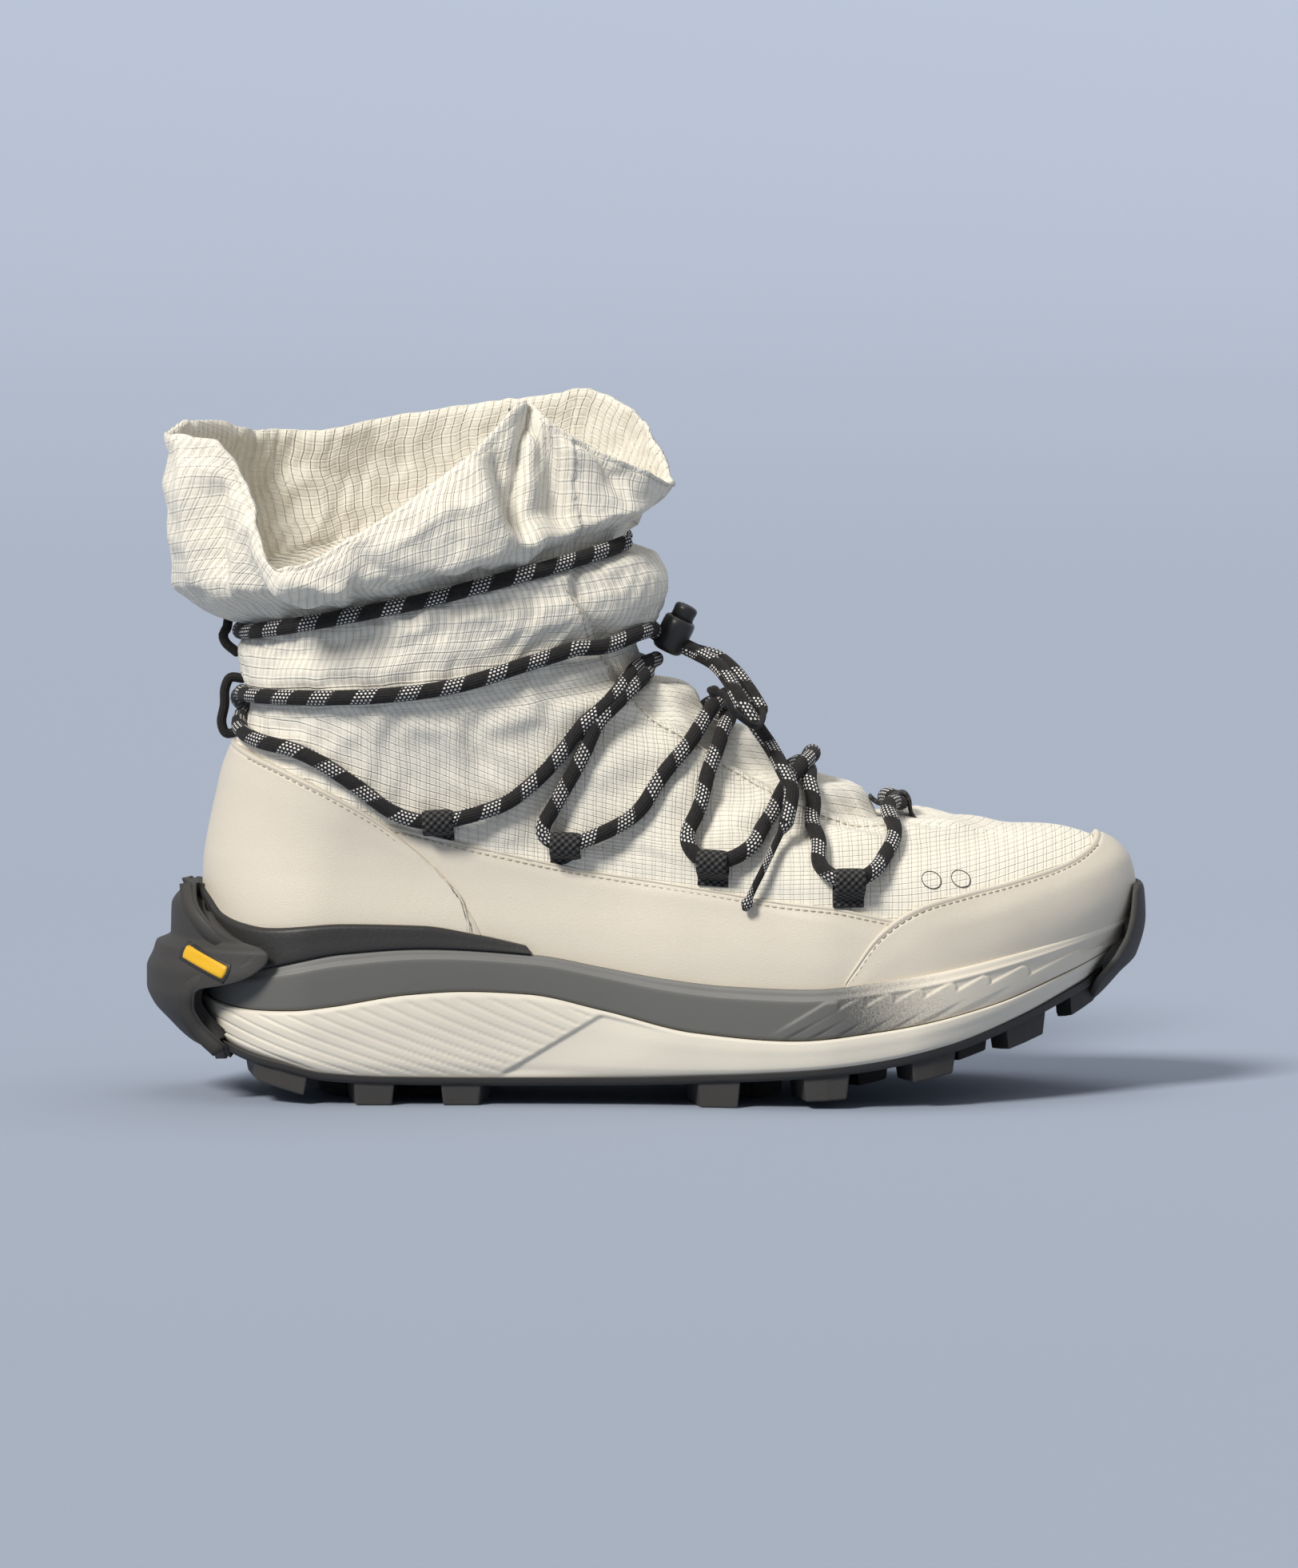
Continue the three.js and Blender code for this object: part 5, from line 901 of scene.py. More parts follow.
# How far the cloth moves when a little more of it is sewn on than its shape needs
def draped(grid, rings):
    rows = np.arange(0, len(rings), drape["rowStep"])
    columns = np.arange(0, grid.shape[1], drape["columnStep"])
    coarse = grid[np.ix_(rows, columns)]
    mesh = bpy.data.meshes.new("drape")
    mesh.from_pydata(inFrame(coarse.reshape(-1, 3)).tolist(), [], gridFaces(len(rows), len(columns), True).tolist())
    obj = bpy.data.objects.new("drape", mesh)
    bpy.context.scene.collection.objects.link(obj)
    held = obj.vertex_groups.new(name="held")
    weights = 1 - (1 - drape["hold"]) * smoothstep(6, 10, rings[rows])
    for i, weight in enumerate(weights):
        held.add(list(range(i * len(columns), (i + 1) * len(columns))), float(weight), "REPLACE")
    cloth = obj.modifiers.new("cloth", "CLOTH")
    how = cloth.settings
    how.quality, how.mass, how.air_damping = 7, 0.2, 2
    how.tension_stiffness = how.compression_stiffness = 18
    how.shear_stiffness, how.bending_stiffness = 6, 0.4
    how.shrink_min = -drape["spare"]
    how.vertex_group_mass, how.pin_stiffness = "held", 0.6
    how.use_pressure, how.uniform_pressure_force = True, 1.5
    how.effector_weights.gravity = 0
    cloth.collision_settings.use_collision = False
    cloth.collision_settings.use_self_collision = False
    cloth.point_cache.frame_start, cloth.point_cache.frame_end = 1, drape["frames"]
    for frameNumber in range(1, drape["frames"] + 1):
        bpy.context.scene.frame_set(frameNumber)
    after = obj.evaluated_get(bpy.context.evaluated_depsgraph_get()).data
    moved = np.empty(len(after.vertices) * 3)
    after.vertices.foreach_get("co", moved)
    moved = (moved.reshape(-1, 3) - inFrame(coarse.reshape(-1, 3))).reshape(coarse.shape) * 1000
    bpy.data.objects.remove(obj)
    bpy.context.scene.frame_set(1)
    size = np.linalg.norm(moved, axis=-1, keepdims=True)
    print("cloth moved up to", round(float(size.max()), 1), "mm, on average", round(float(size.mean()), 2))
    moved = moved * np.minimum(1, drape["cap"] / np.maximum(size, 1e-6)) ** 0.8
    fine = np.empty((len(rings), len(columns), 3))
    for j in range(len(columns)):
        for k in range(3):
            fine[:, j, k] = np.interp(np.arange(len(rings)), rows, moved[:, j, k])
    whole = np.empty(grid.shape)
    at = np.append(columns, grid.shape[1])
    for i in range(len(rings)):
        for k in range(3):
            whole[i, :, k] = np.interp(np.arange(grid.shape[1]), at, np.append(fine[i, :, k], fine[i, 0, k]))
    for _ in range(2):
        whole = (whole + np.roll(whole, 1, axis=1) + np.roll(whole, -1, axis=1)) / 3
        whole[1:-1] = (whole[1:-1] + whole[:-2] + whole[2:]) / 3
    return whole * smoothstep(7, 10, rings)[:, None, None]


# How far the cords push the cloth in, so that it lies under them and swells between them
def pressedBy(points, normals, cords, radius):
    tree = KDTree(sum(len(c) for c in cords))
    centres = np.vstack(cords)
    for i, c in enumerate(centres):
        tree.insert(c, i)
    tree.balance()
    flat, up = points.reshape(-1, 3), normals.reshape(-1, 3)
    found = [tree.find(p) for p in flat]
    away = flat - np.array([f[0] for f in found])
    height = np.sum(away * up, axis=1)
    aside = np.linalg.norm(away - height[:, None] * up, axis=1)
    reach = radius + 0.15
    limit = np.where(aside < reach * 0.8, -np.sqrt(np.maximum(0, reach**2 - aside**2)), -0.6 * reach + (aside - 0.8 * reach) * 0.9)
    push = np.maximum(0, height - limit) * (aside < reach * 2.6) * (height < reach * 2.5) * (height > -8)
    return push.reshape(points.shape[:-1])


def upperSkin():
    ringGrid, aroundGrid = np.meshgrid(outerRings, around, indexing="ij")
    base = upperPoint(ringGrid, aroundGrid, 0)
    normal = upperNormal(ringGrid, aroundGrid)
    seam = throatAway(base)
    collar = smoothstep(20.3, 22.5, ringGrid)
    depth = clothDepth(base) + foldLines(base, nearFolds) * collar * (base[..., 1] < 0)
    soft = smoothstep(14, 22, ringGrid)
    depth += smoothstep(7, 10, ringGrid) * 0.35 * noiseField(base, 1 / 22, 3.1)
    depth += soft * 1.1 * noiseField(base * np.array([1, 1, 1.6]), 1 / 15, 7.7)
    nearSeam = smoothstep(4.5, 9, ringGrid)
    depth += nearSeam * (
        0.9 * (1 - smoothstep(-0.9, 0.3, seam))
        - 1.1 * np.exp(-(((seam - 1.2) / 1.6) ** 2))
        + 1.4 * smoothstep(2, 9, seam) * (1 - smoothstep(20, 21, ringGrid))
    )
    hem = smoothstep(25.72, 25.8, ringGrid)
    depth += 0.5 * hem - 0.5 * np.exp(-(((ringGrid - 25.7) / 0.05) ** 2))
    outer = base + normal * depth[..., None]
    settled = draped(outer, outerRings)
    outer = outer + settled
    rim = outer[-1]
    heel = rim[:, 0] + boot["length"] / 2
    near = smoothstep(50, 60, heel) * (1 - smoothstep(138, 148, heel)) * (rim[:, 1] < 0)
    lift = (np.interp(heel, *np.array(nearRim).T) - rim[:, 2]) * near
    outer[..., 2] += lift[None] * smoothstep(22.4, 25.9, outerRings)[:, None]
    bend = unit(gridNormals(outer))
    for _ in range(2):
        outer = outer - bend * pressedBy(outer, bend, pressing, lace["diameter"] / 2)[..., None] * smoothstep(5, 8, ringGrid)[..., None]
    innerGrid, innerAround = np.meshgrid(innerRings, around, indexing="ij")
    wall = boot["wall"] + (boot["sleeve"] - boot["wall"]) * smoothstep(19, 22, innerGrid)
    inner = upperPoint(innerGrid, innerAround, 0)
    innerNormal = upperNormal(innerGrid, innerAround)
    at = np.array([np.abs(outerRings - r).argmin() for r in innerRings])
    follow = smoothstep(14, 19, innerGrid)[..., None]
    inner = inner + (outer - base)[at] * follow - innerNormal * wall[..., None]
    points = np.concatenate([outer, inner])
    rows, columns = points.shape[:2]
    plain = np.concatenate([np.concatenate([base, inner]), np.concatenate([base, inner])[:, :1]], axis=1)
    lengthAlong = np.concatenate([np.zeros((rows, 1)), np.cumsum(np.linalg.norm(np.diff(plain, axis=1), axis=2), axis=1)], axis=1)
    climb = np.cumsum(np.linalg.norm(np.diff(plain, axis=0), axis=2), axis=0)
    climb = np.concatenate([np.zeros((1, columns + 1)), climb], axis=0)
    girthShare = lengthAlong / lengthAlong[:, -1:]
    half = columns // 2
    girthMap = (girthShare - girthShare[:, half : half + 1]) * lengthAlong[len(outerRings) - 1, -1]
    footMap = np.stack([plain[..., 0], climb], axis=-1) / 1000
    shaftMap = np.stack([girthMap, climb - climb[len(outerRings) // 2]], axis=-1) / 1000
    tongueMap = np.stack([plain[..., 1], climb], axis=-1) / 1000
    faces = gridFaces(rows + 1, columns, True) % (rows * columns)
    maps = [np.concatenate([m, m[:1]]) for m in (footMap, shaftMap, tongueMap)]
    corners = [gridCorners(m) for m in maps]
    ringOfRow = np.concatenate([outerRings, innerRings])
    faceRing = np.repeat(ringOfRow, columns)
    seamOfFace = np.concatenate([seam, np.full((len(innerRings), columns), -9.0)]).reshape(-1)
    inside = np.arange(rows * columns) // columns >= len(outerRings)
    kind = np.where(inside | (faceRing > 15.2), 1, np.where((seamOfFace > 0) & (faceRing > 8), 2, 0))
    uv = np.choose(kind[:, None, None], corners)
    looks = (inside | (faceRing > 18)).astype(int)
    return meshObject("upper_shell", points, faces, uv, materials=[fabric, gathered], faceMaterial=looks, tidy=False), outer


upperShell, outerGrid = upperSkin()
bm = bmesh.new()
bm.from_mesh(upperShell.data)
bmesh.ops.recalc_face_normals(bm, faces=bm.faces)
bm.to_mesh(upperShell.data)
bm.free()
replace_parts(ride(upperShell), "upper", "tongue")
print("upper made")


# Points on the settled fabric
def onCloth(ring, turn, lift=0.0):
    row = np.interp(ring, outerRings, np.arange(len(outerRings)))
    column = np.asarray(turn) * upper["columns"]
    up = gridNormals(outerGrid)
    i, j = np.floor(row).astype(int), np.floor(column).astype(int)
    a, b = (row - i)[..., None], (column - j)[..., None]
    i2, j, j2 = np.minimum(i + 1, len(outerRings) - 1), j % upper["columns"], (j + 1) % upper["columns"]

    def at(grid):
        return (grid[i, j] * (1 - a) + grid[i2, j] * a) * (1 - b) + (grid[i, j2] * (1 - a) + grid[i2, j2] * a) * b

    return at(outerGrid) + unit(at(up)) * lift


# Overlays: leather panels over the foot, each a closed shell with rounded edges.
overlay = {"thickness": 1.5, "edge": 0.5, "stitchInset": 1.7, "stitchSink": 0.34}
counterEdge = [
    (0.085, 0.5065), (0.107, 0.4905), (0.133, 0.4755), (0.159, 0.4585), (0.1855, 0.4405), (0.2115, 0.42),
    (0.238, 0.397), (0.264, 0.3675), (0.291, 0.334), (0.311, 0.3), (0.327, 0.2665), (0.337, 0.235), (0.342, 0.19), (0.344, 0.15),
]
guardEdge = [
    (0.2, 0.405), (0.242, 0.3955), (0.275, 0.3845), (0.317, 0.369), (0.369, 0.3525), (0.414, 0.339), (0.452, 0.3295),
    (0.51, 0.317), (0.569, 0.305), (0.628, 0.292), (0.686, 0.284), (0.7155, 0.2755), (0.76, 0.262), (0.8, 0.25),
]
capEdge = [
    (0.681, 0.11), (0.69, 0.15), (0.695, 0.176), (0.707, 0.2045), (0.724, 0.239), (0.741, 0.2615), (0.768, 0.2835),
    (0.809, 0.299), (0.857, 0.313), (0.906, 0.33), (0.93, 0.344), (0.946, 0.361), (0.9485, 0.3755),
]


def shifted(edge, distance):
    e = np.array(edge, float) * [boot["length"], boot["height"]]
    run = unit(np.gradient(e, axis=0))
    return (e + np.stack([-run[:, 1], run[:, 0]], axis=1) * distance) / [boot["length"], boot["height"]]


# An edge seen from the outer side, as rings and arounds
def edgeOnUpper(edge, lift, step=2.2, top=20.0):
    mm = smoothPath(np.array(edge) * [boot["length"], boot["height"]], 6)
    mm = evenly(mm, step)
    return placesOnUpper(mm / [boot["length"], boot["height"]], -1, lift, 1.0, top)


def overlayPiece(name, found, ends, low, thickness, lowRing=1.6, columns=150, closedBack=False, closedFront=False):
    order = np.argsort(found[:, 1])
    arounds, tops = found[order, 1], found[order, 0]
    cols = np.unique(np.concatenate([np.linspace(ends[0], ends[1], columns), arounds[(arounds > ends[0]) & (arounds < ends[1])]]))
    tops = np.interp(cols, arounds, tops)
    if closedBack:
        cols = np.concatenate([-cols[::-1], cols[1:]])
        tops = np.concatenate([tops[::-1], tops[1:]])
    if closedFront:
        cols = np.concatenate([cols, 1 - cols[::-1][1:]])
        tops = np.concatenate([tops, tops[::-1][1:]])
    tops = np.maximum(tops, lowRing + 0.01)
    perRing = np.linalg.norm(upperForm(tops, cols) - upperForm(tops - 0.3, cols), axis=1) / 0.3
    height = (tops - lowRing) * perRing
    inset = np.array([0, 0.06, 0.18, 0.36, 0.6, 0.9, 1.2, 1.45, 1.7, 1.95, 2.3, 2.8, 3.5, 4.5])
    fixed = np.minimum(inset[:, None], height[None] * 0.5)
    distance = np.concatenate([fixed, fixed[-1] + (height - fixed[-1]) * np.linspace(0.04, 1, 26)[:, None]])
    rings = tops[None] - distance / perRing[None]
    rings = np.maximum(rings, lowRing)
    grid = np.broadcast_to(cols[None], rings.shape)
    rounded = np.sqrt(np.clip(1 - (1 - np.clip(distance / overlay["edge"], 0, 1)) ** 2, 0, 1))
    sunk = overlay["stitchSink"] * np.exp(-(((distance - overlay["stitchInset"]) / 0.35) ** 2))
    swell = 0.35 * smoothstep(2, 9, distance)
    base = upperPoint(rings, grid, 0)
    wander = 0.25 * noiseField(base, 1 / 28, 11.3)
    outer = upperPoint(rings, grid, low + thickness * rounded + (swell - sunk) * rounded + wander)
    inner = upperPoint(rings, grid, low - 0.25)
    piece = slab(name, outer, inner, materials=[panelLeather])
    return ride(piece)


def mirrored(found):
    other = found.copy()
    other[:, 1] = 1 - other[:, 1]
    return other


counterFound = edgeOnUpper(counterEdge, 1.7)
counterFound[0, 1] = 0.0
guardFound = edgeOnUpper(guardEdge, 1.2)
capFound = edgeOnUpper(capEdge, 1.7)
capFound[-1, 1] = 0.5
counter = overlayPiece("counter_panel", counterFound, (0.0, counterFound[:, 1].max()), 0.85, overlay["thickness"], closedBack=True)
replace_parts(counter, "heel_counter")
cap = overlayPiece("toe_cap_panel", capFound, (capFound[:, 1].min(), 0.5), 0.85, overlay["thickness"], closedFront=True)
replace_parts(cap, "toe_cap")
guardSpan = (guardFound[:, 1].min() + 0.01, guardFound[:, 1].max() - 0.002)
for name, found, span in (("lateral", guardFound, guardSpan), ("medial", mirrored(guardFound), (1 - guardSpan[1], 1 - guardSpan[0]))):
    guard = overlayPiece(f"side_panel_{name}", found, span, 0.2, 1.15)
    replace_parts(guard, f"mudguard_{name}")
print("overlays made")

# Sole layers. Each row is one level: height share, ends as length shares, and how far it stands out.
carrier = {"bottom": carrierBottomLine, "top": carrierTopLine, "heelRound": 0.12, "toeRound": 0.2, "levels": np.array([
    (0, 0.066, 0.945, -2.4), (0.1, 0.058, 0.95, -1.2), (0.2, 0.054, 0.953, -0.6), (0.5, 0.0515, 0.958, -0.1), (0.75, 0.05, 0.963, 0.2),
    (0.94, 0.0505, 0.9655, 0.1), (1, 0.053, 0.966, -0.5),
])}
foam = {"bottom": carrierTopLine, "top": foamTopLine, "heelRound": 0.12, "toeRound": 0.2, "levels": np.array([
    (0, 0.053, 0.966, -1.2), (0.06, 0.052, 0.968, -0.7), (0.7, 0.051, 0.978, -0.4), (0.78, 0.0512, 0.98, -0.55), (0.84, 0.052, 0.982, -1.3),
    (0.96, 0.0526, 0.984, -2.0), (1, 0.0535, 0.9845, -2.6),
])}
cradle = {"bottom": foamTopLine, "top": cradleTopLine, "heelRound": 0.12, "levels": np.array([
    (0, 0.0485, 0.386, -1.7), (0.08, 0.0482, 0.386, -1.35), (0.5, 0.0485, 0.384, -1.7), (0.92, 0.0498, 0.381, -2.2), (1, 0.0512, 0.38, -3.0),
])}
tread = {"under": 2.0, "rim": 0.5}


def soleHalf(x, side, grow):
    breadth = np.where(side < 0, rowsAt(soleBreadth[:, 0], soleBreadth[:, 1], x), rowsAt(soleBreadth[:, 0], soleBreadth[:, 2], x))
    return breadth * boot["soleWidth"] / 2 + grow


def soleGrid(layer, shares, turns, bottomLift=0.0, topLift=0.0, grow=0.0):
    share, turn = np.meshgrid(shares, turns, indexing="ij")
    levels = layer["levels"]
    backEnd, frontEnd, out = (rowsAt(levels[:, 0], levels[:, i], share) for i in (1, 2, 3))
    turn = turn - np.floor(turn)
    side = np.where(turn < 0.5, -1, 1)
    along = (1 - np.cos(2 * np.pi * turn)) / 2
    x = backEnd + (frontEnd - backEnd) * along
    ends = roundEnd((x - backEnd) / layer["heelRound"])
    if "toeRound" in layer:
        ends = ends * roundEnd((frontEnd - x) / layer["toeRound"])
    low = lineAt(layer["bottom"], x) * boot["soleHeight"] + bottomLift
    high = lineAt(layer["top"], x) * boot["soleHeight"] + topLift
    return place(x, side * soleHalf(x, side, out + grow) * ends + footCurve(x), low + (high - low) * share)


# A ring inside the foot's wall, at heights z
def lastRing(turns, z, inset):
    side = np.where((turns - np.floor(turns)) < 0.5, -1, 1)
    along = (1 - np.cos(2 * np.pi * turns)) / 2
    x = 0.0665 + (0.979 - 0.0665) * along
    breadth = np.where(side < 0, rowsAt(upperBreadth[:, 0], upperBreadth[:, 1], x), rowsAt(upperBreadth[:, 0], upperBreadth[:, 2], x))
    ends = roundEnd((x - 0.0665) / 0.12) * roundEnd((0.979 - x) / 0.205)
    return place(x, side * (breadth * boot["ballWidth"] / 2 - inset) * ends + footCurve(x), z(x))


# A closed piece through rings of equal length, with flat covers in strips from side to side
def loft(name, rings, material):
    rings = np.asarray(rings)
    rows, columns = rings.shape[:2]
    faces = [list(f) for f in gridFaces(rows, columns, True)]
    half = columns // 2
    for first, up in ((0, False), ((rows - 1) * columns, True)):
        for j in range(half):
            a, b, c, d = first + j, first + j + 1, first + (columns - j - 1) % columns, first + (columns - j) % columns
            quad = [a, b, c] if j == 0 else [a, b, d] if j == half - 1 else [a, b, c, d]
            faces.append(quad if up else quad[::-1])
    return meshObject(name, rings.reshape(-1, 3), faces, materials=[material])


# The carrier's ribs, in millimetres from the heel and the floor.
ribs = {"pitch": 8.6, "depth": 0.42, "width": 0.84, "slope": 1.75, "curve": 0.024, "top": 38}
facet = {"at": 100.6, "lean": 1.64, "depth": 0.9}  # the diagonal that ends the ribs, from the floor up to the toe
fingers = {"halfWidth": 2.0, "edge": 0.55, "depth": 0.6}
fingerLines = [  # lower and upper ends, millimetres from the heel and the floor
    (181.0, 20.8, 197.9, 30.6), (186.7, 20.5, 205.8, 31.0), (193.3, 20.5, 214.1, 32.2), (200.6, 21.2, 222.7, 33.5), (208.8, 22.4, 232.1, 35.1),
    (217.0, 24.2, 241.9, 36.7), (227.5, 26.9, 253.3, 38.8), (239.8, 29.9, 269.5, 42.0), (254.9, 33.8, 281.0, 43.4),
]


# Slanted grooves on the heel half that end on a diagonal facet
def carrierPattern(grid, shares):
    x = grid[..., 0] + boot["length"] / 2
    z = grid[..., 2]
    share = np.broadcast_to(shares[:, None], x.shape)
    drop = ribs["top"] - z  # each groove runs down towards the toe, a little more with every millimetre
    phase = (x - drop * ribs["slope"] - ribs["curve"] * drop**2) / ribs["pitch"]
    groove = np.exp(-(((phase - np.round(phase)) * ribs["pitch"] / ribs["width"]) ** 2))
    past = x - (facet["at"] + (z - 8) * facet["lean"])
    low = smoothstep(0.02, 0.1, share) * (1 - smoothstep(0.9, 0.97, share))
    inField = smoothstep(18, 24, x) * (1 - smoothstep(-2.6, -1.2, past))
    depth = -ribs["depth"] * groove * low * inField
    depth -= facet["depth"] * smoothstep(-1.0, 1.5, past) * (1 - smoothstep(0, 34, past)) * low
    return depth


# Raised slanted fingers with round tips at the forefoot, under the foam's ledge
def fingerPattern(grid, shares):
    x, z = grid[..., 0] + boot["length"] / 2, grid[..., 2]
    share = np.broadcast_to(shares[:, None], x.shape)
    depth = np.zeros(x.shape)
    for x0, z0, x1, z1 in fingerLines:
        run = np.array([x1 - x0, z1 - z0])
        t = np.clip(((x - x0) * run[0] + (z - z0) * run[1]) / (run @ run), -0.3, 0.93)
        away = np.hypot(x - x0 - t * run[0], z - z0 - t * run[1])
        half = fingers["halfWidth"] * (0.75 + 0.35 * np.clip(t, 0, 1))
        fade = smoothstep(-0.15, 0.35, t)
        depth = np.maximum(depth, fade * (1 - smoothstep(half - fingers["edge"], half + 0.15, away)))
    return fingers["depth"] * (depth - 0.8 * smoothstep(196, 206, x)) * (1 - smoothstep(0.7, 0.78, share)) * smoothstep(0, 0.05, share)


soleTurns = np.arange(1500) / 1500
shares = np.linspace(0, 1, 44)
grid = soleGrid(carrier, shares, soleTurns, 0.0, -0.15)
grid = grid + gridNormals(grid) * carrierPattern(grid, shares)[..., None]
piece = loft("carrier_moulding", grid, carrierFoam)
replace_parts(ride(piece), "midsole_carrier")

shares = np.linspace(0, 1, 40)
grid = soleGrid(foam, shares, soleTurns, 0.15, 0.0)
grid = grid + gridNormals(grid) * fingerPattern(grid, shares)[..., None]
bedUnder = lambda x: lineAt(bedLine, x) * boot["soleHeight"] - 1.2
rimTop = lambda x: lineAt(foamTopLine, x) * boot["soleHeight"] - 0.4
rings = [*grid, lastRing(soleTurns, rimTop, 0.8), lastRing(soleTurns, bedUnder, 1.4)]
piece = loft("foam_moulding", rings, foamLook)
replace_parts(ride(piece), "midsole_foam")

cradleTurns = np.linspace(-0.4985, 0.4985, 520)
shares = np.linspace(0, 1, 22)
outerCradle = soleGrid(cradle, shares, cradleTurns, 0.1, 0.0)
innerCradle = soleGrid(cradle, shares, cradleTurns, 0.1, 0.0, -4.6)
innerCradle[..., 0] += 4.0 * (1 - smoothstep(14, 60, innerCradle[..., 0] + 144))
piece = slab("cradle_band", outerCradle, innerCradle, materials=[cradleRubber])
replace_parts(ride(piece), "heel_cradle")
print("midsole made")

# Outsole: a thin tread plate, lugs, a clip round the heel and a bumper round the toe.
plateLevels = np.array([(0, 0.058, 0.957, -3.2), (0.3, 0.055, 0.957, -2.3), (1, 0.052, 0.957, -1.5)])
plate = {"bottom": carrierBottomLine, "top": carrierBottomLine, "heelRound": 0.12, "toeRound": 0.2, "levels": plateLevels}
grid = soleGrid(plate, np.linspace(0, 1, 8), np.arange(480) / 480, -tread["under"], tread["rim"])
piece = loft("tread_plate", grid, treadRubber)
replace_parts(ride(piece), "outsole")

clipLevels = np.array([  # z share of the sole height, rear end, stand-out
    (0.2, 0.082, -0.6), (0.25, 0.066, 0), (0.295, 0.046, 0.4), (0.42, 0.0215, 1), (0.52, 0.006, 1.3), (0.61, 0.0, 1.4),
    (0.71, 0.0, 1.4), (0.8, 0.0065, 1.2), (0.862, 0.0105, 0.9), (0.872, 0.0175, 0.6), (0.9, 0.024, 0.3), (1.06, 0.025, 0.3), (1.2, 0.045, 0.1),
])
clipFront = np.array([  # z share of the boot's height, how far forward the clip reaches
    (0.05, 0.086), (0.0725, 0.084), (0.0805, 0.08), (0.0965, 0.068), (0.113, 0.0575), (0.134, 0.051), (0.152, 0.052), (0.162, 0.06),
    (0.168, 0.08), (0.177, 0.101), (0.189, 0.116), (0.203, 0.126), (0.214, 0.128), (0.224, 0.12), (0.2305, 0.101), (0.2425, 0.08),
    (0.263, 0.062), (0.285, 0.0525), (0.31, 0.0485),
])
bumperLevels = np.array([
    (0.5, 0.945, -3), (0.56, 0.957, -2), (0.665, 0.974, -1), (0.77, 0.991, 0), (0.985, 1.0, 0.4), (1.13, 0.9985, 0),
    (1.22, 0.991, -1), (1.345, 0.974, -2.2),
])
bumperBack = np.array([
    (0.1, 0.94), (0.157, 0.951), (0.179, 0.963), (0.205, 0.975), (0.229, 0.984), (0.262, 0.989), (0.3, 0.991), (0.33, 0.988),
])


def wrapGrid(levels, front, zs, columns, heel, roundness):
    rows = []
    for z in zs:
        s = np.linspace(-1, 1, columns)
        heights = levels[:, 0] * boot["soleHeight"] / boot["height"]
        end = rowsAt(heights, levels[:, 1], z)
        grow = rowsAt(heights, levels[:, 2], z) - 0.9 * np.abs(s) ** 8 * heel  # the heel's clip thins to its front edge
        reach = rowsAt(front[:, 0], front[:, 1], z)
        lay = np.sin(np.abs(s) * np.pi / 2) ** 1.6
        side = np.where(s < 0, -1, 1)
        x = end + (reach - end) * lay if heel else end - (end - reach) * lay
        ends = roundEnd(np.abs(x - end) / roundness)
        rows.append(place(x, side * soleHalf(x, side, grow) * ends + footCurve(x), z * boot["height"]))
    return np.array(rows)


def wrapPiece(name, levels, front, low, high, heel, roundness, thick):
    zs = np.concatenate([[low], np.linspace(low + 0.001, high - 0.001, 70), [high]])
    outer = wrapGrid(levels, front, zs, 200, heel, roundness)
    rows, columns = outer.shape[:2]
    normal = gridNormals(outer, wrap=False)
    centre = outer.reshape(-1, 3).mean(0)
    if np.mean(np.sum(normal * (outer - centre), axis=-1)) < 0:
        normal = -normal
    # distance to the open edges, for rounding them
    edgeAcross = np.minimum(arcRows(outer), arcRows(outer[:, ::-1])[:, ::-1])
    edgeUp = np.minimum(arcColumns(outer), arcColumns(outer[::-1])[::-1])
    away = np.minimum(edgeAcross, edgeUp)
    rounded = np.sqrt(np.clip(1 - (1 - np.clip(away / 1.5, 0, 1)) ** 2, 0, 1))
    skin = outer + normal * (1.5 * (rounded - 1))[..., None]
    inner = outer - normal * thick
    piece = slab(name, skin, inner, materials=[treadRubber])
    return ride(piece)


def arcRows(grid):
    return np.concatenate([np.zeros((grid.shape[0], 1)), np.cumsum(np.linalg.norm(np.diff(grid, axis=1), axis=2), axis=1)], axis=1)


def arcColumns(grid):
    return np.concatenate([np.zeros((1, grid.shape[1])), np.cumsum(np.linalg.norm(np.diff(grid, axis=0), axis=2), axis=0)], axis=0)


wrapPiece("heel_clip", clipLevels, clipFront, 0.053, 0.305, True, 0.13, 4.5)
wrapPiece("toe_bumper", bumperLevels, bumperBack, 0.128, 0.3, False, 0.165, 1.7)

lugRows = [  # middle, length, from, to, slant
    (0.132, 0.058, 0.35, 0.97, 0.01), (0.226, 0.044, 0.42, 0.97, 0.008), (0.32, 0.044, 0.42, 0.97, -0.008),
    (0.566, 0.046, 0.5, 0.97, 0.012), (0.672, 0.05, 0.52, 0.97, 0.012), (0.777, 0.048, 0.52, 0.97, 0.014),
    (0.87, 0.044, 0.45, 0.95, 0.014), (0.93, 0.03, 0.1, 0.8, 0.012), (0.179, 0.034, 0.06, 0.34, 0.016),
    (0.273, 0.034, 0.06, 0.34, 0.016), (0.61, 0.036, 0.07, 0.42, 0.02), (0.715, 0.036, 0.07, 0.42, 0.02),
    (0.815, 0.034, 0.07, 0.42, 0.02),
]
lugLook = {"taper": 0.14, "edge": 0.0005}


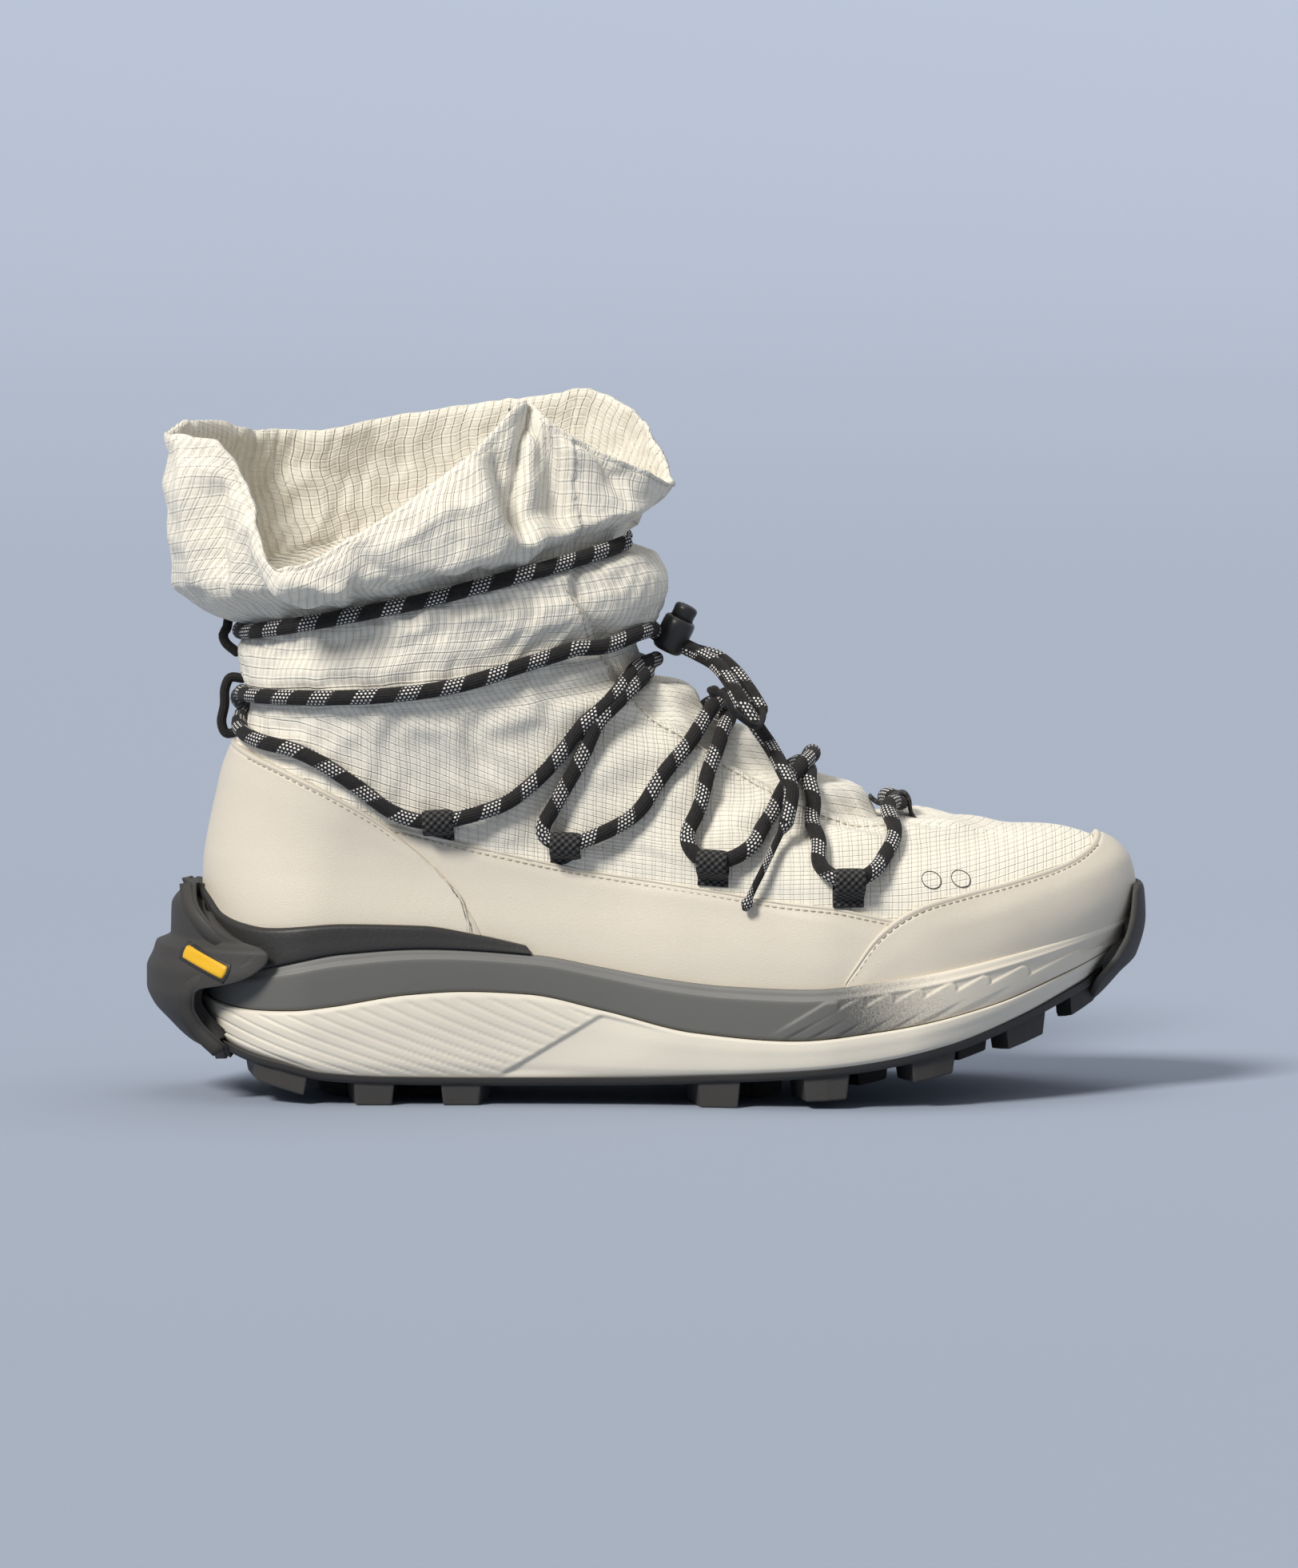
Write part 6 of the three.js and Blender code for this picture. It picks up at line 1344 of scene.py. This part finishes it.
def lugMesh(row, side):
    middle, length, start, end, slant = row
    rings = []
    for level in range(7):
        t = level / 6
        scale = 1 - lugLook["taper"] * (1 - t)
        corners = []
        outline = [(-1, 0), (-0.35, -0.06), (0.35, -0.06), (1, 0), (1, 0.5), (0.93, 1), (0, 1.0), (-0.93, 1), (-1, 0.5)]
        for endShare, out in outline:
            share = start + (end - start) * (0.5 + (out - 0.5) * (0.94 + 0.06 * t))
            x = middle + endShare * length * scale / 2 + slant * (out - 0.5)
            half = soleHalf(x, np.array(side), -2.0)
            ends = roundEnd((x - 0.058) / 0.12) * roundEnd((0.957 - x) / 0.2)
            low = lineAt(treadLine, x) * boot["soleHeight"]
            high = lineAt(carrierBottomLine, x) * boot["soleHeight"] - 0.9
            corners.append(place(x, side * half * ends * share + footCurve(x), low + (high - low) * t))
        rings.append(np.array(corners))
    n = len(rings[0])
    points = np.vstack(rings)
    faces = [list(f) for f in gridFaces(7, n, True)] + [list(range(n))[::-1], [6 * n + k for k in range(n)]]
    return points, faces


points, faces = [], []
for row in lugRows:
    for side in (-1, 1):
        p, f = lugMesh(row, side)
        faces += [[k + sum(map(len, points)) for k in face] for face in f]
        points.append(p)
lugs = meshObject("tread_lugs", np.vstack(points), faces, materials=[treadRubber], smooth=False)
bevel = lugs.modifiers.new("edges", "BEVEL")
bevel.width, bevel.segments = lugLook["edge"], 2
bevel.limit_method, bevel.angle_limit = "ANGLE", math.radians(40)
ride(lugs)
print("outsole made")

# Insole on the turned-under margin.
rim = upperPoint(2, around, -(boot["wall"] + 0.6))
rings = []
for rise, inset in ((0.0, 1.0), (0.4, 0.3), (2.0, 0.0), (3.4, 0.3), (4.0, 1.4), (4.05, 6.0)):
    ring = rim.copy()
    centre = rim.mean(0)
    ring[:, :2] -= unit(ring[:, :2] - centre[:2]) * inset
    ring[:, 2] = lineAt(bedLine, ring[:, 0] / boot["length"] + 0.5) * boot["soleHeight"] + boot["wall"] + 0.3 + rise
    rings.append(ring)
piece = loft("insole_pad", rings, insoleCloth)
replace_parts(ride(piece), "insole")


# Webbing loops: a strap that comes out from under the panel, round the lace and back.
webbing = {"width": 8.8, "thick": 1.2, "reach": 6.4, "endThick": 0.4}


def strapLoop(name, curve, at, side):
    reach, width = webbing["reach"], webbing["width"]
    nearest = np.argmin(np.linalg.norm(curve - at, axis=1))
    nearest = min(max(nearest, 4), len(curve) - 5)
    centre = curve[nearest]
    tangent = unit(curve[nearest + 4] - curve[nearest - 4])
    ringHere, aroundHere = onUpper(centre[0] / boot["length"] + 0.5, centre[2] / boot["height"], side, lace["loopLift"])
    normal = upperNormal(ringHere, aroundHere)
    normal = unit(normal - tangent * (normal @ tangent))
    down = np.cross(tangent, normal)
    if down[2] > 0:
        down = -down
    r = lace["diameter"] / 2 + webbing["thick"] / 2 + 0.15
    surface = -(lace["loopLift"]) + webbing["thick"] / 2 + 0.1
    line = [(reach, surface), (reach * 0.7, surface + 0.55), (r * 0.98, r * 0.35)]
    line += [(r * math.cos(a), r * math.sin(a)) for a in np.linspace(0.9, math.pi - 0.2, 7)]
    line += [(-r * 0.95, -0.2 * r), (-r * 0.55, -r * 0.9), (0.3, -r * 1.08), (reach * 0.5, surface - 0.2), (reach, surface - 0.5)]
    flat = evenly(smoothPath(np.array(line), 8), 0.45)
    path = centre + flat[:, :1] * down + flat[:, 1:2] * normal
    run = unit(np.gradient(flat, axis=0))
    out = run[:, :1] * normal - run[:, 1:2] * down
    across = np.linspace(-1, 1, 9)
    s = arcLength(flat)
    half = webbing["endThick"] / 2 + (webbing["thick"] - webbing["endThick"]) / 2 * smoothstep(0.5, 4.5, np.minimum(s, s[-1] - s))
    deep = (0.15 + (1 - np.abs(across) ** 6)[None] * (half[:, None] - 0.15))[..., None]
    middle = path[:, None] + tangent * (across * width / 2)[None, :, None]
    tops, bottoms = middle + out[:, None] * deep, middle - out[:, None] * deep
    s = s / 1000
    uv = np.stack(np.meshgrid(s, across * width / 2000, indexing="ij"), axis=-1)
    piece = slab(name + "_strap", tops, bottoms, uv=uv, materials=[tape])
    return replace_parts(ride(piece), name)


for i, places in enumerate(sideLoops):
    strapLoop(f"loop_lateral_{i + 1}", laceInner if i % 2 else laceOuter, seenAt(places[1][1], -1, lace["loopLift"]), -1)
    strapLoop(f"loop_medial_{i + 1}", laceOuter if i % 2 else laceInner, seenAt(places[1][1], 1, lace["loopLift"]), 1)


# The strap on the vamp, sewn down before and behind the lace
def toeStrap():
    along = np.array([-8.0, -6.2, -4.6, -3.5, -2.5, 0, 2.5, 3.5, 4.6, 6.2, 8.0])
    lifts = np.array([0.5, 0.7, 1.6, 3.6, 6.4, 8.0, 6.4, 3.6, 1.6, 0.7, 0.5])
    rings = 10 - along / np.where(along > 0, 18.4, 12.1)
    path = evenly(smoothPath(upperPoint(rings, 0.5, lifts), 8), 0.45)
    across = np.linspace(-1, 1, 9)
    run = unit(np.gradient(path, axis=0))
    width = np.array([0.0, 1.0, 0.0])
    out = np.cross(width, run)
    out *= np.sign(out[len(out) // 2, 2])
    crown = 0.18 + (1 - np.abs(across) ** 6) * (webbing["thick"] / 2 - 0.18)
    side = (across * webbing["width"] / 2)[None, :, None] * width
    s = arcLength(path) / 1000
    uv = np.stack(np.meshgrid(s, across * webbing["width"] / 2000, indexing="ij"), axis=-1)
    middle = path[:, None] + side
    deep = out[:, None] * crown[None, :, None]
    piece = slab("loop_toe_strap", middle + deep, middle - deep, uv=uv, materials=[tape])
    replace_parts(ride(piece), "loop_toe")


toeStrap()

pullLoops = {
    "lower": [(14.25, 1.2), (14.05, 4.6), (14.5, 7.2), (15.4, 8.0), (16.3, 7.2), (16.8, 4.6), (16.75, 1.2)],
    "upper": [(18.0, 1.2), (18.7, 4.8), (19.4, 6.9), (20.1, 7.3), (20.9, 6.9), (21.25, 4.8), (21.4, 1.2)],
}
for name, points in pullLoops.items():
    path = smoothPath([upperPoint(r, 0.0, lift) for r, lift in points], 10)
    piece = tubeObject(f"pull_loop_{name}", evenly(path, 0.6), 1.4, 16, material=plainCord)
    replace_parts(ride(piece), f"loop_back_{name}")
print("loops made")

# Cord lock: a moulded barrel with the laces through it, and its button.
def lockRings(profile, name, material, body, sides=48):
    rings = []
    for z, rx, ry, power in profile:
        a = 2 * np.pi * np.arange(sides) / sides
        c, s = np.cos(a), np.sin(a)
        rings.append(inLock(np.stack([rx * np.sign(c) * np.abs(c) ** power, ry * np.sign(s) * np.abs(s) ** power, np.full(sides, z)], axis=1)))
    rings = np.array(rings)
    n = len(rings) * sides
    faces = [list(f) for f in gridFaces(len(rings), sides, True)] + [list(range(sides))[::-1], list(range(n - sides, n))]
    piece = meshObject(name, rings.reshape(-1, 3), faces, materials=[material])
    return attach(piece, body)


# Takes the cutter's space out of the piece for good
def cutBy(piece, cutter):
    made = piece.modifiers.new("cut", "BOOLEAN")
    made.object, made.operation, made.solver = cutter, "DIFFERENCE", "EXACT"
    bpy.context.view_layer.update()
    mesh = bpy.data.meshes.new_from_object(piece.evaluated_get(bpy.context.evaluated_depsgraph_get()))
    piece.modifiers.clear()
    piece.data = mesh
    bpy.data.objects.remove(cutter)


half, w, d = lock["height"] / 2, lock["width"] / 2, lock["depth"] / 2
barrel = lockRings([
    (-half, w - 1.6, d - 1.8, 0.9), (-half + 0.25, w - 0.9, d - 0.9, 0.88), (-half + 0.9, w - 0.3, d - 0.25, 0.86), (-half + 1.8, w, d, 0.85),
    (half - 2.2, w, d, 0.85),
    (half - 0.9, w - 0.1, d - 0.15, 0.86), (half - 0.3, w - 0.45, d - 0.5, 0.88), (half, w - 1.0, d - 1.2, 0.9),
], "lock_body", plastic, "boot")
for z0, z1, radius in ((0.9, half + 1, lock["button"] / 2 + 0.35), (0.9 - half, half, lock["stem"] / 2 + 0.35)):
    a = 2 * np.pi * np.arange(40) / 40
    rings = np.array([inLock(np.stack([radius * np.cos(a), radius * np.sin(a), np.full(40, z)], axis=1)) for z in (z0, z1)])
    cutBy(barrel, meshObject("well", rings.reshape(-1, 3), [list(f) for f in gridFaces(2, 40, True)] + [list(range(40))[::-1], list(range(40, 80))]))
a = np.linspace(-np.pi / 2, np.pi / 2, 14)
slot = [(2.35 + 2.5 * math.cos(t), -1.7 + 2.5 * math.sin(t)) for t in a] + [(-2.35 - 2.5 * math.cos(t), -1.7 - 2.5 * math.sin(t)) for t in a]
rings = np.array([inLock([(x, y, z) for y, z in slot]) for x in (-8, 8)])
cutBy(barrel, meshObject("slot", rings.reshape(-1, 3), [list(f) for f in gridFaces(2, 28, True)] + [list(range(28))[::-1], list(range(28, 56))]))
barrel.data.polygons.foreach_set("use_smooth", np.full(len(barrel.data.polygons), True))
barrel.data.set_sharp_from_angle(angle=math.radians(38))
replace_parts(barrel, "lock_barrel")

top, r, stem = half + lock["rise"], lock["button"] / 2, lock["stem"] / 2
button = lockRings([
    (0.95 + lock["travel"], stem - 0.3, stem - 0.3, 1), (1.05 + lock["travel"], stem, stem, 1),
    (0.9 + lock["travel"] + 0.3, r - 0.3, r - 0.3, 1), (0.9 + lock["travel"] + 0.6, r, r, 1), (top - 2.6, r - 0.1, r - 0.1, 1),
    (top - 1.9, r, r, 1), (top - 1.1, r, r, 1), (top - 0.5, r - 0.25, r - 0.25, 1), (top - 0.15, r - 0.8, r - 0.8, 1),
    (top, r - 1.5, r - 1.5, 1), (top - 0.25, r - 2.0, r - 2.0, 1), (top - 0.3, 0.3, 0.3, 1),
], "lock_button", plastic, "plunger")
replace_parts(button, "lock_plunger")
print("lock made")

# Stitches: one Geometry Nodes tree lays threads at a pitch along every seam.
stitch = {"pitch": 0.0022, "long": 0.0017, "thick": 0.00052, "inset": 1.7, "lift": 1.78}


def stitchTree():
    tree = bpy.data.node_groups.new("stitch_row", "GeometryNodeTree")
    ask = tree.interface.new_socket
    ask("Path", in_out="INPUT", socket_type="NodeSocketGeometry")
    for name, value in (("Pitch", stitch["pitch"]), ("Stitch length", stitch["long"]), ("Thread thickness", stitch["thick"])):
        socket = ask(name, in_out="INPUT", socket_type="NodeSocketFloat")
        socket.default_value = value
    ask("Seed", in_out="INPUT", socket_type="NodeSocketInt").default_value = 3
    ask("Thread", in_out="INPUT", socket_type="NodeSocketMaterial")
    ask("Stitches", in_out="OUTPUT", socket_type="NodeSocketGeometry")
    start, end = tree.nodes.new("NodeGroupInput"), tree.nodes.new("NodeGroupOutput")
    asked = start.outputs
    curve = nodeIn(tree, "GeometryNodeMeshToCurve", {"Mesh": asked["Path"]}).outputs["Curve"]
    line = nodeIn(tree, "GeometryNodeCurveToPoints", {"Curve": curve, "Length": asked["Pitch"]}, mode="LENGTH")
    thread = nodeIn(tree, "GeometryNodeMeshUVSphere", {"Segments": 8, "Rings": 5, "Radius": 0.5}).outputs["Mesh"]
    thick = asked["Thread thickness"]
    size = nodeIn(tree, "ShaderNodeCombineXYZ", {"X": asked["Stitch length"], "Y": thick, "Z": thick}).outputs["Vector"]
    sized = nodeIn(tree, "GeometryNodeTransform", {"Geometry": thread, "Scale": size}).outputs["Geometry"]
    lie = nodeIn(tree, "FunctionNodeAlignRotationToVector", {"Vector": line.outputs["Tangent"]}, axis="X").outputs["Rotation"]
    wander = nodeIn(tree, "FunctionNodeRandomValue", {"Seed": asked["Seed"]}, data_type="FLOAT_VECTOR")
    wander.inputs["Min"].default_value = (-0.05, -0.05, -0.05)
    wander.inputs["Max"].default_value = (0.05, 0.05, 0.05)
    turn = nodeIn(tree, "FunctionNodeRotateRotation", {"Rotation": lie, "Rotate By": wander.outputs["Value"]}).outputs["Rotation"]
    laid = nodeIn(tree, "GeometryNodeInstanceOnPoints", {"Points": line.outputs["Points"], "Instance": sized, "Rotation": turn}).outputs["Instances"]
    real = nodeIn(tree, "GeometryNodeRealizeInstances", {"Geometry": laid}).outputs["Geometry"]
    shown = nodeIn(tree, "GeometryNodeSetMaterial", {"Geometry": real, "Material": asked["Thread"]}).outputs["Geometry"]
    tree.links.new(shown, end.inputs["Stitches"])
    return tree


# Threads along the paths, as one plain mesh
def stitched(name, paths, material):
    points, edges = [], []
    for path in paths:
        first = len(points)
        points += inFrame(path).tolist()
        edges += [(k, k + 1) for k in range(first, len(points) - 1)]
    mesh = bpy.data.meshes.new(name)
    mesh.from_pydata(points, edges, [])
    obj = bpy.data.objects.new(name, mesh)
    bpy.context.scene.collection.objects.link(obj)
    made = obj.modifiers.new("stitches", "NODES")
    made.node_group = stitchRow
    for socket in stitchRow.interface.items_tree:
        if socket.name == "Thread":
            made[socket.identifier] = material
    bpy.context.view_layer.update()
    plain = bpy.data.meshes.new_from_object(obj.evaluated_get(bpy.context.evaluated_depsgraph_get()))
    obj.modifiers.clear()
    obj.data = plain
    plain.polygons.foreach_set("use_smooth", np.full(len(plain.polygons), True))
    return ride(obj)


stitchRow = stitchTree()


def seamRow(edge, inset, lift, top=20.0):
    found = edgeOnUpper(shifted(edge, inset), lift, 2.5, top)
    rows = []
    for arounds in (found[:, 1], 1 - found[:, 1]):
        rows.append(evenly(smoothPath(upperPoint(found[:, 0], arounds, lift), 4), 0.7))
    return rows


rows = seamRow(counterEdge[1:], -stitch["inset"], stitch["lift"] + 0.5)
rows += seamRow(capEdge[:-1], -stitch["inset"], stitch["lift"] + 0.5)
rows += seamRow(guardEdge, -stitch["inset"], stitch["lift"] - 0.42)
throatStitches = []
for sway in (0.0, 1.0):
    found = edgeOnUpper(shifted(throatEdge[1:], -1.4), 0.5, 2.5, 20.0)
    turns = np.abs(sway - found[:, 1])
    throatStitches.append(evenly(smoothPath(onCloth(found[:, 0], turns, 0.12), 4), 0.7))
stitched("throat_stitches", throatStitches, creamThread)
stitched("panel_stitches", rows, creamThread)
print("stitches made")


# A small raised ring on the vamp
def ringOn(name, at, radius, girth, material):
    ring, turn = onUpper(at[0], at[1], -1, 0.2)
    middle = upperPoint(ring, turn, 0.35)
    normal = upperNormal(ring, turn)
    along = unit(np.cross([0, 0, 1.0], normal))
    up = np.cross(normal, along)
    a = 2 * np.pi * np.arange(48) / 48
    b = 2 * np.pi * np.arange(8) / 8
    around, tube = np.meshgrid(a, b, indexing="ij")
    away = radius + girth * np.cos(tube)
    points = middle + (away * np.cos(around))[..., None] * along + (away * np.sin(around))[..., None] * up
    points = points + (girth * 0.5 * np.sin(tube))[..., None] * normal
    faces = gridFaces(49, 8, True) % (48 * 8)
    piece = meshObject(name, points.reshape(-1, 3), faces, materials=[material])
    return ride(piece)


ringOn("vamp_ring_back", (0.782, 0.3181), 2.9, 0.16, ink)
ringOn("vamp_ring_front", (0.8114, 0.3181), 2.9, 0.16, ink)

# The plain yellow bar on the heel clip's outer side.
bar = {"middle": (-126.2, 40.6), "size": (13.6, 4.2), "slope": -0.42, "lift": 0.7, "recess": 0.9}


def heelBar(name, grow, lift, material):
    u, v = np.meshgrid(np.linspace(-1, 1, 24), np.linspace(-1, 1, 10), indexing="ij")
    c, s = math.cos(bar["slope"]), math.sin(bar["slope"])
    along, across = u * (bar["size"][0] / 2 + grow), v * (bar["size"][1] / 2 + grow)
    along = along * np.sqrt(1 - 0.12 * v**2)
    x = bar["middle"][0] + along * c - across * s
    z = bar["middle"][1] + along * s + across * c
    share = x / boot["length"] + 0.5
    rows = np.array([rowsAt(clipLevels[:, 0] * boot["soleHeight"], clipLevels[:, i], z) for i in (1, 2)])
    half = soleHalf(share, np.array(-1), rows[1]) * roundEnd((share - rows[0]) / 0.13)
    edge = np.minimum((1 - np.abs(u)) * bar["size"][0] / 2, (1 - np.abs(v)) * bar["size"][1] / 2)
    lift = lift * np.sqrt(np.clip(1 - (1 - np.clip(edge / 0.8, 0, 1)) ** 2, 0, 1))
    outer = np.stack([x, -(half + lift), z], axis=-1)
    inner = np.stack([x, -(half - 0.5), z], axis=-1)
    return ride(slab(name, outer, inner, materials=[material]))


heelBar("heel_bar", 0.0, bar["lift"], yellow)
# painted shade: a black sheet a little larger than the bar, just off the clip, stands in for the shade in the bar's
# recess
heelBar("heel_bar_shade_border", bar["recess"], 0.12, cradleRubber)
print("details made")

# Stage: a pale sheet that curves up all round, the same from every side.
studio = {
    "paler": 1.22, "sheet": (0.312, 0.355, 0.437), "flat": 3.6, "bend": 2.6,
    "sun": 3.35, "softness": 16, "top": 8.0, "sky": (0.83, 0.83, 0.83), "world": 0.5,
}


def backdrop():
    angle = np.linspace(0, math.pi / 2, 20)
    line = [(r, 0.0) for r in (0.0, 0.4, 1.2, 2.4)]
    line += [(studio["flat"] + studio["bend"] * math.sin(a), studio["bend"] * (1 - math.cos(a))) for a in angle]
    sides = 96
    turn = 2 * np.pi * np.arange(sides) / sides
    points = [(0.0, 0.0, 0.0)] + [(r * math.cos(a), r * math.sin(a), z) for r, z in line[1:] for a in turn]
    faces = [(0, 1 + j, 1 + (j + 1) % sides) for j in range(sides)]
    faces += gridFaces(len(line) - 1, sides, True, 1)[:, ::-1].tolist()
    mesh = bpy.data.meshes.new("backdrop")
    mesh.from_pydata(points, [], faces)
    mesh.polygons.foreach_set("use_smooth", np.full(len(faces), True))
    sheet = Shader("backdrop_sheet", studio["sheet"], 0.9, Specular_IOR_Level=0.1)
    # painted light: the sheet's colour grows paler with distance from the middle, a painted brightening of the far
    # floor and the wall
    reach = sheet.node("ShaderNodeVectorMath", {0: sheet.place()}, operation="LENGTH").outputs["Value"]
    paler = tuple(studio["paler"] * c for c in studio["sheet"])
    mesh.materials.append(sheet.done(sheet.mix(sheet.ramp(reach, 0.6, 3.2), studio["sheet"], paler)))
    obj = bpy.data.objects.new("backdrop", mesh)
    bpy.context.scene.collection.objects.link(obj)


backdrop()


def areaLight(name, at, aim, size, power, colour=(1, 1, 1)):
    data = bpy.data.lights.new(name, "AREA")
    data.shape, data.size, data.size_y = "RECTANGLE", size[0], size[1]
    data.energy, data.color = power, colour
    obj = bpy.data.objects.new(name, data)
    obj.location = at
    obj.rotation_mode = "QUATERNION"
    obj.rotation_quaternion = (Vector(aim) - Vector(at)).to_track_quat("-Z", "Y")
    bpy.context.scene.collection.objects.link(obj)


sun = bpy.data.lights.new("key", "SUN")
sun.energy, sun.angle, sun.color = studio["sun"], math.radians(studio["softness"]), (1, 0.97, 0.92)
key = bpy.data.objects.new("key", sun)
key.rotation_mode = "QUATERNION"
key.rotation_quaternion = Vector((0.85, 1.1, -1.25)).to_track_quat("-Z", "Y")
bpy.context.scene.collection.objects.link(key)
areaLight("top", (0.2, 0.3, 1.9), (0, 0, 0.1), (1.2, 1.2), studio["top"])
world = bpy.data.worlds.new("studio")
world.use_nodes = True
world.node_tree.nodes["Background"].inputs["Color"].default_value = (*studio["sky"], 1)
world.node_tree.nodes["Background"].inputs["Strength"].default_value = studio["world"]
bpy.context.scene.world = world
print("stage made")
